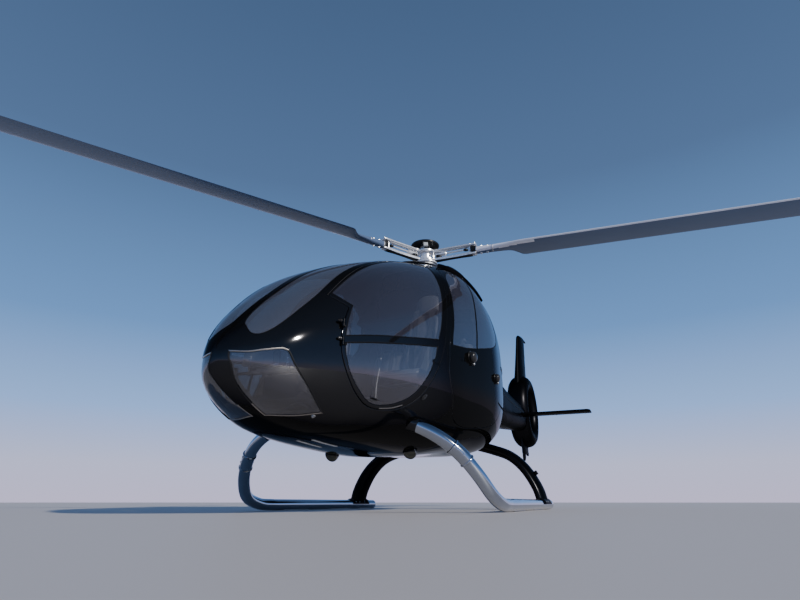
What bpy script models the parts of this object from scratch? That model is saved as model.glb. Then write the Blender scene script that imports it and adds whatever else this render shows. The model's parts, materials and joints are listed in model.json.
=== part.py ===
# Light helicopter with a three-blade main rotor, a shrouded tail fan and a two-skid landing gear.
#
# Units are metres and +Z is up. The nose points towards -Y and +X is the helicopter's own left side.
# Sizes are written in the airframe's own frame: x = y = 0 on the main rotor's axis, z = 0 on the ground.
# One root empty then puts the centre of the whole outline over the origin.

import math

import bmesh
import bpy
import numpy as np
from mathutils import Matrix, Vector
from mathutils.geometry import delaunay_2d_cdt

# Position of the main rotor's axis in the finished part
ROTOR_AXIS_X = -1.143
ROTOR_AXIS_Y = -0.954

# Clearances
SEAT = 0.0003
PANE_GAP = 0.0012
DOOR_GAP = 0.0050
SEAM = 0.0030
FIT_OUT_CLEAR = 0.0060

# Walls
WALL = 0.035
GLASS_DEPTH = 0.003
GLASS_THICK = 0.006

# Fuselage body, one row for each station from the nose to the tail boom's joint
# y, half width, top z, bottom z, z of the widest line, roundness of the upper half, of the lower half
HULL = np.array((
    (-3.170, 0.000, 0.770, 0.770, 0.770, 2.76, 2.70),
    (-3.050, 0.222, 1.005, 0.632, 0.785, 2.76, 2.70),
    (-2.800, 0.402, 1.257, 0.528, 0.848, 2.77, 2.74),
    (-2.400, 0.606, 1.574, 0.447, 0.929, 2.78, 2.78),
    (-1.900, 0.733, 1.843, 0.421, 1.018, 2.78, 2.84),
    (-1.300, 0.816, 2.078, 0.411, 1.109, 2.81, 2.93),
    (-0.600, 0.857, 2.282, 0.459, 1.184, 2.83, 3.11),
    (0.000, 0.798, 2.276, 0.490, 1.247, 2.83, 3.36),
    (0.500, 0.678, 2.177, 0.576, 1.313, 2.81, 3.28),
    (1.000, 0.527, 2.046, 0.800, 1.402, 2.80, 3.12),
    (1.500, 0.385, 1.925, 1.010, 1.480, 2.60, 2.70),
))
NOSE_Y = HULL[0, 0]
JOINT_Y = HULL[-1, 0]

# Tail boom: y, half width, top z, bottom z
BOOM = (
    (1.5003, 0.385, 1.925, 1.010),
    (2.2, 0.285, 1.850, 1.085),
    (3.3, 0.215, 1.800, 1.165),
    (4.4, 0.170, 1.775, 1.265),
    (5.3, 0.140, 1.760, 1.360),
)
BOOM_WALL = 0.020
BOOM_UPPER_POWER = 2.6
BOOM_LOWER_POWER = 2.7
BOOM_MIDDLE = 0.514

# Mesh rows of the body, as distances behind the nose, and the number of points round it
HULL_ROWS = (0.006, 0.022, 0.05, 0.09, 0.14, 0.20, 0.27, 0.35, 0.44, 0.54, 0.65, 0.77, 0.90, 1.03, 1.17,
             1.31, 1.46, 1.61, 1.76, 1.92, 2.08, 2.24, 2.40, 2.57, 2.74, 2.91, 3.08, 3.25, 3.43, 3.61,
             3.80, 4.00, 4.20, 4.42)
HULL_SIDES = 40
OUTLINE_STEP = 0.085

# Outlines on the body, as (y, angle): the angle runs from 0 at the widest line to 90 on top, -90 below.
# A third value of 1 marks a sharp corner. They are the left side's, and the right side mirrors them.
WINDSHIELD = ((-3.078, 66, 0), (-3.094, 46, 0), (-3.070, 36, 0), (-3.010, 36, 0), (-2.900, 42, 0),
              (-2.740, 49.5, 0), (-2.500, 59, 0), (-2.150, 65.5, 0), (-1.800, 69, 0), (-1.600, 74, 0),
              (-1.600, 83, 0), (-1.800, 87, 0), (-2.450, 86.5, 0), (-2.900, 84.5, 0), (-3.040, 79, 0))
FRONT_DOOR = ((-2.700, 45.5, 1), (-2.625, 30.5, 1), (-2.688, 17, 0), (-2.694, 4, 0), (-2.676, -9, 0),
              (-2.635, -21, 0), (-2.555, -32, 0), (-2.430, -39, 0), (-2.270, -39, 0), (-2.120, -35, 0),
              (-1.990, -27, 0), (-1.880, -16, 0), (-1.780, -5, 0), (-1.690, 7, 0), (-1.620, 19, 0),
              (-1.540, 29.5, 0), (-1.440, 39, 0), (-1.320, 49, 0), (-1.230, 58, 0), (-1.280, 65, 0),
              (-1.450, 67.5, 0), (-2.050, 64, 0), (-2.300, 59.5, 0), (-2.550, 52.5, 0))
DOOR_PANE_UPPER = ((-2.672, 45.5, 1), (-2.598, 31, 1), (-2.655, 19, 0), (-2.668, 11.5, 1), (-2.470, 9.8, 0),
                   (-2.160, 8.4, 0), (-1.785, 8.2, 1), (-1.725, 16, 0), (-1.652, 26, 0), (-1.583, 34, 0),
                   (-1.520, 41.5, 0), (-1.420, 50, 0), (-1.330, 57.5, 0), (-1.400, 62.5, 0),
                   (-1.655, 64, 0), (-2.000, 61.5, 0), (-2.250, 58, 0), (-2.520, 51.5, 0))
DOOR_PANE_LOWER = ((-2.668, 6.8, 1), (-2.470, 5.6, 0), (-2.160, 4.8, 0), (-1.809, 4.6, 1), (-1.850, -2, 0),
                   (-1.915, -11, 0), (-2.000, -20, 0), (-2.090, -27.5, 0), (-2.200, -33, 0),
                   (-2.330, -36.5, 0), (-2.440, -36, 0), (-2.545, -29, 0), (-2.620, -19, 0), (-2.658, -6, 0))
CHIN = ((-3.160, 30, 1), (-3.115, 10.5, 0), (-3.060, 10.5, 0), (-2.985, 8.5, 0), (-2.950, 0, 0),
        (-2.886, -24, 0), (-2.790, -39, 0), (-2.646, -52, 1), (-2.732, -66, 0), (-2.790, -84, 1),
        (-2.990, -79, 0), (-3.097, -70, 0), (-3.150, -40, 0))
REAR_DOOR = ((-1.640, -3, 0), (-1.620, 8, 0), (-1.570, 19, 0), (-1.490, 29.5, 0), (-1.385, 39.5, 0),
             (-1.240, 50, 0), (-1.080, 55, 0), (-0.700, 56, 0), (-0.350, 51, 0), (-0.130, 42, 0),
             (-0.010, 25, 0), (-0.010, 8, 0), (-0.090, -12, 0), (-0.230, -26, 0), (-0.450, -36, 0),
             (-0.900, -40, 0), (-1.350, -38, 0), (-1.570, -22, 0))
REAR_PANE_FRONT = ((-1.560, 6.4, 1), (-1.300, 6.3, 0), (-1.056, 7.3, 1), (-1.021, 15, 0), (-0.956, 25, 0),
                   (-0.873, 33, 0), (-0.795, 39.5, 0), (-0.725, 47.5, 1), (-0.880, 49.5, 0),
                   (-1.060, 49.5, 0), (-1.230, 45.5, 0), (-1.350, 38, 0), (-1.430, 29, 0), (-1.500, 18, 0))
REAR_PANE_AFT = ((-1.034, 7.4, 1), (-0.770, 9.2, 0), (-0.500, 12, 0), (-0.260, 17, 0), (-0.130, 24, 0),
                 (-0.140, 33, 0), (-0.280, 41, 0), (-0.500, 46, 0), (-0.700, 47.5, 1), (-0.773, 39.5, 0),
                 (-0.851, 33, 0), (-0.934, 25, 0), (-0.999, 15, 0))
BAY = ((-0.260, 66, 1), (-0.260, 78, 0), (-0.260, 90, 0), (-0.260, 102, 0), (-0.260, 114, 1), (0.500, 118, 0),
       (1.140, 124, 1), (1.140, 107, 0), (1.140, 90, 0), (1.140, 73, 0), (1.140, 56, 1), (0.500, 62, 0))

# Front door hinges: axis position, knuckle heights and sizes
HINGE_OUT = 0.0135
HINGE_Y = -2.690
LEAF_BODY = -0.045
LEAF_DOOR = 0.022
HINGE_Z = (0.925, 1.035)
KNUCKLE_R = 0.009
KNUCKLE_H = 0.030
LEAF_OVER = 0.0005
LEAF_THICK = 0.008

# Cabin
FLOOR_TOP = 0.640
FLOOR_THICK = 0.030
FLOOR_FRONT = -2.800
BULKHEAD_Y = 0.050
BULKHEAD_THICK = 0.030
KEEL_X = 0.260
KEEL_WIDTH = 0.040
KEEL_LOW = 0.300
KEEL_REAR = 0.100
DECK_TOP = 1.930
DECK_FRONT = -0.340
DECK_REAR = 1.170
DECK_WALL_TOP = 2.400
LAP = 0.010
CABIN_BASE = FLOOR_TOP + SEAT
ENGINE_BASE = DECK_TOP + SEAT
# Console: low corner and high corner of its pedestal and of the instrument board
PEDESTAL = ((-0.13, -2.62, CABIN_BASE), (0.13, -2.02, 0.86))
BOARD = ((-0.30, -2.62, 0.84), (0.30, -2.47, 1.16))
# Seats: side view as (y, z) of the low front, low back, high back and high front corners, half width
SEAT_X = 0.430
FRONT_SEAT = (
    ((-1.80, CABIN_BASE), (-1.42, CABIN_BASE), (-1.40, 0.87), (-1.82, 0.85), 0.160),
    ((-1.86, 0.84), (-1.30, 0.83), (-1.30, 0.98), (-1.86, 1.02), 0.210),
    ((-1.40, 0.90), (-1.29, 0.88), (-1.10, 1.59), (-1.20, 1.61), 0.185),
    ((-1.185, 1.58), (-1.105, 1.57), (-1.065, 1.78), (-1.145, 1.80), 0.115),
)
REAR_BENCH = (
    ((-0.80, CABIN_BASE), (-0.10, CABIN_BASE), (-0.10, 0.85), (-0.82, 0.86), 0.550),
    ((-0.88, 0.84), (-0.12, 0.83), (-0.12, 0.98), (-0.88, 1.01), 0.600),
    ((-0.27, 0.90), (-0.14, 0.90), (-0.05, 1.58), (-0.16, 1.60), 0.580),
)

# Engine, gearbox and mast
GEARBOX_SIZE = (0.40, 0.40, 0.47)
ENGINE_SIZE = (0.44, 0.80, 0.36)
ENGINE_Y = 0.700
MAST_R = 0.050
SWASH_R = 0.145
SWASH_Z = (2.600, 2.655)

# Cowling: y, half width, top z, z where its sides spring
COWLING = (
    (-0.780, 0.160, 2.340, 2.050),
    (-0.620, 0.300, 2.420, 2.000),
    (-0.350, 0.440, 2.510, 1.950),
    (0.000, 0.520, 2.560, 1.950),
    (0.500, 0.530, 2.550, 1.920),
    (0.950, 0.470, 2.470, 1.850),
    (1.250, 0.390, 2.375, 1.750),
    (1.470, 0.310, 2.260, 1.650),
)
COWLING_POWER = 2.4
COWLING_WALL = 0.025
COWLING_SKIRT = 0.100
COWLING_NOSE = 0.060
COWLING_SIDES = 28
MAST_HOLE_R = 0.110
EXHAUST_R = 0.085
EXHAUST_WALL = 0.006
EXHAUST_Z = 2.118
EXHAUST_END = 1.620
EXHAUST_ROOT = 0.050

# Main rotor: it turns clockwise seen from above
ROTOR_Z = 2.714
ARM_END = 0.6117
ARM_WIDTH = 0.070
ARM_PLATES = ((2.664, 2.690), (2.776, 2.802))
ARM_START = 0.050
END_BLOCK = 0.100
END_BLOCK_OUT = 0.012
END_BLOCK_UP = 0.004
HUB_R = 0.120
# Round pieces over the hub: low z, high z, radius below, radius on top
HUB_TOP = (
    (2.790, 2.870, 0.060, 0.060),
    (2.862, 2.895, 0.165, 0.165),
    (2.885, 2.940, 0.055, 0.030),
)
BLADE_ANGLES = (0.7, 120.7, 240.7)
BLADE_PITCH = 9.2
BLADE_DROOP = 1.65
BLADE_ROOT_Z = 2.712
# Blade: radius, leading edge ahead of the pitch axis, trailing edge behind it, thickness, fullness forward
BLADE_STATIONS = (
    (0.612, 0.045, 0.045, 0.085, 0.0),
    (0.760, 0.050, 0.055, 0.075, 0.0),
    (0.960, 0.066, 0.080, 0.055, 0.1),
    (1.000, 0.070, 0.098, 0.050, 0.1),
    (1.050, 0.076, 0.150, 0.045, 0.2),
    (1.090, 0.080, 0.196, 0.040, 0.4),
    (1.130, 0.082, 0.210, 0.038, 0.4),
    (1.300, 0.082, 0.210, 0.036, 0.4),
    (4.700, 0.082, 0.210, 0.030, 0.4),
    (4.900, 0.062, 0.204, 0.024, 0.4),
    (5.000, 0.010, 0.190, 0.012, 0.3),
)
BLADE_SIDES = 16

# Tail
FAN_Y = 5.470
FAN_Z = 1.750
FAN_R = 0.375
FAN_BLADES = 8
FAN_BLADE_PITCH = 35.0
# Fan's hub: x of both ends, radius at each
FAN_HUB = ((-0.070, 0.060, 0.125, 0.125), (0.055, 0.095, 0.118, 0.060))
FAN_BLADE = ((-0.005, -0.030, 0.100), (0.005, 0.030, FAN_R))
# Fan's gearbox on three struts in the duct
FAN_BOX = (-0.175, -0.070 - SEAT, 0.090, 0.105)
FAN_STRUT = ((-0.140, -0.022, 0.060), (-0.095, 0.022, 0.440))
# Shroud ring's section: radius from the fan's axis, distance to the side
SHROUD = ((0.385, 0.070), (0.400, 0.125), (0.440, 0.165), (0.510, 0.190), (0.580, 0.185), (0.640, 0.150),
          (0.680, 0.090), (0.695, 0.0))
SHROUD_SIDES = 36
# Fin: z at the leading and the trailing edge, y of each, thickness
FIN = (
    (2.150, 2.150, 4.930, 5.930, 0.200),
    (2.450, 2.450, 5.060, 5.940, 0.150),
    (2.880, 2.900, 5.230, 6.050, 0.105),
    (3.270, 3.370, 5.400, 6.150, 0.085),
    (3.340, 3.420, 5.520, 6.130, 0.045),
)
# Tail lamp on the fin's trailing edge
FIN_LAMP = ((0, 6.080, 3.388), (0, 6.360, 3.388))
FIN_LAMP_R = 0.018
STAB_SPAN = 2.632
STAB_ROOT = 0.100
STAB_Z = 1.560
STAB_LEAD = 4.450
STAB_TRAIL = 4.870
STAB_THICK = 0.045
# Guard under the shroud and its two prongs: z, leading edge y, trailing edge y
GUARD = ((1.300, 5.050, 5.660), (0.930, 5.060, 5.650))
GUARD_PRONGS = (
    ((0.970, 5.085, 5.370), (0.860, 5.085, 5.340), (0.790, 5.115, 5.250)),
    ((0.970, 5.490, 5.630), (0.905, 5.510, 5.620)),
)
GUARD_THICK = 0.060
PRONG_THICK = 0.046

# Landing gear
TUBE_R = 0.0465
SKID_X = 1.028
SKID_REAR = 0.820
# Left skid's path from the belly, down the front leg and aft along the ground: x, y, z
SKID_PATH = ((0.463, -1.895, 0.611), (0.609, -1.878, 0.550), (0.740, -1.840, 0.479), (0.863, -1.766, 0.372),
             (0.956, -1.671, 0.237), (1.014, -1.544, 0.112), (1.031, -1.359, 0.056), (1.028, -1.150, TUBE_R))
# Rear struts: width along the machine, thickness, left strut's path from the belly to the skid: x, y, z
STRUT_WIDE = 0.320
STRUT_THICK = 0.102
STRUT_Y = 0.439
STRUT_PATH = ((0.360, STRUT_Y, 0.640), (0.560, STRUT_Y, 0.582), (0.740, STRUT_Y, 0.511), (0.880, STRUT_Y, 0.384),
              (0.990, STRUT_Y, 0.196), (1.027, STRUT_Y, 0.070))
SADDLE_R = 0.062
SADDLE_LENGTH = 0.350
SADDLE_LOW = 0.050
DOME = (0.344, -1.355, 0.430)
DOME_R = 0.062
DOME_SQUASH = 0.9

# Every sub-part's colour, roughness and metallic value
FINISH = {
    "paint": ((0.012, 0.013, 0.016), 0.10, 0.0),
    "dark": ((0.020, 0.021, 0.024), 0.45, 0.0),
    "glass": ((0.34, 0.37, 0.46), 0.05, 0.0),
    "seat": ((0.16, 0.17, 0.20), 0.80, 0.0),
    "chrome": ((0.75, 0.77, 0.80), 0.12, 1.0),
    "blade": ((0.20, 0.24, 0.30), 0.40, 0.0),
    "metal": ((0.42, 0.43, 0.45), 0.40, 1.0),
    "lamp": ((0.62, 0.64, 0.60), 0.20, 0.0),
}


def clear_scene():
    for obj in list(bpy.data.objects):
        bpy.data.objects.remove(obj, do_unlink=True)


def material(name, finish):
    colour, roughness, metallic = FINISH[finish]
    mat = bpy.data.materials.new(name)
    mat.use_nodes = True
    shader = mat.node_tree.nodes["Principled BSDF"]
    shader.inputs["Base Color"].default_value = (*colour, 1.0)
    shader.inputs["Roughness"].default_value = roughness
    shader.inputs["Metallic"].default_value = metallic
    mat.diffuse_color = (*colour, 1.0)
    return mat


def new_object(name, bm, finish=None, parent=None, sharp=35.0):
    """Turn a bmesh in airframe coordinates into an object, with its origin at its parent's."""
    bm.normal_update()
    mesh = bpy.data.meshes.new(name)
    bm.to_mesh(mesh)
    bm.free()
    obj = bpy.data.objects.new(name, mesh)
    bpy.context.scene.collection.objects.link(obj)
    if finish:
        mesh.materials.append(material(name, finish))
        mesh.shade_smooth()
        mesh.set_sharp_from_angle(angle=math.radians(sharp))
    if parent is not None:
        obj.parent = parent
        origin = Vector(parent["at"])
        mesh.transform(Matrix.Translation(-origin))
    return obj


def pivot(name, at, parent=None):
    """Empty on a joint's axis. It remembers its place in airframe coordinates."""
    empty = bpy.data.objects.new(name, None)
    bpy.context.scene.collection.objects.link(empty)
    empty.empty_display_size = 0.3
    empty["at"] = tuple(at)
    empty.location = at
    if parent is not None:
        empty.parent = parent
        empty.location = Vector(at) - Vector(parent["at"])
    return empty


def boolean(bm, cutter, operation, solver="EXACT"):
    """Apply one Boolean between two bmeshes and return the result. Both inputs are used up."""
    target = new_object("boolean_target", bm)
    tool = new_object("boolean_tool", cutter)
    modifier = target.modifiers.new("cut", "BOOLEAN")
    modifier.operation = operation
    modifier.solver = solver
    modifier.object = tool
    graph = bpy.context.evaluated_depsgraph_get()
    result = bmesh.new()
    result.from_object(target, graph)
    for obj in (target, tool):
        mesh = obj.data
        bpy.data.objects.remove(obj, do_unlink=True)
        bpy.data.meshes.remove(mesh)
    bmesh.ops.triangulate(result, faces=result.faces[:])
    bmesh.ops.dissolve_degenerate(result, edges=result.edges[:], dist=1e-6)
    return result


def box(low, high):
    bm = bmesh.new()
    centre = (Vector(low) + Vector(high)) / 2
    size = Vector(high) - Vector(low)
    matrix = Matrix.Translation(centre) @ Matrix.Diagonal((*size, 1.0))
    bmesh.ops.create_cube(bm, size=1.0, matrix=matrix)
    return bm


def cylinder(start, end, radius, end_radius=None, sides=24):
    start, end = Vector(start), Vector(end)
    axis = end - start
    turn = Vector((0, 0, 1)).rotation_difference(axis).to_matrix().to_4x4()
    bm = bmesh.new()
    bmesh.ops.create_cone(
        bm, cap_ends=True, segments=sides, radius1=radius,
        radius2=radius if end_radius is None else end_radius, depth=axis.length,
        matrix=Matrix.Translation((start + end) / 2) @ turn)
    return bm


def loft(rings, closed_along=False):
    """Join rings of points, each with the same count, into one closed solid facing out."""
    bm = bmesh.new()
    rows = [[bm.verts.new(point) for point in ring] for ring in rings]
    count = len(rows[0])
    pairs = list(zip(rows[:-1], rows[1:]))
    if closed_along:
        pairs.append((rows[-1], rows[0]))
    for first, second in pairs:
        for i in range(count):
            j = (i + 1) % count
            bm.faces.new((first[i], first[j], second[j], second[i]))
    if not closed_along:
        bm.faces.new(rows[0][::-1])
        bm.faces.new(rows[-1])
    bmesh.ops.recalc_face_normals(bm, faces=bm.faces[:])
    if bm.calc_volume(signed=True) < 0:
        bmesh.ops.reverse_faces(bm, faces=bm.faces[:])
    return bm


def smooth_path(points, step):
    """Centripetal curve through the points, with about one point for every step of length."""
    pts = [Vector(p) for p in points]
    pts = [2 * pts[0] - pts[1], *pts, 2 * pts[-1] - pts[-2]]
    path = [pts[1].copy()]
    for p0, p1, p2, p3 in zip(pts, pts[1:], pts[2:], pts[3:]):
        count = max(1, round((p2 - p1).length / step))
        t1 = (p1 - p0).length ** 0.5
        t2 = t1 + (p2 - p1).length ** 0.5
        t3 = t2 + (p3 - p2).length ** 0.5
        for k in range(1, count + 1):
            t = t1 + (t2 - t1) * k / count
            a1 = p0.lerp(p1, t / t1)
            a2 = p1.lerp(p2, (t - t1) / (t2 - t1))
            a3 = p2.lerp(p3, (t - t2) / (t3 - t2))
            b1 = a1.lerp(a2, t / t2)
            b2 = a2.lerp(a3, (t - t1) / (t3 - t1))
            path.append(b1.lerp(b2, (t - t1) / (t2 - t1)))
    return path


def tube(path, radius, sides=14):
    """Round bar along a path, with flat ends."""
    rings = []
    side = None
    for i, point in enumerate(path):
        ahead = path[min(i + 1, len(path) - 1)] - path[max(i - 1, 0)]
        ahead.normalize()
        if side is None:
            side = ahead.orthogonal().normalized()
        side = (side - ahead * side.dot(ahead)).normalized()
        other = ahead.cross(side)
        rings.append([
            point + radius * (math.cos(a) * side + math.sin(a) * other)
            for a in (2 * math.pi * k / sides for k in range(sides))])
    return loft(rings)


def oval_bar(path, wide, thick, sides):
    """Bar of oval section along a path in an X-Z plane, wide along Y."""
    across = Vector((0, 1, 0))
    rings = []
    for i, point in enumerate(path):
        ahead = path[min(i + 1, len(path) - 1)] - path[max(i - 1, 0)]
        outward = ahead.normalized().cross(across)
        rings.append([
            point + wide / 2 * math.cos(a) * across + thick / 2 * math.sin(a) * outward
            for a in (2 * math.pi * k / sides for k in range(sides))])
    return loft(rings)


def mirrored(bm):
    """Copy of a bmesh on the other side of the centre plane."""
    copy = bm.copy()
    bmesh.ops.scale(copy, vec=(-1, 1, 1), verts=copy.verts[:])
    bmesh.ops.reverse_faces(copy, faces=copy.faces[:])
    return copy


# Body surface

def monotone(xs, ys, x):
    """Cubic through the points of a table that adds no bumps between them."""
    xs, ys = np.asarray(xs, float), np.asarray(ys, float)
    step = np.diff(xs)
    slope = np.diff(ys) / step
    tangent = np.zeros_like(ys)
    same = slope[:-1] * slope[1:] > 0
    w1 = 2 * step[1:] + step[:-1]
    w2 = step[1:] + 2 * step[:-1]
    mean = (w1 + w2) / (w1 / np.where(same, slope[:-1], 1) + w2 / np.where(same, slope[1:], 1))
    tangent[1:-1] = np.where(same, mean, 0.0)
    tangent[0], tangent[-1] = slope[0], slope[-1]
    k = np.clip(np.searchsorted(xs, x) - 1, 0, len(xs) - 2)
    t = (x - xs[k]) / step[k]
    return (ys[k] * (1 + 2 * t) * (1 - t) ** 2 + step[k] * tangent[k] * t * (1 - t) ** 2
            + ys[k + 1] * t * t * (3 - 2 * t) - step[k] * tangent[k + 1] * t * t * (1 - t))


HULL_LENGTH = JOINT_Y - NOSE_Y
HULL_PLACE = np.sqrt(HULL[:, 0] - NOSE_Y)


def disc(y, angle):
    """Place on the flat map of the body: the nose is its centre and the boom's joint its rim."""
    reach = math.sqrt((y - NOSE_Y) / HULL_LENGTH)
    return reach * math.cos(math.radians(angle)), reach * math.sin(math.radians(angle))


def hull_point(spots):
    """Points of the body's surface for an array of places on the flat map."""
    reach = np.hypot(spots[:, 0], spots[:, 1])
    safe = np.maximum(reach, 1e-9)
    cos = np.where(reach > 1e-9, spots[:, 0] / safe, 1.0)
    sin = spots[:, 1] / safe
    place = np.minimum(reach, 1.0) * math.sqrt(HULL_LENGTH)
    width, top, low, mid, upper, lower = (monotone(HULL_PLACE, HULL[:, c], place) for c in range(1, 7))
    power = np.where(sin >= 0, upper, lower)
    size = (np.abs(cos) ** power + np.abs(sin) ** power) ** (-1 / power)
    height = np.where(sin >= 0, top - mid, mid - low)
    return np.stack([width * size * cos, NOSE_Y + place ** 2, mid + height * size * sin], axis=1)


def true_scale(spots):
    """The flat map stretched so that small shapes keep their proportions, for good triangles."""
    root = np.linspace(0.002, math.sqrt(HULL_LENGTH), 600)
    width, top, low = (monotone(HULL_PLACE, HULL[:, c], root) for c in (1, 2, 3))
    size = (width + (top - low) / 2) / 2
    run = np.hypot(np.diff(root ** 2), np.diff(size))
    growth = np.concatenate([[0.0], np.cumsum(2 * run / (size[1:] + size[:-1]))])
    reach = np.hypot(spots[:, 0], spots[:, 1])
    scale = size[0] * np.exp(np.interp(reach * math.sqrt(HULL_LENGTH), root, growth))
    scale *= np.minimum(reach * math.sqrt(HULL_LENGTH) / root[0], 1.0)
    return spots * (scale / np.maximum(reach, 1e-9))[:, None]


def hull_frame(spots):
    """Points, outward normals and the two edge directions of the flat map on the body."""
    h = 1e-4
    point = hull_point(spots)
    shrink = np.array(spots) * (1 - 2 * h)
    along_u = (hull_point(shrink + (h, 0)) - hull_point(shrink - (h, 0))) / (2 * h)
    along_v = (hull_point(shrink + (0, h)) - hull_point(shrink - (0, h))) / (2 * h)
    normal = np.cross(along_u, along_v)
    normal /= np.linalg.norm(normal, axis=1)[:, None]
    return point, normal, along_u, along_v


def outline(points, step=OUTLINE_STEP, side=1):
    """Smooth closed ring on the flat map through (y, angle, corner) points, counter-clockwise."""
    count = len(points)
    spots = [np.array(disc(y, angle)) for y, angle, corner in points]
    ring = []
    for i in range(count):
        before, start, end, after = (spots[(i + k) % count] for k in (-1, 0, 1, 2))
        leave = end - start if points[i][2] else (end - before) / 2
        arrive = end - start if points[(i + 1) % count][2] else (after - start) / 2
        ends = hull_point(np.array([start, end]))
        parts = max(1, round(float(np.linalg.norm(ends[1] - ends[0])) / step))
        for k in range(parts):
            t = k / parts
            ring.append(start * (1 + 2 * t) * (1 - t) ** 2 + leave * t * (1 - t) ** 2
                        + end * t * t * (3 - 2 * t) - arrive * t * t * (1 - t))
    ring = np.array(ring)
    if side < 0:
        ring[:, 0] *= -1
    x, y = ring[:, 0], ring[:, 1]
    if np.sum(x * np.roll(y, -1) - y * np.roll(x, -1)) < 0:
        ring = ring[::-1]
    return ring


def inset(ring, amount):
    """Ring moved inwards by an amount of real length, measured on the body."""
    point, normal, along_u, along_v = hull_frame(ring)
    ahead = np.roll(point, -1, axis=0) - point
    ahead /= np.linalg.norm(ahead, axis=1)[:, None]
    behind = np.roll(ahead, 1, axis=0)
    in_ahead = np.cross(normal, ahead)
    in_behind = np.cross(normal, behind)
    inward = in_ahead + in_behind
    inward /= np.maximum(np.sum(inward * in_ahead, axis=1), 0.5)[:, None]
    moved = np.empty_like(ring)
    for i in range(len(ring)):
        basis = np.stack([along_u[i], along_v[i]], axis=1)
        shift = np.linalg.lstsq(basis, inward[i] * amount, rcond=None)[0]
        moved[i] = ring[i] + shift
    return moved


def inside(ring, spots):
    """True for each spot inside the closed ring."""
    x, y = spots[:, 0], spots[:, 1]
    result = np.zeros(len(spots), bool)
    for (x0, y0), (x1, y1) in zip(ring, np.roll(ring, -1, axis=0)):
        crosses = (y0 > y) != (y1 > y)
        if y0 != y1:
            result ^= crosses & (x < (x1 - x0) * (y - y0) / (y1 - y0) + x0)
    return result


def far_from(rings, spots, share=0.38):
    """True for each spot that is further from every ring than a share of the mesh's step."""
    point = hull_point(spots)
    keep = np.ones(len(spots), bool)
    for ring in rings:
        edge = hull_point(ring)
        for start, end in zip(edge, np.roll(edge, -1, axis=0)):
            line = end - start
            t = np.clip((point - start) @ line / max(line @ line, 1e-12), 0, 1)
            gap = np.linalg.norm(point - start - t[:, None] * line, axis=1)
            keep &= gap > share * 0.10
    return keep


def grid_spots():
    spots = [(0.0, 0.0)]
    for back in HULL_ROWS:
        sides = HULL_SIDES if back > 0.08 else HULL_SIDES // 2
        for k in range(sides):
            spots.append(disc(NOSE_Y + back, 360 * k / sides))
    return np.array(spots)


def panel(outer, holes, out, depth, inner_shift=0.0):
    """Piece of the body's wall inside one ring and outside the holes.

    Its outer face lies a distance out outside the body, its inner face lies depth inside the body,
    and inner_shift moves the inner face's edge outwards past the outer face's, for a seam.
    """
    rings = [outer, *holes]
    spots = grid_spots()
    region = inside(outer, spots)
    for hole in holes:
        region &= ~inside(hole, spots)
    region &= far_from(rings, spots)
    flat = np.concatenate([*rings, spots[region]])
    wide = true_scale(flat)
    edges = []
    first = 0
    for ring in rings:
        edges += [(first + i, first + (i + 1) % len(ring)) for i in range(len(ring))]
        first += len(ring)
    made = delaunay_2d_cdt([Vector(p) for p in wide], edges, [], 0, 1e-7)
    origin = [sources[0] for sources in made[3]]
    places = flat[origin]
    triangles = np.array([f for f in made[2]])
    middle = wide[origin][triangles].mean(axis=1)
    keep = inside(true_scale(outer), middle)
    for hole in holes:
        keep &= ~inside(true_scale(hole), middle)
    triangles = triangles[keep]
    run = places[triangles[:, 1]] - places[triangles[:, 0]]
    rise = places[triangles[:, 2]] - places[triangles[:, 0]]
    flat_area = run[:, 0] * rise[:, 1] - run[:, 1] * rise[:, 0]
    triangles[flat_area < 0] = triangles[flat_area < 0][:, ::-1]
    point, normal = hull_frame(places)[:2]
    under = places
    if inner_shift:
        shifted = inset(outer, -inner_shift)
        under = np.array([shifted[o] if o < len(shifted) else flat[o] for o in origin])
    point_in, normal_in = hull_frame(under)[:2]
    bm = bmesh.new()
    used = sorted(set(triangles.ravel()))
    upper = {i: bm.verts.new(point[i] + out * normal[i]) for i in used}
    lower = {i: bm.verts.new(point_in[i] - depth * normal_in[i]) for i in used}
    border = {}
    for a, b, c in triangles:
        bm.faces.new((upper[a], upper[b], upper[c]))
        bm.faces.new((lower[c], lower[b], lower[a]))
        for edge in ((a, b), (b, c), (c, a)):
            if edge[::-1] in border:
                del border[edge[::-1]]
            else:
                border[edge] = True
    for a, b in border:
        bm.faces.new((upper[b], upper[a], lower[a], lower[b]))
    return bm


def hull_solid(depth, last_y=JOINT_Y):
    """Closed solid of the body's form, its surface a depth inside the body's."""
    reaches = [math.sqrt(back / HULL_LENGTH) for back in (*HULL_ROWS, HULL_LENGTH)
               if NOSE_Y + back <= last_y + 1e-6]
    rings = []
    for reach in reaches:
        angles = [2 * math.pi * k / HULL_SIDES for k in range(HULL_SIDES)]
        spots = np.array([(reach * math.cos(a), reach * math.sin(a)) for a in angles])
        point, normal = hull_frame(spots)[:2]
        rings.append(point - depth * normal)
    return loft(rings)


def opening_rings():
    """Rings of every opening in the fuselage wall."""
    rings = []
    for side in (1, -1):
        rings += [outline(WINDSHIELD, side=side), outline(FRONT_DOOR, side=side), outline(CHIN, side=side)]
    rings.append(outline(REAR_DOOR))
    rings += [outline(REAR_PANE_FRONT, side=-1), outline(REAR_PANE_AFT, side=-1)]
    rings.append(outline(BAY, step=0.2))
    return rings


def joint_rim():
    return np.array([disc(JOINT_Y, 360 * k / HULL_SIDES) for k in range(HULL_SIDES)])


def clear_of_body(bm, wall):
    """Cut away what lies inside the body, down to the seat's gap on its outer face."""
    bm = boolean(bm, hull_solid(WALL / 2), "DIFFERENCE")
    return boolean(bm, wall.copy(), "DIFFERENCE")


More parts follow.
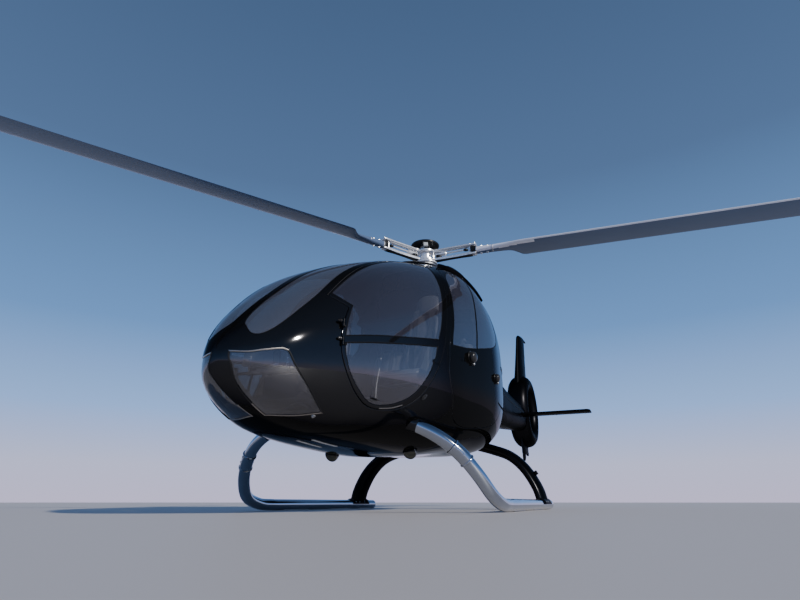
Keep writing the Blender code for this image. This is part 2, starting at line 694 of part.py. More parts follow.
def in_cabin(bm):
    """Trim a piece of the cabin to the room inside the walls."""
    return boolean(bm, hull_solid(WALL + FIT_OUT_CLEAR), "INTERSECT")


def fuselage(root):
    bm = panel(joint_rim(), opening_rings(), 0.0, WALL)
    for side in (1, -1):
        keel = box((side * KEEL_X - KEEL_WIDTH / 2, FLOOR_FRONT, KEEL_LOW),
                   (side * KEEL_X + KEEL_WIDTH / 2, KEEL_REAR, FLOOR_TOP - FLOOR_THICK - SEAT))
        keel = boolean(keel, hull_solid(WALL / 2), "INTERSECT")
        bm = boolean(bm, keel, "UNION")
        for z in HINGE_Z:
            knuckle = hinge_half(side, z + KNUCKLE_H + 2 * SEAT, LEAF_BODY)
            bm = boolean(bm, knuckle, "UNION")
    return new_object("fuselage_shell", bm, "paint", root)


# Doors

def body_at(y, z):
    """Point and normal of the body's left side at a station and a height."""
    angles = np.radians(np.linspace(-60, 60, 2401))
    reach = math.sqrt((y - NOSE_Y) / HULL_LENGTH)
    spots = reach * np.stack([np.cos(angles), np.sin(angles)], axis=1)
    nearest = np.argmin(np.abs(hull_point(spots)[:, 2] - z))
    point, normal = hull_frame(spots[nearest:nearest + 1])[:2]
    return Vector(point[0]), Vector(normal[0])


def hinge_axis(side):
    point, normal = body_at(HINGE_Y, sum(HINGE_Z) / 2)
    flat = Vector((normal.x, normal.y, 0)).normalized()
    axis = point + HINGE_OUT * flat
    return Vector((side * axis.x, axis.y, 0))


def hinge_half(side, z, reach):
    """One knuckle with its leaf, which reaches a distance of reach along Y into the door or the body."""
    axis = hinge_axis(1)
    low, high = Vector((0, 0, z - KNUCKLE_H / 2)), Vector((0, 0, z + KNUCKLE_H / 2))
    bm = cylinder(axis + low, axis + high, KNUCKLE_R, sides=12)
    point, normal = body_at(HINGE_Y + reach, z)
    foot = point + LEAF_OVER * normal
    foot.z = 0
    ahead = (foot - axis).normalized()
    across = Vector((-ahead.y, ahead.x, 0)) * LEAF_THICK / 2
    rings = [[place - across + low, place + across + low, place + across + high, place - across + high]
             for place in (axis, foot)]
    bm = boolean(bm, loft(rings), "UNION")
    return bm if side > 0 else mirrored(bm)


def pane(name, ring, parent):
    bm = panel(inset(ring, PANE_GAP), [], -GLASS_DEPTH, GLASS_DEPTH + GLASS_THICK)
    return new_object(name, bm, "glass", parent)


def front_door(root, side, tag):
    hinge = pivot(f"front_door_hinge_{tag}", hinge_axis(side), root)
    panes = [outline(DOOR_PANE_UPPER, side=side), outline(DOOR_PANE_LOWER, side=side)]
    bm = panel(inset(outline(FRONT_DOOR, side=side), DOOR_GAP), panes, 0.0, WALL)
    for z in HINGE_Z:
        bm = boolean(bm, hinge_half(side, z, LEAF_DOOR), "UNION")
    new_object(f"front_door_{tag}", bm, "paint", hinge)
    pane(f"front_door_pane_upper_{tag}", panes[0], hinge)
    pane(f"front_door_pane_lower_{tag}", panes[1], hinge)


def rear_door(root):
    panes = [outline(REAR_PANE_FRONT), outline(REAR_PANE_AFT)]
    bm = panel(inset(outline(REAR_DOOR), SEAM), panes, 0.0, WALL, inner_shift=SEAM - PANE_GAP)
    new_object("rear_door_L", bm, "paint", root)


def windows(root):
    for side, tag in ((1, "L"), (-1, "R")):
        pane(f"windshield_{tag}", outline(WINDSHIELD, side=side), root)
        pane(f"chin_window_{tag}", outline(CHIN, side=side), root)
        pane(f"rear_pane_front_{tag}", outline(REAR_PANE_FRONT, side=side), root)
        pane(f"rear_pane_aft_{tag}", outline(REAR_PANE_AFT, side=side), root)


# Cabin

def cabin(root):
    floor = in_cabin(box((-1, FLOOR_FRONT, FLOOR_TOP - FLOOR_THICK), (1, BULKHEAD_Y - SEAT, FLOOR_TOP)))
    new_object("cabin_floor", floor, "dark", root)

    thick = BULKHEAD_THICK
    deck = box((-1, DECK_FRONT, DECK_TOP - thick), (1, DECK_REAR, DECK_TOP))
    front = box((-1, DECK_FRONT, DECK_TOP - LAP), (1, DECK_FRONT + thick, DECK_WALL_TOP))
    wall = box((-1, BULKHEAD_Y, FLOOR_TOP - FLOOR_THICK), (1, BULKHEAD_Y + thick, DECK_TOP - LAP))
    deck = boolean(deck, front, "UNION")
    deck = boolean(deck, wall, "UNION")
    new_object("engine_deck", in_cabin(deck), "dark", root)

    console = boolean(box(*PEDESTAL), box(*BOARD), "UNION")
    new_object("instrument_console", console, "dark", root)

    for side, tag in ((1, "L"), (-1, "R")):
        new_object(f"front_seat_{tag}", seat(FRONT_SEAT, side * SEAT_X), "seat", root)
    new_object("rear_bench", seat(REAR_BENCH, 0), "seat", root)


def seat(blocks, x):
    """Blocks with a four-cornered side view each and a width along X, joined into one seat."""
    bm = None
    for *side_view, half_width in blocks:
        ends = [[Vector((x + s * half_width, y, z)) for y, z in side_view] for s in (-1, 1)]
        piece = loft(ends)
        bm = piece if bm is None else boolean(bm, piece, "UNION")
    return bm


# Engine bay

def cowling_solid(shrink, front, rear, drop):
    rings = []
    table = np.array(COWLING)
    for y in sorted({front, rear, *(row[0] for row in COWLING if front < row[0] < rear)}):
        half, top, spring = (float(monotone(table[:, 0], table[:, c], np.array([y]))[0]) for c in (1, 2, 3))
        half -= shrink
        ring = []
        for k in range(COWLING_SIDES):
            a = 2 * math.pi * k / COWLING_SIDES
            cos, sin = math.cos(a), math.sin(a)
            size = (abs(cos) ** COWLING_POWER + abs(sin) ** COWLING_POWER) ** (-1 / COWLING_POWER)
            height = top - shrink - spring if sin >= 0 else drop
            ring.append(Vector((half * size * cos, y, spring + height * size * sin)))
        rings.append(ring)
    return loft(rings)


def engine_bay(root, wall):
    first, last = COWLING[0][0], COWLING[-1][0]
    bm = cowling_solid(0.0, first, last, COWLING_SKIRT)
    bm = clear_of_body(bm, wall)
    hollow = cowling_solid(COWLING_WALL, first + COWLING_NOSE, last - COWLING_WALL, 2 * COWLING_SKIRT)
    mast_hole = cylinder((0, 0, 2.30), (0, 0, 2.70), MAST_HOLE_R, sides=32)
    outlet = cylinder((0, last - 0.10, EXHAUST_Z), (0, last + 0.05, EXHAUST_Z), EXHAUST_R + SEAT, sides=32)
    for cutter in (hollow, mast_hole, outlet):
        bm = boolean(bm, cutter, "DIFFERENCE")
    new_object("cowling", bm, "paint", root)

    width, length, height = GEARBOX_SIZE
    low, high = (-width / 2, -length / 2, ENGINE_BASE), (width / 2, length / 2, ENGINE_BASE + height)
    new_object("main_gearbox", box(low, high), "metal", root)
    width, length, height = ENGINE_SIZE
    low = (-width / 2, ENGINE_Y - length / 2, ENGINE_BASE)
    high = (width / 2, ENGINE_Y + length / 2, ENGINE_BASE + height)
    new_object("engine_block", box(low, high), "metal", root)

    start = ENGINE_Y + length / 2 + SEAT
    pipe = cylinder((0, start, EXHAUST_Z), (0, EXHAUST_END, EXHAUST_Z), EXHAUST_R, sides=32)
    bore = cylinder((0, start + EXHAUST_ROOT, EXHAUST_Z), (0, EXHAUST_END + EXHAUST_ROOT, EXHAUST_Z),
                    EXHAUST_R - EXHAUST_WALL, sides=32)
    new_object("exhaust_pipe", boolean(pipe, bore, "DIFFERENCE"), "metal", root)


# Main rotor

def rotor(root):
    axis = pivot("main_rotor_axis", (0, 0, ROTOR_Z), root)
    mast_foot = ENGINE_BASE + GEARBOX_SIZE[2] + SEAT
    low_arm, high_arm = ARM_PLATES[0][0], ARM_PLATES[1][1]
    mast = cylinder((0, 0, mast_foot), (0, 0, low_arm - SEAT), MAST_R)
    swash = cylinder((0, 0, SWASH_Z[0]), (0, 0, SWASH_Z[1]), SWASH_R, sides=32)
    new_object("rotor_mast", boolean(mast, swash, "UNION"), "metal", axis)

    hub = cylinder((0, 0, low_arm), (0, 0, high_arm), HUB_R, sides=24)
    for low, high, radius, top_radius in HUB_TOP:
        hub = boolean(hub, cylinder((0, 0, low), (0, 0, high), radius, top_radius, sides=28), "UNION")
    half = ARM_WIDTH / 2
    arm_boxes = [box((ARM_START, -half, low), (ARM_END - END_BLOCK / 2, half, high))
                 for low, high in ARM_PLATES]
    arm_boxes.append(box((ARM_END - END_BLOCK, -half - END_BLOCK_OUT, low_arm - END_BLOCK_UP),
                         (ARM_END, half + END_BLOCK_OUT, high_arm + END_BLOCK_UP)))
    for angle in BLADE_ANGLES:
        turn = Matrix.Rotation(math.radians(angle), 4, "Z")
        for part in arm_boxes:
            arm = part.copy()
            bmesh.ops.transform(arm, matrix=turn, verts=arm.verts[:])
            hub = boolean(hub, arm, "UNION")
    new_object("rotor_hub", hub, "chrome", axis)

    for number, angle in enumerate(BLADE_ANGLES, start=1):
        new_object(f"main_blade_{number}", blade(angle), "blade", axis)


def blade(angle):
    out = Vector((math.cos(math.radians(angle)), math.sin(math.radians(angle)), 0))
    ahead = Vector((out.y, -out.x, 0))
    up = Vector((0, 0, 1))
    cos, sin = math.cos(math.radians(BLADE_PITCH)), math.sin(math.radians(BLADE_PITCH))
    rings = []
    for radius, lead, trail, thick, forward in BLADE_STATIONS:
        z = BLADE_ROOT_Z - math.tan(math.radians(BLADE_DROOP)) * (radius - BLADE_STATIONS[0][0])
        ring = []
        for k in range(BLADE_SIDES):
            a = 2 * math.pi * k / BLADE_SIDES
            chord = (lead - trail) / 2 + (lead + trail) / 2 * math.cos(a)
            height = thick / 2 * math.sin(a) * (1 + forward * math.cos(a))
            flat = ahead * (chord * cos - height * sin)
            ring.append(out * radius + flat + up * (z + chord * sin + height * cos))
        rings.append(ring)
    return loft(rings)


# Tail

def boom_solid(grow, stations=BOOM):
    rings = []
    for y, half, top, low in stations:
        mid = low + BOOM_MIDDLE * (top - low)
        ring = []
        for k in range(HULL_SIDES):
            a = 2 * math.pi * k / HULL_SIDES
            cos, sin = math.cos(a), math.sin(a)
            power = BOOM_UPPER_POWER if sin >= 0 else BOOM_LOWER_POWER
            size = (abs(cos) ** power + abs(sin) ** power) ** (-1 / power)
            height = (top - mid if sin >= 0 else mid - low) + grow
            ring.append(Vector(((half + grow) * size * cos, y, mid + height * size * sin)))
        rings.append(ring)
    return loft(rings)


def around_fan(profile, closed):
    """Turn a profile of (radius, x) points about the fan's axis."""
    rings = []
    for k in range(SHROUD_SIDES):
        a = 2 * math.pi * k / SHROUD_SIDES
        rings.append([Vector((x, FAN_Y + r * math.cos(a), FAN_Z + r * math.sin(a))) for r, x in profile])
    if closed:
        return loft(rings, closed_along=True)
    columns = [[ring[i] for ring in rings] for i in range(len(profile))]
    return loft(columns)


def shroud_profile(grow):
    loop = [*SHROUD, *((r, -x) for r, x in SHROUD[-2::-1])]
    count = len(loop)
    result = []
    for i, (r, x) in enumerate(loop):
        (r0, x0), (r1, x1) = loop[i - 1], loop[(i + 1) % count]
        length = math.hypot(r1 - r0, x1 - x0)
        result.append((r + grow * (x0 - x1) / length, x - grow * (r0 - r1) / length))
    return result


def shroud_envelope(grow):
    """Solid of the shroud's outer form with its duct filled."""
    outer = [(r, x) for r, x in shroud_profile(grow) if r >= SHROUD[3][0] - 1e-3]
    return around_fan(outer, closed=False)


def airfoil_ring(lead, trail, thick, place, sides=14):
    """Streamlined section between two points along Y, placed by a function of (y, offset)."""
    ring = []
    for k in range(sides):
        a = 2 * math.pi * k / sides
        y = (lead + trail) / 2 - (trail - lead) / 2 * math.cos(a)
        off = thick / 2 * math.sin(a) * (1 + 0.3 * math.cos(a))
        ring.append(place(y, off))
    return ring


def upright(stations, thick):
    """Streamlined bar that stands up in the centre plane, from its (z, leading y, trailing y)."""
    return loft([airfoil_ring(lead, trail, thick, lambda y, off, z=z: Vector((off, y, z)))
                 for z, lead, trail in stations])


def tail(root):
    envelope = shroud_envelope(SEAT)
    boom = boolean(boom_solid(0.0), envelope.copy(), "DIFFERENCE")
    open_front = (JOINT_Y - BOOM_WALL, *BOOM[0][1:])
    inside_stations = (open_front, *BOOM[1:-1])
    boom = boolean(boom, boom_solid(-BOOM_WALL, inside_stations), "DIFFERENCE")
    new_object("tail_boom", boom, "paint", root)
    new_object("fan_shroud", around_fan(shroud_profile(0.0), closed=True), "paint", root)

    rings = []
    for low, high, lead, trail, thick in FIN:
        rise = (high - low) / (trail - lead)
        rings.append(airfoil_ring(lead, trail, thick, lambda y, off: Vector((off, y, low + rise * (y - lead)))))
    fin = boolean(loft(rings), envelope.copy(), "DIFFERENCE")
    fin = boolean(fin, boom_solid(2 * SEAT), "DIFFERENCE")
    fin = boolean(fin, cylinder(*FIN_LAMP, FIN_LAMP_R, sides=12), "UNION")
    new_object("tail_fin", fin, "paint", root)

    guard = upright(GUARD, GUARD_THICK)
    for prong in GUARD_PRONGS:
        guard = boolean(guard, upright(prong, PRONG_THICK), "UNION")
    new_object("tail_guard", boolean(guard, envelope.copy(), "DIFFERENCE"), "dark", root)

    for side, tag in ((1, "L"), (-1, "R")):
        rings = [airfoil_ring(STAB_LEAD, STAB_TRAIL, STAB_THICK,
                              lambda y, off, x=side * x: Vector((x, y, STAB_Z + off)))
                 for x in (STAB_ROOT, STAB_SPAN / 2)]
        plane = boolean(loft(rings), boom_solid(2 * SEAT), "DIFFERENCE")
        new_object(f"tailplane_{tag}", boolean(plane, envelope.copy(), "DIFFERENCE"), "paint", root)

    fan_axis = pivot("tail_fan_axis", (0, FAN_Y, FAN_Z), root)
    new_object("tail_fan", fan(), "metal", fan_axis)
    new_object("fan_gearbox", fan_gearbox(), "dark", root)


def round_block(start, end, radius, end_radius):
    """Round block on the fan's axis, between two values of x."""
    return cylinder((start, FAN_Y, FAN_Z), (end, FAN_Y, FAN_Z), radius, end_radius, sides=32)


def on_fan_axis(bm, angle):
    """Turn a piece that stands up from the fan's axis about that axis, and put it in place."""
    bmesh.ops.rotate(bm, verts=bm.verts[:], matrix=Matrix.Rotation(math.radians(angle), 3, "X"))
    bmesh.ops.translate(bm, verts=bm.verts[:], vec=(0, FAN_Y, FAN_Z))
    return bm


def fan():
    body, nose = (round_block(*row) for row in FAN_HUB)
    bm = boolean(body, nose, "UNION")
    pitch = Matrix.Rotation(math.radians(FAN_BLADE_PITCH), 3, "Z")
    for k in range(FAN_BLADES):
        vane = box(*FAN_BLADE)
        bmesh.ops.rotate(vane, verts=vane.verts[:], matrix=pitch)
        bm = boolean(bm, on_fan_axis(vane, 360 * k / FAN_BLADES), "UNION")
    return bm


def fan_gearbox():
    bm = round_block(*FAN_BOX)
    for angle in (90, 210, 330):
        bm = boolean(bm, on_fan_axis(box(*FAN_STRUT), angle), "UNION")
    return boolean(bm, around_fan(shroud_profile(SEAT), closed=True), "DIFFERENCE")


# Landing gear

def landing_gear(root, wall):
    leg = smooth_path(SKID_PATH, 0.055)
    skid = clear_of_body(tube([*leg, Vector((SKID_X, SKID_REAR, TUBE_R))], TUBE_R), wall)

    strut = clear_of_body(oval_bar(smooth_path(STRUT_PATH, 0.07), STRUT_WIDE, STRUT_THICK, sides=16), wall)
    front, rear = STRUT_Y - SADDLE_LENGTH / 2, STRUT_Y + SADDLE_LENGTH / 2
    saddle = cylinder((SKID_X, front, TUBE_R), (SKID_X, rear, TUBE_R), SADDLE_R, sides=24)
    upper = box((SKID_X - 0.1, front - 0.1, SADDLE_LOW), (SKID_X + 0.1, rear + 0.1, 0.2))
    saddle = boolean(saddle, upper, "INTERSECT")
    strut = boolean(strut, saddle, "UNION")
    rail = cylinder((SKID_X, 0, TUBE_R), (SKID_X, SKID_REAR, TUBE_R), TUBE_R + 4 * SEAT, sides=28)
    strut = boolean(strut, rail, "DIFFERENCE")

    dome = bmesh.new()
    bmesh.ops.create_uvsphere(dome, u_segments=16, v_segments=10, radius=DOME_R,
                              matrix=Matrix.Translation(DOME) @ Matrix.Diagonal((1, 1, DOME_SQUASH, 1)))
    dome = clear_of_body(dome, wall)

    pieces = (("skid", skid, "chrome"), ("rear_strut", strut, "dark"), ("belly_lamp", dome, "lamp"))
    for name, bm, finish in pieces:
        other = mirrored(bm)
        new_object(f"{name}_L", bm, finish, root)
        new_object(f"{name}_R", other, finish, root)


def main():
    clear_scene()
    root = pivot("helicopter", (0, 0, 0))
    root.location = (ROTOR_AXIS_X, ROTOR_AXIS_Y, 0)
    wall = panel(joint_rim(), opening_rings(), SEAT, WALL + SEAT)
    fuselage(root)
    for side, tag in ((1, "L"), (-1, "R")):
        front_door(root, side, tag)
    rear_door(root)
    windows(root)
    cabin(root)
    engine_bay(root, wall)
    rotor(root)
    tail(root)
    landing_gear(root, wall)
    wall.free()


main()
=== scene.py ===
# %% [markdown]
# # Dressing a light helicopter
#
# The construction comes in as a fixed frame: every panel, tube and blade stands where it belongs, and the
# bodies (airframe, main rotor, tail rotor, two front doors) can already move. This lesson gives the frame its
# looks. Positions are written as on the drawing board, with x = y = 0 on the main rotor's axis and z = 0 on the
# ground. One helper moves each finished piece to its place in the frame.

# %% Load the frame
import json
import math

import bmesh
import bpy
import numpy as np
from mathutils import Matrix, Vector
from mathutils.geometry import delaunay_2d_cdt

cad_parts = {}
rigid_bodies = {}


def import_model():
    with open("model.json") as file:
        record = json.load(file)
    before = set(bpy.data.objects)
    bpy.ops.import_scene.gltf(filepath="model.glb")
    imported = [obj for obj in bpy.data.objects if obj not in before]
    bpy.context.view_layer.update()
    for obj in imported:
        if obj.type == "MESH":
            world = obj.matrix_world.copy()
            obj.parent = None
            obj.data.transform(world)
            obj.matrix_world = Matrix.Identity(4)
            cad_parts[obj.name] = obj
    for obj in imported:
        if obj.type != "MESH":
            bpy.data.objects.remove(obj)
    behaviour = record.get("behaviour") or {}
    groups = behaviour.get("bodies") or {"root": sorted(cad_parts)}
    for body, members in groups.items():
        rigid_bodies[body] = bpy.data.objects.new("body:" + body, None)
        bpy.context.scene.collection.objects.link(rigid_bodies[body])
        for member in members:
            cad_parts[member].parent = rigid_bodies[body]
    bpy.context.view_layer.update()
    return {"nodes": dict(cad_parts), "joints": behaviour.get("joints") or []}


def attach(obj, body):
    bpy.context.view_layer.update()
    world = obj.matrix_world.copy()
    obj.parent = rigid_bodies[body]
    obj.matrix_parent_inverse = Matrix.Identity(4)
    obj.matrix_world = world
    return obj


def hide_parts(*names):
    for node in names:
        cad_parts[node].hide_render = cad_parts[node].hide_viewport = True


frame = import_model()
NODES = frame["nodes"]
JOINTS = {joint["name"]: joint for joint in frame["joints"]}
ROTOR_HOME = Vector(JOINTS["main_rotor_spin"]["pos_m"])
HOME = Vector((ROTOR_HOME.x, ROTOR_HOME.y, 0))

# %% [markdown]
# ## The camera
#
# The photographer crouched: the horizon lies low in the picture and the cabin towers over it. A camera can be
# aimed with a constraint or by eye. Here its place, its tilt and its lens were worked out once from the sizes
# of the machine, so they are written as plain numbers.

# %% Camera
CAMERA_PLACE = (1.941, -5.279, 0.065)
CAMERA_TILT_UP = 20.853
CAMERA_TURN = 23.2
CAMERA_LENS = 23.91


def set_camera():
    data = bpy.data.cameras.new("camera")
    data.lens = CAMERA_LENS
    data.clip_start, data.clip_end = 0.05, 2000
    camera = bpy.data.objects.new("camera", data)
    bpy.context.scene.collection.objects.link(camera)
    camera.location = HOME + Vector(CAMERA_PLACE)
    camera.rotation_euler = (math.radians(90 + CAMERA_TILT_UP), 0, math.radians(CAMERA_TURN))
    bpy.context.scene.camera = camera
    return camera


camera = set_camera()
print("camera at", tuple(round(v, 3) for v in camera.location))

# %% [markdown]
# ## Small helpers for materials
#
# Every material starts as a Principled BSDF. Numbers that are the same all over a surface are typed on the
# shader's own sockets. Only what changes over the surface is computed by nodes, and an effect that several
# materials share lives in a node group with named sockets, so that each material can place it with its own
# values.


# %% Start a material
def new_material(name, **values):
    mat = bpy.data.materials.new(name)
    mat.use_nodes = True
    shader = mat.node_tree.nodes["Principled BSDF"]
    for socket, value in values.items():
        socket = socket.replace("_", " ")
        shader.inputs[socket].default_value = (*value, 1.0) if isinstance(value, tuple) else value
    return mat, mat.node_tree


def dress(mat, colour, base, rough=None, normal=None, alpha=None):
    """Link what changes over the surface to the shader, and set the plain colour."""
    shader = mat.node_tree.nodes["Principled BSDF"]
    for socket, source in (("Base Color", base), ("Roughness", rough), ("Normal", normal), ("Alpha", alpha)):
        if source is not None:
            mat.node_tree.links.new(source, shader.inputs[socket])
    mat.diffuse_color = (*colour, 1.0)
    return mat


# %% Add nodes
def connect(tree, source, socket):
    """Link a socket, or type a value into it."""
    if isinstance(source, bpy.types.NodeSocket):
        tree.links.new(source, socket)
    elif isinstance(source, tuple) and len(source) < len(socket.default_value):
        socket.default_value = (*source, 1.0)
    else:
        socket.default_value = source


def node(tree, kind, links=(), **settings):
    """Add a node: settings are its properties, links are (input, socket or value)."""
    made = tree.nodes.new(f"ShaderNode{kind}")
    for key, value in settings.items():
        setattr(made, key, value)
    for key, source in links:
        connect(tree, source, made.inputs[key])
    return made


def remap(tree, source, low, high, start=0.0, end=1.0):
    links = [("Value", source), ("From Min", start), ("From Max", end), ("To Min", low), ("To Max", high)]
    return node(tree, "MapRange", links).outputs["Result"]


def mix_colour(tree, factor, first, second):
    return node(tree, "Mix", [(0, factor), (6, first), (7, second)], data_type="RGBA").outputs[2]


def times(colour, factor, plus=0.0):
    return tuple(c * factor + plus for c in colour)


def calculate(tree, operation, first, second):
    return node(tree, "Math", [(0, first), (1, second)], operation=operation).outputs[0]


# %% Make and place node groups
def new_group(name, inputs, outputs):
    """A node group with float inputs as (name, default) and outputs as (name, type)."""
    tree = bpy.data.node_groups.new(name, "ShaderNodeTree")
    for title, default in inputs:
        tree.interface.new_socket(title, in_out="INPUT", socket_type="NodeSocketFloat").default_value = default
    for title, kind in outputs:
        tree.interface.new_socket(title, in_out="OUTPUT", socket_type=f"NodeSocket{kind}")
    return tree, tree.nodes.new("NodeGroupInput").outputs, tree.nodes.new("NodeGroupOutput").inputs


def place_group(tree, group, **values):
    made = tree.nodes.new("ShaderNodeGroup")
    made.node_tree = group
    for key, value in values.items():
        connect(tree, value, made.inputs[key.replace("_", " ")])
    return made.outputs


print("material helpers ready")

# %% [markdown]
# ## Effects that many finishes share
#
# Paint, plastic and metal are never quite even. The first group gives soft cloudiness, a fine grain, and a
# light dust that gathers on faces that look up. It uses object coordinates, which stay still on a door that
# opens.


# %% Cloudiness, grain and dust
def build_surface_variation():
    tree, given, out = new_group(
        "surface variation", [("Cloud Size", 1.5), ("Grain Size", 60.0), ("Dust", 0.3)],
        [("Cloud", "Float"), ("Grain", "Float"), ("Dust Mask", "Float")])
    place = node(tree, "TexCoord").outputs["Object"]
    cloud = node(tree, "TexNoise", [("Vector", place), ("Scale", given["Cloud Size"]), ("Detail", 4.0)])
    grain = node(tree, "TexNoise", [("Vector", place), ("Scale", given["Grain Size"]), ("Detail", 3.0)])
    normal = node(tree, "NewGeometry").outputs["Normal"]
    up = node(tree, "SeparateXYZ", [("Vector", normal)]).outputs["Z"]
    settled = calculate(tree, "MULTIPLY", remap(tree, up, 0.0, 1.0, start=0.2), cloud.outputs["Fac"])
    tree.links.new(cloud.outputs["Fac"], out["Cloud"])
    tree.links.new(grain.outputs["Fac"], out["Grain"])
    tree.links.new(calculate(tree, "MULTIPLY", settled, given["Dust"]), out["Dust Mask"])
    return tree


VARIATION = build_surface_variation()
print("group:", VARIATION.name)

# %% [markdown]
# Drawn, turned and brushed metal carries long fine lines. Stretching a noise along one direction gives them,
# as a value for roughness and as a very shallow bump.


# %% Drawn lines
def build_drawn_lines():
    tree, given, out = new_group(
        "drawn lines", [("Across X", 4.0), ("Across Y", 4.0), ("Across Z", 4.0), ("Strength", 0.1)],
        [("Lines", "Float"), ("Normal", "Vector")])
    place = node(tree, "TexCoord").outputs["Object"]
    scale = node(tree, "CombineXYZ", [(axis, given[f"Across {axis}"]) for axis in "XYZ"]).outputs[0]
    stretched = node(tree, "VectorMath", [(0, place), (1, scale)], operation="MULTIPLY").outputs[0]
    lines = node(tree, "TexNoise", [("Vector", stretched), ("Scale", 1.0), ("Detail", 5.0)]).outputs["Fac"]
    bump = node(tree, "Bump", [("Height", lines), ("Strength", given["Strength"]), ("Distance", 0.001)])
    tree.links.new(lines, out["Lines"])
    tree.links.new(bump.outputs["Normal"], out["Normal"])
    return tree


DRAWN_LINES = build_drawn_lines()
print("group:", DRAWN_LINES.name)

# %% [markdown]
# Sprayed lacquer and moulded plastic both have a fine skin: a ripple in the one, a pebbled grain in the other.
# One group serves both, with another scale and strength.


# %% Ripple and pebble
def build_fine_skin():
    tree, given, out = new_group("fine skin", [("Scale", 120.0), ("Strength", 0.03), ("Depth", 0.001)],
                                 [("Height", "Float"), ("Normal", "Vector")])
    place = node(tree, "TexCoord").outputs["Object"]
    grain = node(tree, "TexNoise", [("Vector", place), ("Scale", given["Scale"]), ("Detail", 2.0)]).outputs["Fac"]
    bump = node(tree, "Bump", [("Height", grain), ("Strength", given["Strength"]), ("Distance", given["Depth"])])
    tree.links.new(grain, out["Height"])
    tree.links.new(bump.outputs["Normal"], out["Normal"])
    return tree


FINE_SKIN = build_fine_skin()
print("group:", FINE_SKIN.name)

# %% [markdown]
# ## Paint
#
# The body is near-black paint with a deep gloss. Its gloss does all the work: it shows the sky above and the
# floor below, and its own colour is almost nothing. A plain varnish would turn pale wherever it is seen at a
# glancing angle. This paint keeps its low reflection there, which the shader gives as a dark metal whose edge
# tint (Specular Tint) is dark too. Clouds keep it from looking like plastic, a ripple breaks the sharpest
# reflections, and a little dust lifts the upper faces.


# %% Painted finishes
def painted(name, colour, dust_colour, roughness, dust=0.2, ripple=0.02, lift=1.5, **values):
    mat, tree = new_material(name, **values)
    varied = place_group(tree, VARIATION, Cloud_Size=1.1, Grain_Size=90.0, Dust=dust)
    base = mix_colour(tree, varied["Cloud"], colour, times(colour, lift, 0.0005))
    dusty = mix_colour(tree, varied["Dust Mask"], base, dust_colour)
    rough = remap(tree, varied["Cloud"], roughness * 0.8, roughness * 1.25)
    skin = place_group(tree, FINE_SKIN, Scale=140.0, Strength=ripple)
    return dress(mat, colour, dusty, rough, skin["Normal"])


DARK_EDGE = {"Metallic": 0.9, "Specular_Tint": (0.24, 0.24, 0.25)}
DARKER_EDGE = {"Metallic": 0.93, "Specular_Tint": (0.14, 0.14, 0.15)}
BODY_PAINT = painted("gloss black paint", (0.031, 0.031, 0.033), (0.07, 0.075, 0.08), 0.048, dust=0.08, lift=1.25,
                     **DARK_EDGE)
# The satin black of the tail is darker than the body's gloss black, and that darker tone is painted shade.
SHADED_SATIN_PAINT = painted("satin black paint, darkened as painted shade", (0.009, 0.009, 0.010), (0.02, 0.02, 0.022), 0.30, dust=0.03, lift=1.2,
                     **DARKER_EDGE)
BLADE_PAINT = painted("blade grey paint", (0.085, 0.125, 0.215), (0.2, 0.2, 0.2), 0.20, ripple=0.05, lift=1.25)
# The edge strip's pale colour is partly a painted highlight: it stands in for the light along the blades' leading
# edge.
BLADE_STRIP_AND_HIGHLIGHT = painted("blade edge strip and painted highlight", (0.74, 0.76, 0.86), (0.2, 0.2, 0.2), 0.22, ripple=0.03, lift=1.15)
STRUT_PAINT = painted("strut black paint", (0.014, 0.014, 0.015), (0.02, 0.02, 0.02), 0.24, dust=0.03, lift=1.2,
                      **DARKER_EDGE)
print("paints ready")

# %% [markdown]
# ## Tinted glass
#
# Real refraction would darken a cabin that is lit only through its glass. So the panes let light straight
# through by their alpha, and grow more mirror-like towards a grazing view, which Fresnel gives inside the
# material itself.


# %% Tinted panes
def tinted_glass(name, colour, clear, edge, mirror=1.5):
    """Tinted pane: clear is its opacity seen straight on, edge its opacity at a grazing angle."""
    mat, tree = new_material(name, Roughness=0.02, IOR=mirror)
    varied = place_group(tree, VARIATION, Cloud_Size=2.5, Grain_Size=150.0, Dust=0.05)
    base = mix_colour(tree, varied["Cloud"], colour, times(colour, 0.8))
    facing = node(tree, "LayerWeight", [("Blend", 0.35)]).outputs["Fresnel"]
    dress(mat, colour, base, alpha=remap(tree, facing, clear, edge))
    mat.diffuse_color = (*colour, 0.4)
    return mat


WINDOW_GLASS = tinted_glass("tinted window glass", (0.036, 0.034, 0.050), 0.56, 0.86, 2.35)
WINDSHIELD_GLASS = tinted_glass("windshield glass", (0.090, 0.092, 0.118), 0.60, 0.88, 2.5)
PANE_INSIDE = tinted_glass("pane's inner face", (0.030, 0.027, 0.042), 0.10, 0.25, 1.15)
LAMP_GLASS = tinted_glass("lamp glass", (0.105, 0.105, 0.080), 0.85, 0.95)
print("glass ready")

# %% [markdown]
# ## Metals
#
# The skids are polished tube, the rotor head is machined steel, the swashplate and gear cases are cast alloy,
# and the exhaust is stained by heat. All share one recipe, a metal whose roughness follows fine lines, and
# differ in colour, in gloss and in the way the lines run.


# %% Metal finishes
def metal(name, colour, roughness, lines=(5.0, 5.0, 5.0), strength=0.05, spread=0.35, shade=0.8, metallic=1.0):
    mat, tree = new_material(name, Metallic=metallic)
    varied = place_group(tree, VARIATION, Cloud_Size=6.0, Grain_Size=200.0, Dust=0.0)
    drawn = place_group(tree, DRAWN_LINES, Across_X=lines[0], Across_Y=lines[1], Across_Z=lines[2],
                        Strength=strength)
    base = mix_colour(tree, varied["Cloud"], times(colour, shade), colour)
    rough = remap(tree, drawn["Lines"], roughness * (1 - spread), roughness * (1 + spread))
    return dress(mat, colour, base, rough, drawn["Normal"])


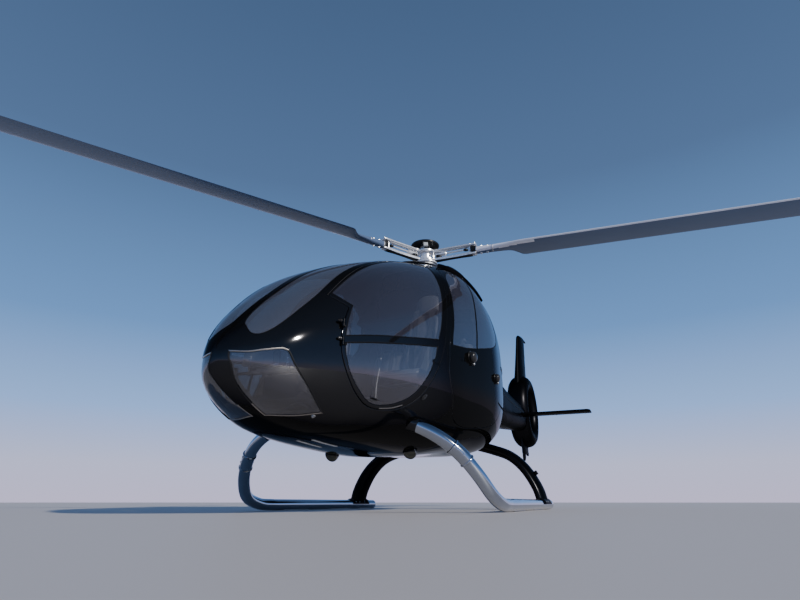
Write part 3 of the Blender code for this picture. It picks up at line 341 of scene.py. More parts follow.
POLISHED_TUBE = metal("polished steel tube", (0.42, 0.46, 0.53), 0.10, lines=(60.0, 3.0, 60.0))
BRIGHT_STEEL = metal("machined steel", (0.84, 0.85, 0.88), 0.26, lines=(30.0, 30.0, 140.0), metallic=0.6)
CAST_ALLOY = metal("cast alloy", (0.36, 0.37, 0.39), 0.42, lines=(90.0, 90.0, 90.0), strength=0.3)
WINDOW_TRIM = metal("satin window trim", (0.36, 0.33, 0.30), 0.30, lines=(20.0, 120.0, 120.0))
BURNT_STEEL = metal("heat-stained steel", (0.34, 0.29, 0.25), 0.36, lines=(80.0, 5.0, 80.0), shade=0.55)
ENGINE_ALLOY = metal("engine casing", (0.45, 0.44, 0.42), 0.38, lines=(50.0, 50.0, 50.0), strength=0.2, shade=0.6)
print("metals ready")

# %% [markdown]
# ## Plastic, rubber and cloth
#
# Moulded panels have a pebbled skin, and rubber is dull and a little grey. The carpet, the belts and the piping
# of the seats are woven. A weave is two sets of waves at right angles. It follows object coordinates, so it
# needs no unwrapping.


# %% Moulded and rubber finishes
def moulded(name, colour, roughness, scale=350.0, strength=0.25, dust=0.1, **values):
    mat, tree = new_material(name, **values)
    varied = place_group(tree, VARIATION, Cloud_Size=4.0, Grain_Size=220.0, Dust=dust)
    base = mix_colour(tree, varied["Cloud"], colour, times(colour, 1.5, 0.004))
    dusty = mix_colour(tree, varied["Dust Mask"], base, (0.25, 0.25, 0.26))
    rough = remap(tree, varied["Grain"], roughness * 0.85, roughness * 1.15)
    skin = place_group(tree, FINE_SKIN, Scale=scale, Strength=strength)
    return dress(mat, colour, dusty, rough, skin["Normal"])


CABIN_LINING = moulded("cabin lining", (0.035, 0.036, 0.042), 0.6, strength=0.06)
CONSOLE_PLASTIC = moulded("console plastic", (0.045, 0.047, 0.052), 0.5, scale=500.0)
RUBBER = moulded("black rubber", (0.004, 0.004, 0.005), 0.6, strength=0.15, dust=0.0, IOR=1.12)
DARK_FITTING = moulded("dark fitting", (0.010, 0.010, 0.011), 0.35, strength=0.1, dust=0.0, IOR=1.25)
HOOD_GREY = moulded("instrument hood", (0.22, 0.235, 0.26), 0.38, scale=600.0, strength=0.2)
DIAL_FACE = moulded("dial face", (0.012, 0.013, 0.015), 0.25, strength=0.02)
VENT_GREY = moulded("vent knob", (0.012, 0.012, 0.013), 0.28, strength=0.02, dust=0.0, IOR=1.35)
LIGHT_PLASTIC = moulded("light grey plastic", (0.42, 0.44, 0.46), 0.45, strength=0.1)
print("plastics ready")


# %% Woven cloth
def woven(name, colour, thread, threads_per_metre=420.0):
    mat, tree = new_material(name, Roughness=0.85, Sheen_Weight=0.35, Sheen_Roughness=0.5)
    place = node(tree, "TexCoord").outputs["Object"]
    waves = []
    for axis in "XZ":
        wave = node(tree, "TexWave", [("Vector", place), ("Scale", threads_per_metre / 20.0),
                                      ("Distortion", 0.6), ("Detail", 1.0)], bands_direction=axis)
        waves.append(wave.outputs["Fac"])
    weave = calculate(tree, "MAXIMUM", *waves)
    varied = place_group(tree, VARIATION, Cloud_Size=7.0, Grain_Size=300.0, Dust=0.0)
    cloudy = mix_colour(tree, varied["Cloud"], colour, times(colour, 1.3))
    bump = node(tree, "Bump", [("Height", weave), ("Strength", 0.35), ("Distance", 0.001)])
    return dress(mat, colour, mix_colour(tree, weave, thread, cloudy), normal=bump.outputs["Normal"])


SEAT_PIPING = woven("seat piping", (0.36, 0.37, 0.40), (0.2, 0.2, 0.22))
BELT_WEBBING = woven("belt webbing", (0.10, 0.10, 0.11), (0.04, 0.04, 0.045), threads_per_metre=700.0)
CARPET = woven("cabin carpet", (0.05, 0.052, 0.06), (0.02, 0.02, 0.024), threads_per_metre=260.0)
print("cloths ready")

# %% [markdown]
# The seats are covered in smooth leather. Its grain is a fine net of cells, which a Voronoi texture gives, and it
# shines more where it is rubbed, so the roughness follows the clouds, while the cells shape the colour and the
# bump.


# %% Leather
def leather(name, colour, roughness=0.34):
    mat, tree = new_material(name, Coat_Weight=0.12, Coat_Roughness=0.25)
    place = node(tree, "TexCoord").outputs["Object"]
    cells = node(tree, "TexVoronoi", [("Vector", place), ("Scale", 420.0)], feature="DISTANCE_TO_EDGE")
    grain = remap(tree, cells.outputs["Distance"], 0.0, 1.0, end=0.35)
    varied = place_group(tree, VARIATION, Cloud_Size=5.0, Grain_Size=260.0, Dust=0.05)
    rubbed = mix_colour(tree, varied["Cloud"], times(colour, 0.85), times(colour, 1.12))
    base = mix_colour(tree, grain, times(colour, 0.6), rubbed)
    rough = remap(tree, varied["Cloud"], roughness * 0.75, roughness * 1.3)
    bump = node(tree, "Bump", [("Height", grain), ("Strength", 0.25), ("Distance", 0.0008)])
    return dress(mat, colour, base, rough, bump.outputs["Normal"])


SEAT_LEATHER = leather("seat leather", (0.42, 0.43, 0.48), 0.28)
print("leather ready")

# %% [markdown]
# ## From points to a piece
#
# A mesh can come from a primitive, from a modifier stack or from bare lists of points and faces. Most pieces
# here follow a formula (a section swept along a path, a profile turned about an axis), so they are made from
# lists. A last helper carries a finished mesh from the drawing board to its place in the frame, gives it its
# materials and hangs it on the body that it moves with.


# %% Finish a piece
PIECES = []


def place_piece(name, mesh, materials, body="airframe", stands_for=()):
    """Move a mesh from the drawing board into the frame and make it a piece of a body."""
    mesh.transform(Matrix.Translation(HOME))
    mesh.name = name
    piece = bpy.data.objects.new(name, mesh)
    bpy.context.scene.collection.objects.link(piece)
    for material in materials if isinstance(materials, (list, tuple)) else [materials]:
        mesh.materials.append(material)
    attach(piece, body)
    if stands_for:
        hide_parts(*stands_for)
    PIECES.append(piece)
    return piece


def mesh_of(points, faces, slots=None, sharp=40.0):
    """Mesh from points and faces, smooth except at edges sharper than an angle."""
    mesh = bpy.data.meshes.new("mesh")
    mesh.from_pydata([tuple(p) for p in points], [], [tuple(f) for f in faces])
    if slots is not None:
        mesh.polygons.foreach_set("material_index", slots)
    mesh.shade_smooth()
    mesh.set_sharp_from_angle(angle=math.radians(sharp))
    return mesh


# %% Join meshes
def joined(meshes):
    """One mesh from several, which keep their material numbers."""
    bm = bmesh.new()
    for mesh in meshes:
        bm.from_mesh(mesh)
        bpy.data.meshes.remove(mesh)
    whole = bpy.data.meshes.new("mesh")
    bm.to_mesh(whole)
    bm.free()
    return whole


def paint(mesh, index):
    mesh.polygons.foreach_set("material_index", [index] * len(mesh.polygons))
    return mesh


def by_slot(*groups):
    """One mesh from lists of meshes: the first list gets material 0, the second 1, and so on."""
    return joined([paint(mesh, index) for index, group in enumerate(groups) for mesh in group])


def moved(mesh, matrix):
    mesh.transform(matrix)
    if matrix.determinant() < 0:
        mesh.flip_normals()
    return mesh


def for_side(mesh, side):
    """A mesh drawn for the left side, or its mirror image for the right."""
    return moved(mesh, Matrix.Diagonal((-1, 1, 1, 1))) if side < 0 else mesh


# %% Angles, places and tables
def turns(count, shift=0.0):
    """Angles of evenly spaced directions round a circle."""
    return [2 * math.pi * (k + shift) / count for k in range(count)]


def turned(angle, axis="Z", size=4):
    return Matrix.Rotation(math.radians(angle), size, axis)


def axes_at(point, x, y, z):
    """Matrix with its origin at a point and three given axes."""
    return Matrix.Translation(point) @ Matrix((x, y, z)).transposed().to_4x4()


def outward(seat):
    return seat.to_3x3() @ Vector((0, 0, 1))


def along_table(table, place, columns):
    """Values of some columns of a table at a place in its first column."""
    return [float(np.interp(place, table[:, 0], table[:, c])) for c in columns]


def oval_size(cos, sin, power):
    """Reach of a rounded rectangle in a direction. A power of 2 gives a circle."""
    return (abs(cos) ** power + abs(sin) ** power) ** (-1 / power)


print("piece helpers ready")

# %% [markdown]
# ## Sections, turned parts and bars
#
# Three makers cover nearly everything that isn't a wall of the cabin. A loft joins closed sections, a lathe
# turns a profile about an axis, and a bar sweeps a circle, or any other section, along a path. The sweep
# carries its sideways direction from point to point, so that a bent tube never twists.


# %% Loft
def loft(rings, closed_along=False, sharp=40.0):
    """Closed sections with equal counts, joined in order."""
    count = len(rings[0])
    points = [p for ring in rings for p in ring]
    faces = []
    pairs = [(k, k + 1) for k in range(len(rings) - 1)] + ([(len(rings) - 1, 0)] if closed_along else [])
    for a, b in pairs:
        for i in range(count):
            j = (i + 1) % count
            faces.append((a * count + i, a * count + j, b * count + j, b * count + i))
    if not closed_along:
        faces.append(tuple(range(count))[::-1])
        faces.append(tuple(range(len(points) - count, len(points))))
    return mesh_of(points, faces, sharp=sharp)


def facing_out(mesh):
    """Turn all faces of a closed mesh outwards."""
    bm = bmesh.new()
    bm.from_mesh(mesh)
    bmesh.ops.recalc_face_normals(bm, faces=bm.faces[:])
    if bm.calc_volume(signed=True) < 0:
        bmesh.ops.reverse_faces(bm, faces=bm.faces[:])
    bm.to_mesh(mesh)
    bm.free()
    return mesh


# %% Lathe
def lathe(profile, start=(0, 0, 0), direction=(0, 0, 1), sides=48, sharp=35.0):
    """Profile of (radius, distance along) turned about an axis. A radius of 0 closes an end."""
    axis = Vector(direction).normalized()
    side = axis.orthogonal().normalized()
    other = axis.cross(side)
    points, rows = [], []
    for radius, along in profile:
        centre = Vector(start) + axis * along
        if radius < 1e-6:
            rows.append([len(points)] * sides)
            points.append(centre)
            continue
        rows.append(list(range(len(points), len(points) + sides)))
        points += [centre + radius * (math.cos(a) * side + math.sin(a) * other) for a in turns(sides)]
    faces = []
    for first, second in zip(rows[:-1], rows[1:]):
        for i in range(sides):
            j = (i + 1) % sides
            face = (first[i], first[j], second[j], second[i])
            faces.append(tuple(dict.fromkeys(face)))
    for row, back in ((rows[0], True), (rows[-1], False)):
        if row[0] != row[1]:
            faces.append(tuple(row[::-1] if back else row))
    return facing_out(mesh_of(points, [f for f in faces if len(f) > 2], sharp=sharp))


# %% Smooth path
def smooth_path(points, step):
    """Curve through the points that keeps close to them, with about one point for every step of length."""
    pts = [Vector(p) for p in points]
    pts = [2 * pts[0] - pts[1], *pts, 2 * pts[-1] - pts[-2]]
    path = [pts[1].copy()]
    for p0, p1, p2, p3 in zip(pts, pts[1:], pts[2:], pts[3:]):
        count = max(1, round((p2 - p1).length / step))
        t1 = (p1 - p0).length ** 0.5
        t2 = t1 + (p2 - p1).length ** 0.5
        t3 = t2 + (p3 - p2).length ** 0.5
        for k in range(1, count + 1):
            t = t1 + (t2 - t1) * k / count
            a1, a2, a3 = p0.lerp(p1, t / t1), p1.lerp(p2, (t - t1) / (t2 - t1)), p2.lerp(p3, (t - t2) / (t3 - t2))
            b1, b2 = a1.lerp(a2, t / t2), a2.lerp(a3, (t - t1) / (t3 - t1))
            path.append(b1.lerp(b2, (t - t1) / (t2 - t1)))
    return path


# %% Bar along a path
def soft_rectangle(half_width, half_height, power, sides):
    """Outline with rounded corners: a power of 1 gives an ellipse, less gives squarer corners."""
    outline = []
    for a in turns(sides):
        cos, sin = (math.copysign(abs(value) ** power, value) for value in (math.cos(a), math.sin(a)))
        outline.append((half_width * cos, half_height * sin))
    return outline


def circle(radius, sides=20):
    return soft_rectangle(radius, radius, 1, sides)


def bar(path, section, up=None, scales=None, closed=False, sharp=40.0):
    """Sweep a section of (side, up) points along a path. Scales may change its size from point to point."""
    path = [Vector(p) for p in path]
    rings, side = [], None
    for i, point in enumerate(path):
        if closed:
            ahead = path[(i + 1) % len(path)] - path[i - 1]
        else:
            ahead = path[min(i + 1, len(path) - 1)] - path[max(i - 1, 0)]
        ahead.normalize()
        if up is not None:
            side = ahead.cross(Vector(up))
        elif side is None:
            side = ahead.orthogonal()
        side = (side - ahead * side.dot(ahead)).normalized()
        upward = side.cross(ahead)
        size = scales[i] if scales else 1.0
        rings.append([point + size * (s * side + u * upward) for s, u in section])
    return facing_out(loft(rings, closed_along=closed, sharp=sharp))


def rod(start, end, radius, sides=20, rounded=0.25):
    """Straight bar with softly rounded ends."""
    start, end = Vector(start), Vector(end)
    edge = min(radius * rounded, (end - start).length / 4)
    length = (end - start).length
    profile = [(0, 0), (radius - edge, 0), (radius, edge), (radius, length - edge), (radius - edge, length),
               (0, length)]
    return lathe(profile, start, end - start, sides)


# %% [markdown]
# Machined blocks, plates and pads have broken edges: no real edge is perfectly sharp, and the thin highlight
# on it is what the eye reads. So every block is bevelled as it is made.


# %% Blocks and plates
def mesh_from(bm, sharp):
    mesh = bpy.data.meshes.new("mesh")
    bm.to_mesh(mesh)
    bm.free()
    mesh.shade_smooth()
    mesh.set_sharp_from_angle(angle=math.radians(sharp))
    return mesh


def block(low, high, edge=0.004, segments=3, turn=None):
    """Box between two corners with rounded edges, turned about its centre if asked."""
    low, high = Vector(low), Vector(high)
    bm = bmesh.new()
    matrix = Matrix.Translation((low + high) / 2)
    if turn is not None:
        matrix = matrix @ turn.to_4x4()
    bmesh.ops.create_cube(bm, size=1.0, matrix=matrix @ Matrix.Diagonal((*(high - low), 1.0)))
    bmesh.ops.bevel(bm, geom=bm.edges[:], offset=edge, segments=segments, profile=0.5, affect="EDGES")
    return mesh_from(bm, 50)


def plate(outline_points, thickness, matrix, edge=0.002, segments=2):
    """Flat plate cut to an outline in its own XY plane, with broken edges, placed by a matrix."""
    bm = bmesh.new()
    low = [bm.verts.new((x, y, -thickness / 2)) for x, y in outline_points]
    high = [bm.verts.new((x, y, thickness / 2)) for x, y in outline_points]
    bm.faces.new(low[::-1])
    bm.faces.new(high)
    count = len(low)
    for i in range(count):
        j = (i + 1) % count
        bm.faces.new((low[i], low[j], high[j], high[i]))
    rims = [e for e in bm.edges if abs(e.verts[0].co.z - e.verts[1].co.z) < 1e-9]
    bmesh.ops.bevel(bm, geom=rims, offset=edge, segments=segments, profile=0.5, affect="EDGES")
    bmesh.ops.transform(bm, matrix=matrix, verts=bm.verts[:])
    return facing_out(mesh_from(bm, 45))


def hex_bolt(at, direction, size=0.012):
    """Bolt head on a washer."""
    washer = lathe([(0, 0), (size * 0.75, 0), (size * 0.75, size * 0.1), (0, size * 0.1)], at, direction, 20)
    head = lathe([(0, size * 0.1), (size * 0.5, size * 0.1), (size * 0.5, size * 0.4), (size * 0.42, size * 0.48),
                  (0, size * 0.48)], at, direction, 6, sharp=20)
    return joined([washer, head])


print("makers ready")

# %% [markdown]
# ## The body's surface
#
# The cabin is one egg-shaped shell. A sculpted mesh or a NURBS patch could give it, but then its windows would
# have to be projected. Here it is a formula instead: a table of stations from the nose to the tail boom, a
# smooth curve through each column, and a rounded section at every station. Laying the body out on a flat map,
# with the nose in the middle, gives every window and door a simple outline.

# %% Body table
# y, half width, top z, bottom z, z of the widest line, roundness of the upper half, of the lower half
HULL = np.array((
    (-3.170, 0.000, 0.770, 0.770, 0.770, 2.76, 2.70),
    (-3.050, 0.222, 1.005, 0.632, 0.785, 2.76, 2.70),
    (-2.800, 0.402, 1.257, 0.528, 0.848, 2.77, 2.74),
    (-2.400, 0.606, 1.574, 0.447, 0.929, 2.78, 2.78),
    (-1.900, 0.733, 1.843, 0.421, 1.018, 2.78, 2.84),
    (-1.300, 0.816, 2.078, 0.411, 1.109, 2.81, 2.93),
    (-0.600, 0.857, 2.282, 0.459, 1.184, 2.83, 3.11),
    (0.000, 0.798, 2.276, 0.490, 1.247, 2.83, 3.36),
    (0.500, 0.678, 2.177, 0.576, 1.313, 2.81, 3.28),
    (1.000, 0.527, 2.046, 0.800, 1.402, 2.80, 3.12),
    (1.500, 0.385, 1.925, 1.010, 1.480, 2.60, 2.70),
))
NOSE_Y, JOINT_Y = HULL[0, 0], HULL[-1, 0]
HULL_LENGTH = JOINT_Y - NOSE_Y
HULL_PLACE = np.sqrt(HULL[:, 0] - NOSE_Y)
WALL = 0.035  # thickness of the shell and its lining


# %% Body formula
def monotone(xs, ys, x):
    """Cubic through the points of a table that adds no bumps between them."""
    xs, ys = np.asarray(xs, float), np.asarray(ys, float)
    step = np.diff(xs)
    slope = np.diff(ys) / step
    tangent = np.zeros_like(ys)
    same = slope[:-1] * slope[1:] > 0
    w1, w2 = 2 * step[1:] + step[:-1], step[1:] + 2 * step[:-1]
    mean = (w1 + w2) / (w1 / np.where(same, slope[:-1], 1) + w2 / np.where(same, slope[1:], 1))
    tangent[1:-1] = np.where(same, mean, 0.0)
    tangent[0], tangent[-1] = slope[0], slope[-1]
    k = np.clip(np.searchsorted(xs, x) - 1, 0, len(xs) - 2)
    t = (x - xs[k]) / step[k]
    return (ys[k] * (1 + 2 * t) * (1 - t) ** 2 + step[k] * tangent[k] * t * (1 - t) ** 2
            + ys[k + 1] * t * t * (3 - 2 * t) - step[k] * tangent[k + 1] * t * t * (1 - t))


def disc(y, angle):
    """Place on the flat map of the body: the nose is its centre and the boom's joint its rim."""
    reach = math.sqrt((y - NOSE_Y) / HULL_LENGTH)
    return reach * math.cos(math.radians(angle)), reach * math.sin(math.radians(angle))


def hull_point(spots):
    """Points of the body's surface for an array of places on the flat map."""
    reach = np.hypot(spots[:, 0], spots[:, 1])
    safe = np.maximum(reach, 1e-9)
    cos = np.where(reach > 1e-9, spots[:, 0] / safe, 1.0)
    sin = spots[:, 1] / safe
    place = np.minimum(reach, 1.0) * math.sqrt(HULL_LENGTH)
    width, top, low, mid, upper, lower = (monotone(HULL_PLACE, HULL[:, c], place) for c in range(1, 7))
    power = np.where(sin >= 0, upper, lower)
    size = oval_size(cos, sin, power)
    height = np.where(sin >= 0, top - mid, mid - low)
    return np.stack([width * size * cos, NOSE_Y + place ** 2, mid + height * size * sin], axis=1)


def hull_frame(spots):
    """Points, outward normals and the two edge directions of the flat map on the body."""
    h = 1e-4
    point = hull_point(spots)
    shrink = np.array(spots) * (1 - 2 * h)
    along_u = (hull_point(shrink + (h, 0)) - hull_point(shrink - (h, 0))) / (2 * h)
    along_v = (hull_point(shrink + (0, h)) - hull_point(shrink - (0, h))) / (2 * h)
    normal = np.cross(along_u, along_v)
    normal /= np.linalg.norm(normal, axis=1)[:, None]
    return point, normal, along_u, along_v


print("body:", round(HULL_LENGTH, 2), "m from nose to boom,", 2 * HULL[:, 1].max(), "m wide")

# %% [markdown]
# Windows and doors are drawn as a few corner and curve points on the flat map, as (y, angle round the body,
# corner or not). The angle runs from 0 at the widest line to 90 on the roof and -90 under the belly. The left
# side is drawn, and the right side is its mirror image.

# %% Outlines of windows and doors
WINDSHIELD = ((-3.078, 66, 0), (-3.094, 46, 0), (-3.070, 36, 0), (-3.010, 36, 0), (-2.900, 42, 0),
              (-2.740, 49.5, 0), (-2.500, 59, 0), (-2.150, 65.5, 0), (-1.800, 69, 0), (-1.600, 74, 0),
              (-1.600, 83, 0), (-1.800, 87, 0), (-2.450, 86.5, 0), (-2.900, 84.5, 0), (-3.040, 79, 0))
FRONT_DOOR = ((-2.700, 45.5, 1), (-2.625, 30.5, 1), (-2.688, 17, 0), (-2.694, 4, 0), (-2.676, -9, 0),
              (-2.635, -21, 0), (-2.555, -32, 0), (-2.430, -39, 0), (-2.270, -39, 0), (-2.120, -35, 0),
              (-1.990, -27, 0), (-1.880, -16, 0), (-1.780, -5, 0), (-1.690, 7, 0), (-1.620, 19, 0),
              (-1.540, 29.5, 0), (-1.440, 39, 0), (-1.320, 49, 0), (-1.230, 58, 0), (-1.280, 65, 0),
              (-1.450, 67.5, 0), (-2.050, 64, 0), (-2.300, 59.5, 0), (-2.550, 52.5, 0))
DOOR_PANE_UPPER = ((-2.672, 45.5, 1), (-2.598, 31, 1), (-2.655, 19, 0), (-2.668, 11.5, 1), (-2.470, 9.8, 0),
                   (-2.160, 8.4, 0), (-1.785, 8.2, 1), (-1.725, 16, 0), (-1.652, 26, 0), (-1.583, 34, 0),
                   (-1.520, 41.5, 0), (-1.420, 50, 0), (-1.330, 57.5, 0), (-1.400, 62.5, 0),
                   (-1.655, 64, 0), (-2.000, 61.5, 0), (-2.250, 58, 0), (-2.520, 51.5, 0))
DOOR_PANE_LOWER = ((-2.668, 6.8, 1), (-2.470, 5.6, 0), (-2.160, 4.8, 0), (-1.809, 4.6, 1), (-1.850, -2, 0),
                   (-1.915, -11, 0), (-2.000, -20, 0), (-2.090, -27.5, 0), (-2.200, -33, 0),
                   (-2.330, -36.5, 0), (-2.440, -36, 0), (-2.545, -29, 0), (-2.620, -19, 0), (-2.658, -6, 0))
CHIN = ((-3.160, 30, 1), (-3.115, 10.5, 0), (-3.060, 10.5, 0), (-2.985, 8.5, 0), (-2.950, 0, 0),
        (-2.886, -24, 0), (-2.790, -39, 0), (-2.646, -52, 1), (-2.732, -66, 0), (-2.790, -84, 1),
        (-2.990, -79, 0), (-3.097, -70, 0), (-3.150, -40, 0))
REAR_DOOR = ((-1.640, -3, 0), (-1.620, 8, 0), (-1.570, 19, 0), (-1.490, 29.5, 0), (-1.385, 39.5, 0),
             (-1.240, 50, 0), (-1.080, 55, 0), (-0.700, 56, 0), (-0.350, 51, 0), (-0.130, 42, 0),
             (-0.010, 25, 0), (-0.010, 8, 0), (-0.090, -12, 0), (-0.230, -26, 0), (-0.450, -36, 0),
             (-0.900, -40, 0), (-1.350, -38, 0), (-1.570, -22, 0))
REAR_PANE_FRONT = ((-1.560, 6.4, 1), (-1.300, 6.3, 0), (-1.056, 7.3, 1), (-1.021, 15, 0), (-0.956, 25, 0),
                   (-0.873, 33, 0), (-0.795, 39.5, 0), (-0.725, 47.5, 1), (-0.880, 49.5, 0),
                   (-1.060, 49.5, 0), (-1.230, 45.5, 0), (-1.350, 38, 0), (-1.430, 29, 0), (-1.500, 18, 0))
REAR_PANE_AFT = ((-1.034, 7.4, 1), (-0.770, 9.2, 0), (-0.500, 12, 0), (-0.260, 17, 0), (-0.130, 24, 0),
                 (-0.140, 33, 0), (-0.280, 41, 0), (-0.500, 46, 0), (-0.700, 47.5, 1), (-0.773, 39.5, 0),
                 (-0.851, 33, 0), (-0.934, 25, 0), (-0.999, 15, 0))
BAY = ((-0.260, 66, 1), (-0.260, 78, 0), (-0.260, 90, 0), (-0.260, 102, 0), (-0.260, 114, 1), (0.500, 118, 0),
       (1.140, 124, 1), (1.140, 107, 0), (1.140, 90, 0), (1.140, 73, 0), (1.140, 56, 1), (0.500, 62, 0))


# %% Smooth rings from outlines
OUTLINE_STEP = 0.030


def ring_of(points, step=OUTLINE_STEP, side=1):
    """Smooth closed ring on the flat map through (y, angle, corner) points, counter-clockwise."""
    count = len(points)
    spots = [np.array(disc(*point[:2])) for point in points]
    ring = []
    for i in range(count):
        before, start, end, after = (spots[(i + k) % count] for k in (-1, 0, 1, 2))
        leave = end - start if points[i][2] else (end - before) / 2
        arrive = end - start if points[(i + 1) % count][2] else (after - start) / 2
        ends = hull_point(np.array([start, end]))
        parts = max(1, round(float(np.linalg.norm(ends[1] - ends[0])) / step))
        for t in np.arange(parts) / parts:
            ring.append(start * (1 + 2 * t) * (1 - t) ** 2 + leave * t * (1 - t) ** 2
                        + end * t * t * (3 - 2 * t) - arrive * t * t * (1 - t))
    ring = np.array(ring)
    if side < 0:
        ring[:, 0] *= -1
    x, y = ring[:, 0], ring[:, 1]
    if np.sum(x * np.roll(y, -1) - y * np.roll(x, -1)) < 0:
        ring = ring[::-1]
    return ring


def inward_of(ring):
    """Point, outward normal and inward direction in the surface, for each spot of a ring."""
    point, normal, along_u, along_v = hull_frame(ring)
    ahead = np.roll(point, -1, axis=0) - point
    ahead /= np.linalg.norm(ahead, axis=1)[:, None]
    in_ahead = np.cross(normal, ahead)
    inward = in_ahead + np.cross(normal, np.roll(ahead, 1, axis=0))
    inward /= np.maximum(np.sum(inward * in_ahead, axis=1), 0.5)[:, None]
    return point, normal, inward, along_u, along_v


def inset(ring, amount):
    """Ring moved inwards by an amount of real length, measured on the body."""
    inward, along_u, along_v = inward_of(ring)[2:]
    result = np.empty_like(ring)
    for i, spot in enumerate(ring):
        basis = np.stack([along_u[i], along_v[i]], axis=1)
        result[i] = spot + np.linalg.lstsq(basis, inward[i] * amount, rcond=None)[0]
    return result


print("front door outline:", len(ring_of(FRONT_DOOR)), "points")

# %% [markdown]
# ## Skins that reflect cleanly
#
# Gloss paint shows every ripple of a mesh. The skin is triangulated between its outlines, and then each corner
# of each face is told the exact normal of the formula, so the reflections run as smoothly as on a real
# pressing. Along every edge the sheet rolls down by a few millimetres, which draws the fine highlight round a
# door or a window.


# %% Which spots lie in a skin
def inside(ring, spots):
    x, y = spots[:, 0], spots[:, 1]
    result = np.zeros(len(spots), bool)
    for (x0, y0), (x1, y1) in zip(ring, np.roll(ring, -1, axis=0)):
        if y0 != y1:
            result ^= ((y0 > y) != (y1 > y)) & (x < (x1 - x0) * (y - y0) / (y1 - y0) + x0)
    return result


def clear_of(rings, spots, gap):
    """True for each spot further than a gap from every ring, measured on the body."""
    point = hull_point(spots)
    keep = np.ones(len(spots), bool)
    for ring in rings:
        edge = hull_point(ring)
        for start, end in zip(edge, np.roll(edge, -1, axis=0)):
            line = end - start
            t = np.clip((point - start) @ line / max(line @ line, 1e-12), 0, 1)
            keep &= np.linalg.norm(point - start - t[:, None] * line, axis=1) > gap
    return keep


def body_grid(spacing):
    """Evenly spaced spots over the whole body."""
    spots, back = [(0.0, 0.0)], 0.003
    while back < HULL_LENGTH - spacing / 3:
        half, top, low = (float(monotone(HULL_PLACE, HULL[:, c], np.array([math.sqrt(back)]))[0])
                          for c in (1, 2, 3))
        count = max(8, round(math.pi * (half + (top - low) / 2) / spacing))
        shift = 0.5 * (len(spots) % 2)
        spots += [disc(NOSE_Y + back, 360 * (k + shift) / count) for k in range(count)]
        slope = (half + (top - low) / 2) / (2 * back)
        back += spacing / math.sqrt(1 + slope * slope)
    return np.array(spots)


def true_scale(spots):
    """The flat map stretched so that small shapes keep their proportions, for good triangles."""
    root = np.linspace(0.002, math.sqrt(HULL_LENGTH), 600)
    width, top, low = (monotone(HULL_PLACE, HULL[:, c], root) for c in (1, 2, 3))
    size = (width + (top - low) / 2) / 2
    run = np.hypot(np.diff(root ** 2), np.diff(size))
    growth = np.concatenate([[0.0], np.cumsum(2 * run / (size[1:] + size[:-1]))])
    reach = np.hypot(spots[:, 0], spots[:, 1])
    scale = size[0] * np.exp(np.interp(reach * math.sqrt(HULL_LENGTH), root, growth))
    scale *= np.minimum(reach * math.sqrt(HULL_LENGTH) / root[0], 1.0)
    return spots * (scale / np.maximum(reach, 1e-9))[:, None]


# %% Skin between rings
def skin(outer, holes, out, depth, roll, spacing, roll_outer=True):
    """Wall of the body inside one ring and outside the holes, with rolled edges and exact normals.

    Faces get material 0 outside, 1 on the edges and inside.
    """
    bands = []
    for ring, sign in [(outer, 1), *((hole, -1) for hole in holes)]:
        rolls = ((0.0, 1.0, 75.0), (0.3, 0.286, 40.0), (1.0, 0.0, 0.0))
        if roll <= 0 or (ring is outer and not roll_outer):
            rolls = ((0.0, 0.0, 0.0),)
        for share, drop, tilt in rolls:
            made = inset(ring, sign * roll * share) if share else ring
            lean = -sign * inward_of(ring)[2]
            bands.append((made, drop * roll, math.radians(tilt), lean))
    rings = [band[0] for band in bands]
    spots = body_grid(spacing)
    region = inside(outer, spots)
    for hole in holes:
        region &= ~inside(hole, spots)
    spots = spots[region]
    spots = spots[clear_of([outer, *holes], spots, roll + 0.3 * spacing)]
    flat = np.concatenate([*rings, spots])
    drop = np.concatenate([*(np.full(len(b[0]), b[1]) for b in bands), np.zeros(len(spots))])
    tilt = np.concatenate([*(np.full(len(b[0]), b[2]) for b in bands), np.zeros(len(spots))])
    lean = np.concatenate([*(b[3] for b in bands), np.zeros((len(spots), 3))])

    wide, edges, first = true_scale(flat), [], 0
    for ring in rings:
        edges += [(first + i, first + (i + 1) % len(ring)) for i in range(len(ring))]
        first += len(ring)
    made = delaunay_2d_cdt([Vector(p) for p in wide], edges, [], 0, 1e-9)
    origin = np.array([sources[0] for sources in made[3]])
    triangles = origin[np.array(made[2])]
    middle = wide[triangles].mean(axis=1)
    keep = inside(true_scale(outer), middle)
    for hole in holes:
        keep &= ~inside(true_scale(hole), middle)
    return skin_mesh(flat, triangles[keep], out, depth, drop, tilt, lean)


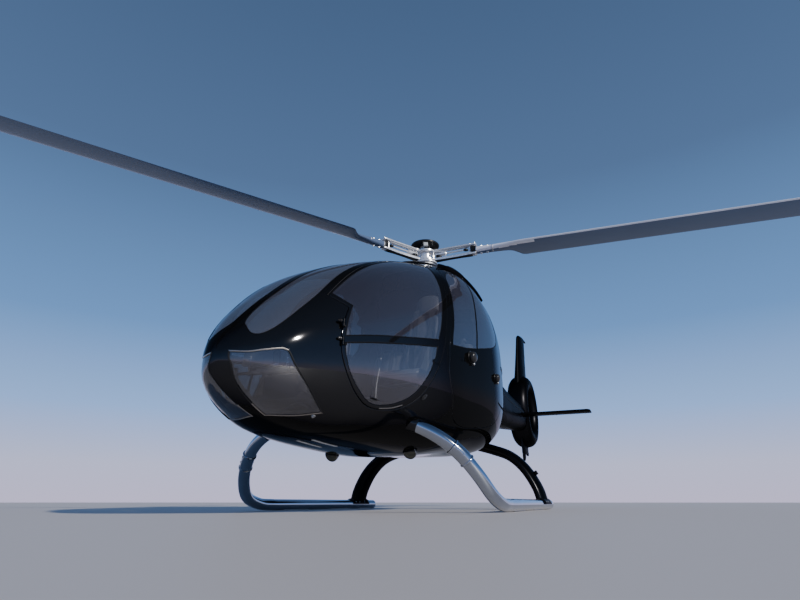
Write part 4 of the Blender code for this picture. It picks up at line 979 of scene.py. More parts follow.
def skin_mesh(flat, triangles, out, depth, drop, tilt, lean):
    run, rise = (flat[triangles[:, k]] - flat[triangles[:, 0]] for k in (1, 2))
    flipped = run[:, 0] * rise[:, 1] - run[:, 1] * rise[:, 0] < 0
    triangles[flipped] = triangles[flipped][:, ::-1]
    point, normal = hull_frame(flat)[:2]
    count = len(flat)
    points = np.concatenate([point + (out - drop)[:, None] * normal, point - depth * normal])
    shading = normal * np.cos(tilt)[:, None] + lean * np.sin(tilt)[:, None]
    shading = np.concatenate([shading, -normal])
    directed = {(t[i], t[(i + 1) % 3]) for t in triangles for i in range(3)}
    border = [edge for edge in directed if edge[::-1] not in directed]
    border.sort()
    faces = [tuple(t) for t in triangles] + [tuple(t[::-1] + count) for t in triangles]
    faces += [(b, a, a + count, b + count) for a, b in border]
    slots = [0] * len(triangles) + [1] * (len(faces) - len(triangles))
    mesh = mesh_of(points, faces, slots)
    smooth = 2 * len(triangles)
    corner = []
    for number, face in enumerate(faces):
        if number < smooth:
            corner += [shading[v] for v in face]
        else:
            corner += [lean[v % count] if tilt[v % count] else mesh.polygons[number].normal for v in face]
    mesh.normals_split_custom_set([tuple(c) for c in corner])
    return mesh


print("skin maker ready")

# %% [markdown]
# ## Cabin shell and doors
#
# The fuselage shell is the whole body less its windows, doors and engine bay. The front doors are nearly all
# window: a slim frame with one bar across it. The left rear door slides back on a rail. All are the same
# pressing as the shell, so they share its skin, with a real gap of a few millimetres round them.

# %% Fuselage shell
EDGE_ROLL = 0.004
GLASS_DEPTH, GLASS_THICK, GLASS_GAP = 0.003, 0.006, 0.0012
SKIN_STEP = 0.060


def body_openings():
    rings = []
    for side in (1, -1):
        rings += [ring_of(WINDSHIELD, side=side), ring_of(FRONT_DOOR, side=side), ring_of(CHIN, side=side)]
    return rings + [ring_of(REAR_DOOR), ring_of(REAR_PANE_FRONT, side=-1), ring_of(REAR_PANE_AFT, side=-1),
                    ring_of(BAY, step=0.05)]


def shell():
    rim = np.array([disc(JOINT_Y, 360 * k / 80) for k in range(80)])
    mesh = skin(rim, body_openings(), 0.0, WALL, EDGE_ROLL, SKIN_STEP, roll_outer=False)
    return place_piece("fuselage_skin", mesh, [BODY_PAINT, CABIN_LINING], "airframe",
                       ["fuselage_shell"])


fuselage = shell()
print("fuselage skin:", len(fuselage.data.polygons), "faces")

# %% Doors
DOOR_GAP, SLIDE_GAP = 0.005, 0.003
SIDES = ((1, "L", "left_front_door"), (-1, "R", "right_front_door"))
FRONT_PANES = (DOOR_PANE_UPPER, DOOR_PANE_LOWER)


def door_skin(name, outline, panes, gap, side, body, stands_for):
    rings = [ring_of(pane, side=side) for pane in panes]
    mesh = skin(inset(ring_of(outline, side=side), gap), rings, 0.0, WALL, EDGE_ROLL, SKIN_STEP)
    return place_piece(name, mesh, [BODY_PAINT, CABIN_LINING], body, [stands_for])


for side, tag, door in SIDES:
    door_skin(f"front_door_skin_{tag}", FRONT_DOOR, FRONT_PANES, DOOR_GAP, side, door, f"front_door_{tag}")
door_skin("rear_door_skin_L", REAR_DOOR, (REAR_PANE_FRONT, REAR_PANE_AFT), SLIDE_GAP, 1, "airframe", "rear_door_L")
print("doors:", [piece.name for piece in PIECES[1:]])

# %% [markdown]
# ## Window panes
#
# Each pane is 6 mm acrylic, formed to the body and set 3 mm below its surface, so that a thin step of rubber
# shows round it. The panes are skins of the same formula, and the windows of a door ride with their door.

# %% Panes
PANE_PLACES = [  # name, outline, whether it rides with a front door
    ("windshield", WINDSHIELD, False), ("chin_window", CHIN, False), ("rear_pane_front", REAR_PANE_FRONT, False),
    ("rear_pane_aft", REAR_PANE_AFT, False), ("front_door_pane_upper", DOOR_PANE_UPPER, True),
    ("front_door_pane_lower", DOOR_PANE_LOWER, True)]


def pane_skin(name, outline, side, body):
    ring = inset(ring_of(outline, side=side), GLASS_GAP)
    mesh = skin(ring, [], -GLASS_DEPTH, GLASS_DEPTH + GLASS_THICK, 0.0015, SKIN_STEP)
    glass = WINDSHIELD_GLASS if name.startswith("windshield") else WINDOW_GLASS
    return place_piece(f"{name}_glass", mesh, [glass, PANE_INSIDE], body, [name])


for name, outline, on_door in PANE_PLACES:
    for side, tag, door in SIDES:
        pane_skin(f"{name}_{tag}", outline, side, door if on_door else "airframe")
print("panes:", 2 * len(PANE_PLACES))

# %% [markdown]
# ## Strips that follow an outline
#
# Rubber seals, the metal trim of the chin windows and the door's weather strip all run along an outline. Each
# is a small section swept round its ring, with its own place across the edge and its own height.


# %% Strip along a ring
def strip(ring, section):
    """Sweep (across, height) points along a ring on the body: across grows inwards, height outwards."""
    point, normal, inward = inward_of(ring)[:3]
    rows = [[Vector(p + a * i + h * n) for a, h in section] for p, n, i in zip(point, normal, inward)]
    return facing_out(loft(rows, closed_along=True, sharp=50))


def rounded_section(across, height, width, thick, sides=10):
    """Section of a strip: a flattened round with its centre at (across, height)."""
    return [(across + x, height + y) for x, y in soft_rectangle(width / 2, thick / 2, 1, sides)]


SEAL_STEP = 0.022
seal_section = rounded_section(0.0015, -0.0035, 0.007, 0.004)
for name, outline, on_door in PANE_PLACES:
    for side, tag, door in SIDES:
        mesh = strip(ring_of(outline, SEAL_STEP, side), seal_section)
        place_piece(f"{name}_seal_{tag}", mesh, RUBBER, door if on_door else "airframe")
print("window seals done")

# %% [markdown]
# The front door also closes on a hollow rubber strip in its frame. It shows as a dull line inside the gap, and
# as a black edge once the door stands open.

# %% Weather strips
for side, tag, door in SIDES:
    mesh = strip(ring_of(FRONT_DOOR, SEAL_STEP, side), rounded_section(-0.006, -0.026, 0.013, 0.012))
    place_piece(f"door_frame_seal_{tag}", mesh, RUBBER)
mesh = strip(ring_of(REAR_DOOR, SEAL_STEP), rounded_section(0.0, -0.026, 0.006, 0.010))
place_piece("rear_door_seal_L", mesh, RUBBER)
print("weather strips done")

# %% [markdown]
# ## Chin window trim
#
# The two windows under the nose are framed by a strip: satin metal along its upper and lower runs, where it
# catches the light as a warm grey line, and dark where it climbs steeply. It is wider than a seal and stands a
# little proud of the glass.

# %% Trim
TRIM_SECTION = [(-0.004, 0.0004), (-0.003, 0.0018), (0.002, 0.0018), (0.004, 0.0004), (0.004, -0.004),
                (-0.004, -0.004)]
STEEP = 0.38  # where the strip climbs more steeply than this, it gets the dark finish, not the metal


def strip_slope(mesh, face):
    """How steeply a face of a strip runs: 0 level, 1 straight up."""
    spots = [mesh.vertices[v].co for v in face.vertices]
    longest = max((b - a for a, b in zip(spots, spots[1:] + spots[:1])), key=lambda edge: edge.length)
    return abs(longest.normalized().z)


for side, tag, door in SIDES:
    trim = strip(ring_of(CHIN, SEAL_STEP, side), TRIM_SECTION)
    for face in trim.polygons:
        face.material_index = int(strip_slope(trim, face) > STEEP)
    place_piece(f"chin_window_trim_{tag}", trim, [WINDOW_TRIM, DARK_FITTING])
print("chin trim done")

# %% [markdown]
# ## Hinges, latches and handles
#
# Each front door turns on two small hinges outside its front edge: knuckles on one pin, with a leaf on the
# door and one on the body. The pin's line comes from the frame, so the knuckles sit exactly on the joint.

# %% Point on the body's side
def body_at(y, z, side=1):
    """Point and normal of the body's side at a station and a height."""
    angles = np.radians(np.linspace(-85, 85, 3401))
    reach = math.sqrt((y - NOSE_Y) / HULL_LENGTH)
    spots = reach * np.stack([np.cos(angles), np.sin(angles)], axis=1)
    nearest = int(np.argmin(np.abs(hull_point(spots)[:, 2] - z)))
    point, normal = hull_frame(spots[nearest:nearest + 1])[:2]
    return Vector(point[0]) * Vector((side, 1, 1)), Vector(normal[0]) * Vector((side, 1, 1))


def on_body(y, z, side=1, ahead=(0, 1, 0)):
    """Matrix with its origin on the body's side, X along the body, Z out of it."""
    point, normal = body_at(y, z, side)
    along = Vector(ahead)
    along = (along - normal * along.dot(normal)).normalized()
    return axes_at(point, along, normal.cross(along), normal)


print("door height at the hinge:", round(body_at(-2.69, 0.98)[0].x, 3))

# %% Hinges
KNUCKLE_R, KNUCKLE_H, HINGE_HEIGHTS = 0.009, 0.024, (0.925, 1.035)
LEAF_OUTLINE = [(0.0, -0.009), (0.030, -0.008), (0.035, -0.004), (0.035, 0.004), (0.030, 0.008), (0.0, 0.009)]
PIN_PROFILE = [(0, -0.014), (0.004, -0.014), (0.004, 0.038), (0.006, 0.038), (0.006, 0.041), (0, 0.041)]


def hinge_half(axis, z, towards, side):
    """Knuckle on the pin with its leaf, which reaches along the body in the direction of towards."""
    bore = KNUCKLE_R * 0.45
    low, high = -KNUCKLE_H / 2, KNUCKLE_H / 2
    soft = 0.0015
    knuckle = lathe([(bore, low), (KNUCKLE_R - soft, low), (KNUCKLE_R, low + soft), (KNUCKLE_R, high - soft),
                     (KNUCKLE_R - soft, high), (bore, high), (bore, low)], (axis.x, axis.y, z), (0, 0, 1), 28)
    target, normal = body_at(axis.y + 0.042 * towards, z, side)
    start = Vector((axis.x, axis.y, z))
    along = (target + 0.004 * normal - start).normalized()
    up = Vector((0, 0, 1))
    leaf = plate(LEAF_OUTLINE, 0.005, axes_at(start, along, up, along.cross(up)), edge=0.001)
    bolts = [hex_bolt(start + along * reach + normal * 0.0025, normal, 0.007) for reach in (0.018, 0.029)]
    return joined([knuckle, leaf, *bolts])


for side, tag, door in SIDES:
    pin = Vector(JOINTS[f"front_door_{tag}_hinge"]["pos_m"]) - HOME
    on_door, on_frame = [], []
    for z in HINGE_HEIGHTS:
        on_door.append(hinge_half(pin, z, 0.55, side))
        on_frame.append(hinge_half(pin, z + KNUCKLE_H + 0.0006, -1.0, side))
        on_frame.append(lathe(PIN_PROFILE, (pin.x, pin.y, z), (0, 0, 1), 16))
    place_piece(f"door_hinge_door_{tag}", joined(on_door), STRUT_PAINT, door)
    place_piece(f"door_hinge_frame_{tag}", joined(on_frame), STRUT_PAINT)
print("hinges done")

# %% [markdown]
# The doors open with flush oval levers, set in a shallow dish of the body's own colour. Below the rear window
# stand two round vents: a knob on a flat collar, with a small bright ball below it as its stop.

# %% Handles and vents
OVAL = soft_rectangle(0.055, 0.019, 1, 32)
LEVER = [(x * 0.78 - 0.004, y * 0.55) for x, y in OVAL]


def door_handle(name, y, z, side, body):
    seat = on_body(y, z, side)
    dish = plate(OVAL, 0.002, seat @ Matrix.Translation((0, 0, 0.0004)), edge=0.0005)
    lever = plate(LEVER, 0.003, seat @ Matrix.Translation((0, 0, 0.0025)), edge=0.0010)
    pin = hex_bolt(seat @ Vector((0.034, 0, 0.0035)), outward(seat), 0.005)
    return place_piece(name, by_slot([dish, lever], [pin]), [BODY_PAINT, DARK_FITTING], body)


def round_vent(name, y, z, side, size=0.046):
    """Knob-shaped vent that stands out of the body, with a small bright ball below it."""
    seat = on_body(y, z, side)
    out = outward(seat)
    collar = lathe([(0, -0.008), (size * 1.12, -0.006), (size * 1.12, 0.002), (size * 1.04, 0.006),
                    (size * 0.98, 0.006), (0, 0.004)], seat.translation, out, 40)
    tilt = (seat.to_3x3() @ Vector((-0.15, -0.25, 1))).normalized()
    knob = lathe([(size * r, size * h) for r, h in ((0, -0.1), (0.92, -0.05), (0.98, 0.25), (1.0, 0.55),
                                                    (0.92, 0.80), (0.72, 0.99), (0.40, 1.10), (0, 1.13))],
                 seat.translation, tilt, 44)
    slot = lathe([(size * r, size * h) for r, h in ((0.985, 0.30), (1.015, 0.31), (1.02, 0.36), (0.99, 0.37),
                                                    (0.985, 0.30))], seat.translation, tilt, 44, 20)
    ball_at = seat @ Vector((0.022, -1.15 * size, 0.012))
    ball = lathe([(0, -0.016), (0.010, -0.014), (0.013, 0.0), (0.0125, 0.008), (0.007, 0.014), (0, 0.016)], ball_at,
                 out, 24)
    return place_piece(name, by_slot([collar, slot], [knob], [ball]), [DARK_FITTING, VENT_GREY, CAST_ALLOY])


for side, tag, door in SIDES:
    door_handle(f"front_door_handle_{tag}", -1.83, 0.985, side, door)
    round_vent(f"rear_vent_front_{tag}", -1.223, 1.159, side)
    round_vent(f"rear_vent_aft_{tag}", -0.539, 1.126, side, size=0.038)
door_handle("rear_door_handle_L", -1.40, 1.10, 1, "airframe")
print("handles and vents done")

# %% [markdown]
# ## Rail of the sliding door
#
# The left rear door rolls back on two rails. The lower one, under the window line, is a shallow channel: a dark
# slot between two fine lips. The upper one is a plain bar that stands on the shoulder of the roof, where it shows
# as a black line against the sky.

# %% Rail and lines on the body
def body_path(points, side=1, lift=0.0, step=0.03):
    """Smooth path along the body's side through (y, z) points."""
    flat = smooth_path([Vector((y, z, 0)) for y, z in points], step)
    places = [body_at(p.x, p.y, side) for p in flat]
    return [point + lift * normal for point, normal in places], [normal for point, normal in places]


def line_on_body(points, side, section, lift=0.0):
    """Sweep an (across, height) section along the body's side."""
    path, normals = body_path(points, side, lift)
    rows = []
    for i, (point, normal) in enumerate(zip(path, normals)):
        ahead = (path[min(i + 1, len(path) - 1)] - path[max(i - 1, 0)]).normalized()
        across = normal.cross(ahead).normalized()
        rows.append([point + a * across + h * normal for a, h in section])
    return facing_out(loft(rows, sharp=40))


RAIL_SECTION = [(-0.016, -0.004), (-0.016, 0.004), (-0.012, 0.0055), (-0.008, 0.003), (0.008, 0.003),
                (0.012, 0.0055), (0.016, 0.004), (0.016, -0.004)]
for side, tag, door in SIDES:
    rail = line_on_body(((-0.02, 1.335), (0.45, 1.345), (0.98, 1.36)), side, RAIL_SECTION)
    place_piece(f"side_rail_{tag}", rail, DARK_FITTING)
ROOF_RAIL = ((-1.0, 2.106), (-0.85, 2.148), (-0.70, 2.140), (-0.50, 2.092), (-0.35, 2.056), (-0.15, 2.030))
ROOF_RAIL_SECTION = [(-0.010, -0.004), (-0.010, 0.026), (-0.006, 0.034), (0.006, 0.034), (0.010, 0.026),
                     (0.010, -0.004)]
place_piece("roof_rail_L", line_on_body(ROOF_RAIL, 1, ROOF_RAIL_SECTION), SHADED_SATIN_PAINT)
SEAM_SECTION = [(-0.0025, -0.003), (-0.0025, 0.0007), (0.0025, 0.0007), (0.0025, -0.003)]
for side, tag, door in SIDES:
    seams = [line_on_body(((0.30, 0.62), (0.34, 1.0), (0.38, 1.6), (0.40, 1.9)), side, SEAM_SECTION),
             line_on_body(((0.10, 0.80), (0.60, 0.92), (1.44, 1.25)), side, SEAM_SECTION)]
    place_piece(f"panel_seams_{tag}", joined(seams), RUBBER)
print("rails and seams done")

# %% [markdown]
# ## Sill and belly strips
#
# Below each front door a bright kick strip protects the sill, and an oval latch plate with two screws sits just
# behind the door. Along the belly below them runs a pale strip that is a painted highlight, standing in for the
# streak of light there.

# %% Sill strip, latch and painted belly highlight
SILL_SECTION = [(-0.004, 0.0), (-0.003, 0.002), (0.003, 0.002), (0.004, 0.0)]
BELLY_HIGHLIGHT_SECTION = [(-0.010, 0.0), (-0.009, 0.0025), (0.009, 0.0025), (0.010, 0.0)]
for side, tag, door in SIDES:
    sill = line_on_body(((-2.337, 0.600), (-2.24, 0.615), (-2.15, 0.644)), side, SILL_SECTION, 0.001)
    place_piece(f"door_sill_strip_{tag}", sill, WINDOW_TRIM)
    seat = on_body(-1.95, 0.724, side, ahead=(0, 1, 0.75))
    latch = [plate([(x * 0.62, y * 0.8) for x, y in OVAL], 0.006, seat @ Matrix.Translation((0, 0, 0.002)), 0.002)]
    latch += [hex_bolt(seat @ Vector((x, 0, 0.005)), outward(seat), 0.008) for x in (-0.015, 0.015)]
    place_piece(f"door_latch_{tag}", joined(latch), DARK_FITTING)
    # The pale strip along the belly is a painted highlight: it stands in for the streak of light there.
    belly = line_on_body(((-2.30, 0.437), (-2.15, 0.428), (-2.0, 0.424)), side, BELLY_HIGHLIGHT_SECTION, 0.001)
    place_piece(f"belly_highlight_{tag}", belly, LIGHT_PLASTIC)
print("sill strips and latches done")

# %% [markdown]
# ## Engine cowling
#
# Behind the cabin a rounded hood covers gearbox and engine. It is one lofted shell here: a table of sections
# from front to rear, each a rounded arch. Its side walls dip just below the body's skin, so the joint between
# them is a clean line, and it is hollow, because its rear end is open round the exhaust.

# %% Cowling shell
# y, half width, top z, z where its sides spring
COWLING = np.array((
    (-0.780, 0.160, 2.340, 2.050), (-0.620, 0.300, 2.420, 2.000), (-0.350, 0.440, 2.510, 1.950),
    (0.000, 0.520, 2.560, 1.950), (0.500, 0.530, 2.550, 1.920), (0.950, 0.470, 2.470, 1.850),
    (1.250, 0.390, 2.375, 1.750), (1.470, 0.310, 2.260, 1.650)))
COWLING_POWER, COWLING_WALL, MAST_HOLE_R = 2.4, 0.020, 0.110
COWLING_FRONT, COWLING_REAR = COWLING[0, 0], COWLING[-1, 0]


def cowling_points(y, angles, shrink=0.0):
    """Points of one section: the angle runs from the right side (0) over the top (90 degrees) to the left."""
    half, top, spring = (float(monotone(COWLING[:, 0], COWLING[:, c], np.array([y]))[0]) for c in (1, 2, 3))
    half, rise = half - shrink, top - shrink - spring
    points = []
    for a in angles:
        cos, sin = math.cos(a), math.sin(a)
        size = oval_size(cos, sin, COWLING_POWER)
        points.append(Vector((half * size * cos, y, spring + rise * size * sin)))
    return points


def cowling_arch(y, shrink, sides=48):
    return cowling_points(y, [math.pi * k / sides for k in range(sides + 1)], shrink)


def cowling_shell():
    ends = COWLING_REAR - COWLING_FRONT
    rows_outer, rows_inner = [], []
    for t in np.linspace(0, 1, 44):
        y = COWLING_FRONT + ends * t
        lip = max(0.0, 1 - (y - COWLING_FRONT) / 0.05)
        shrink = 0.022 * lip * lip
        rows_outer.append(cowling_arch(y, shrink))
        rows_inner.append(cowling_arch(min(max(y, COWLING_FRONT + 0.03), COWLING_REAR), COWLING_WALL + shrink))
    for shrink in (0.05, 0.085, 0.115, 0.135):
        rows_outer.insert(0, cowling_arch(COWLING_FRONT, shrink))
        rows_inner.insert(0, cowling_arch(COWLING_FRONT + 0.02, shrink + 0.004))
    rings = [outer + inner[::-1] for outer, inner in zip(rows_outer, rows_inner)]
    return facing_out(loft(rings, sharp=38))


def hole_in_cowling(mesh):
    """Cut a real hole for the mast."""
    cutter = lathe([(0, 0), (MAST_HOLE_R, 0), (MAST_HOLE_R, 0.5), (0, 0.5)], (0, 0, 2.30), sides=64)
    piece, tool = bpy.data.objects.new("cut", mesh), bpy.data.objects.new("tool", cutter)
    for thing in (piece, tool):
        bpy.context.scene.collection.objects.link(thing)
    modifier = piece.modifiers.new("hole", "BOOLEAN")
    modifier.operation, modifier.solver, modifier.object = "DIFFERENCE", "EXACT", tool
    graph = bpy.context.evaluated_depsgraph_get()
    result = bpy.data.meshes.new_from_object(piece.evaluated_get(graph))
    for thing in (piece, tool):
        bpy.data.objects.remove(thing)
    result.set_sharp_from_angle(angle=math.radians(38))
    return result


cowling = place_piece("cowling_skin", hole_in_cowling(cowling_shell()), BODY_PAINT, "airframe",
                      ["cowling"])
print("cowling:", len(cowling.data.polygons), "faces")

# %% [markdown]
# Real cowlings open: they carry hinge lines, quarter-turn fasteners in rows, and louvres or scoops that let
# the engine breathe. They are small, but they tell the size of the machine.

# %% Point on the cowling
def on_cowling(y, angle):
    """Matrix on the cowling at an angle from the right side (0) over the top (90): X aft, Z out."""
    point, beside = cowling_points(y, [math.radians(angle), math.radians(angle + 0.5)])
    along = (cowling_points(y + 0.01, [math.radians(angle)])[0] - point).normalized()
    normal = (beside - point).normalized().cross(along).normalized()
    if normal.dot(point - Vector((0, y, 1.9))) < 0:
        normal = -normal
    return axes_at(point, along, normal.cross(along), normal)


# %% Cowling fittings
def louvre(matrix, length=0.16, width=0.020):
    """One pressed louvre: a low hood, open along its rear edge."""
    section = [(-width / 2, -0.002), (-width / 2, 0.0005), (-width / 6, 0.007), (width / 2, 0.011),
               (width / 2, 0.0085), (-width / 8, 0.0045), (-width / 3, -0.002)]
    rows = []
    for t in np.linspace(-1, 1, 13):
        swell = max(0.0, 1 - abs(t) ** 4)
        rows.append([matrix @ Vector((a, t * length / 2, h * swell)) for a, h in section])
    return facing_out(loft(rows, sharp=35))


louvres, fasteners, seams = [], [], []
for side in (1, -1):
    for k in range(7):
        louvres.append(louvre(on_cowling(0.42 + 0.045 * k, 90 - side * 62)))
    for k in range(9):
        seat = on_cowling(-0.35 + 0.2 * k, 90 - side * 78)
        fasteners.append(lathe([(0, 0.0035), (0.004, 0.0035), (0.009, 0.002), (0.010, -0.002), (0, -0.002)],
                               seat.translation, outward(seat), 20))
    rows = []
    for y in np.linspace(COWLING_FRONT + 0.08, COWLING_REAR - 0.02, 30):
        seat = on_cowling(y, 90 - side * 30)
        rows.append([seat @ Vector((0, a, h)) for a, h in SEAM_SECTION])
    seams.append(facing_out(loft(rows)))
for y in (0.25, 0.92):
    rows = [[on_cowling(y, a) @ Vector((across, 0, h)) for across, h in SEAM_SECTION]
            for a in np.linspace(6, 174, 60)]
    seams.append(facing_out(loft(rows)))
place_piece("cowling_louvres", joined(louvres), SHADED_SATIN_PAINT, "airframe")
place_piece("cowling_fasteners", joined(fasteners), CAST_ALLOY)
place_piece("cowling_seams", joined(seams), RUBBER)
print("cowling fittings:", len(louvres), "louvres,", len(fasteners), "fasteners")

# %% [markdown]
# The air intake is a low scoop on each side of the mast with a grille of thin bars behind its lip, and a rubber
# boot closes the gap where the mast comes out.

# %% Intake scoops and mast boot
def scoop(side):
    rows = []
    for t in np.linspace(0, 1, 22):
        y = -0.16 + 0.52 * t
        seat = on_cowling(y, 90 - side * 42)
        height = 0.055 * math.sin(math.pi * min(1.0, 0.28 + 0.72 * t)) ** 0.8 + 0.001
        width = 0.105 * (1 - 0.55 * t ** 2)
        ring = []
        for a in turns(24):
            across = width * math.copysign(abs(math.cos(a)) ** 0.7, math.cos(a))
            up = height * max(math.sin(a), 0.0) ** 0.7 - 0.006 * max(-math.sin(a), 0.0)
            ring.append(seat @ Vector((0, across, up)))
        rows.append(ring)
    shell = facing_out(loft(rows, sharp=50))
    mouth_seat = on_cowling(-0.162, 90 - side * 42)
    grille = []
    for k in range(9):
        x = -0.088 + 0.022 * k
        grille.append(rod(mouth_seat @ Vector((0, x, -0.004)),
                          mouth_seat @ Vector((0, x, 0.034 * (1 - (x / 0.12) ** 4))), 0.0016, 8))
    return by_slot([shell], grille)


for side, tag, door in SIDES:
    place_piece(f"intake_scoop_{tag}", scoop(side), [BODY_PAINT, CAST_ALLOY], "airframe")
boot = lathe([(0.058, 2.592), (0.072, 2.590), (0.066, 2.580), (0.084, 2.572), (0.076, 2.562), (0.098, 2.552),
              (0.112, 2.538), (0.114, 2.526), (0.104, 2.526), (0.070, 2.556), (0.058, 2.572), (0.058, 2.592)],
             sides=48)
place_piece("mast_boot", boot, RUBBER, "airframe")
print("scoops and boot done")

# %% [markdown]
# ## Exhaust
#
# A short round stack carries the gas out at the back. Its steel is stained brown and blue by heat. The wall is
# rolled at the mouth, and a clamp band holds it to the engine.

# %% Exhaust pipe
EXHAUST_Z, EXHAUST_START = 2.118, 1.105


def round_exhaust(profile, sides, start=EXHAUST_START):
    return lathe(profile, (0, start, EXHAUST_Z), (0, 1, 0), sides)


stack = round_exhaust([(0.077, 0.02), (0.077, 0.497), (0.079, 0.513), (0.082, 0.515), (0.085, 0.510),
                       (0.0835, 0.495), (0.0835, 0.36), (0.085, 0.355), (0.085, 0.345), (0.0835, 0.34),
                       (0.0835, 0.0), (0.077, 0.0), (0.077, 0.02)], 64)
inside_end = round_exhaust([(0, 0.03), (0.0765, 0.03), (0.0765, 0.02), (0, 0.02)], 48)
clamp = round_exhaust([(0.0838, 0.386), (0.0849, 0.388), (0.0849, 0.402), (0.0838, 0.404)], 64)
place_piece("exhaust_stack", joined([stack, inside_end, clamp]), BURNT_STEEL, "airframe",
            ["exhaust_pipe"])
heat_ring = round_exhaust([(0.100, 0), (0.185, 0), (0.189, 0.006), (0.186, 0.012), (0.100, 0.012), (0.0875, 0.006),
                           (0.100, 0)], 56, COWLING_REAR - 0.028)
place_piece("exhaust_heat_ring", heat_ring, BURNT_STEEL, "airframe")
print("exhaust done")

# %% [markdown]
# ## Rotor head
#
# Three arms carry the blades. On the real head each arm is a flat elastic star plate below, a pair of slim
# rods above, and between them a damper: a short thick cylinder with a thin rod. The rods and plates could be
# boxes, but turned parts with broken edges catch light along their whole length, as polished steel does.

# %% Rotor tables
BLADE_ANGLES = (0.7, 120.7, 240.7)
ARM_LOW, ARM_HIGH = (2.664, 2.690), (2.776, 2.802)
ARM_END, END_BLOCK = 0.6117, 0.100
SWASH_LOW, SWASH_TOP = 2.600, 2.655
LINK_TURN, LINK_R = -24.0, 0.128


def spots_round(count, radius, height, shift=0.0):
    """Evenly spaced points round the rotor's axis."""
    return [Matrix.Rotation(a, 4, "Z") @ Vector((radius, 0, height)) for a in turns(count, shift)]


def arm_parts():
    """Parts of one arm along +X, steel and dark."""
    low_mid = sum(ARM_LOW) / 2
    high_mid = sum(ARM_HIGH) / 2
    star = [(0.05, -0.035), (0.16, -0.034), (0.30, -0.026), (0.44, -0.027), (0.52, -0.034), (0.565, -0.034)]
    star += [(x, -y) for x, y in star[::-1]]
    steel = [plate(star, ARM_LOW[1] - ARM_LOW[0], Matrix.Translation((0, 0, low_mid)), 0.004, 3)]
    for y in (-0.0215, 0.0215):
        steel.append(rod((0.09, y, high_mid), (0.590, y, high_mid), 0.0130, 24))
        steel.append(lathe([(0.0, 0.0), (0.0175, 0.0), (0.0175, 0.05), (0.0130, 0.06), (0, 0.06)],
                           (0.10, y, high_mid), (1, 0, 0), 24))
    steel.append(lathe([(0, 0), (0.020, 0), (0.025, 0.004), (0.025, 0.125), (0.018, 0.134), (0.0095, 0.142),
                        (0.0085, 0.37), (0, 0.37)], (0.125, -0.006, 2.738), (1, 0, 0.006), 28))
    for x in (0.535, 0.588):
        steel.append(rod((x, 0, 2.662), (x, 0, 2.806), 0.0135, 24, 0.35))
        steel.append(hex_bolt((x, 0, 2.8035), (0, 0, 1), 0.022))
    for z in (ARM_LOW[0] + 0.002, ARM_HIGH[0] + 0.002):
        steel.append(block((ARM_END - END_BLOCK, -0.035, z), (ARM_END - 0.001, 0.035, z + 0.021), 0.005))
    under = plate([(x, y * 0.94) for x, y in star], 0.003, Matrix.Translation((0, 0, ARM_LOW[0] - 0.0012)), 0.001)
    dark = [under, block((0.545, -0.022, 2.700), (ARM_END - 0.002, 0.022, 2.768), 0.008),
            lathe([(0, 0), (0.027, 0.0), (0.027, 0.012), (0.020, 0.018), (0, 0.018)], (0.49, -0.006, 2.7315),
                  (0, 0, 1), 24)]
    for z in (2.6925, 2.705, 2.7175):
        dark.append(lathe([(0, 0), (0.036, 0), (0.036, 0.0085), (0, 0.0085)], (0.165, 0, z), (0, 0, 1), 32))
    return steel, dark


steel_parts, dark_parts, links = [], [], []
for angle in BLADE_ANGLES:
    steel, dark = arm_parts()
    turn = turned(angle)
    steel_parts += [moved(mesh, turn) for mesh in steel]
    dark_parts += [moved(mesh, turn) for mesh in dark]
    foot = turned(angle + LINK_TURN) @ Vector((LINK_R, 0, 2.650))
    head = foot + Vector((0, 0, 0.112))
    links.append(rod(foot, head, 0.0075, 16))
    for spot in (foot + Vector((0, 0, 0.014)), head - Vector((0, 0, 0.004))):
        links.append(lathe([(0, -0.012), (0.007, -0.010), (0.0115, -0.004), (0.0125, 0.0), (0.0115, 0.004),
                            (0.007, 0.010), (0, 0.012)], spot, (0, 0, 1), 20))
    nut = [(0.0057, -0.004), (0.009, -0.004), (0.009, 0.004), (0.0057, 0.004), (0.0057, -0.004)]
    links += [lathe(nut, foot + Vector((0, 0, reach)), (0, 0, 1), 6, 20) for reach in (0.030, 0.055)]
    arm_spot = turn @ Vector((0.235, -0.020, 2.752))
    horn = smooth_path([head, head.lerp(arm_spot, 0.5) + Vector((0, 0, 0.006)), arm_spot], 0.03)
    links.append(bar(horn, circle(0.0085, 12), scales=[1.1 - 0.2 * i / len(horn) for i in range(len(horn))]))
print("arms:", len(BLADE_ANGLES), "with", len(links), "link parts")

# %% [markdown]
# In the middle sits the hub: two star plates on a splined sleeve, a dark disc over them that carries the
# sensor box, and a bright nut on top. Below it the swashplate tilts on the mast to set the blades' pitch; it
# is two rings with a bearing between them.

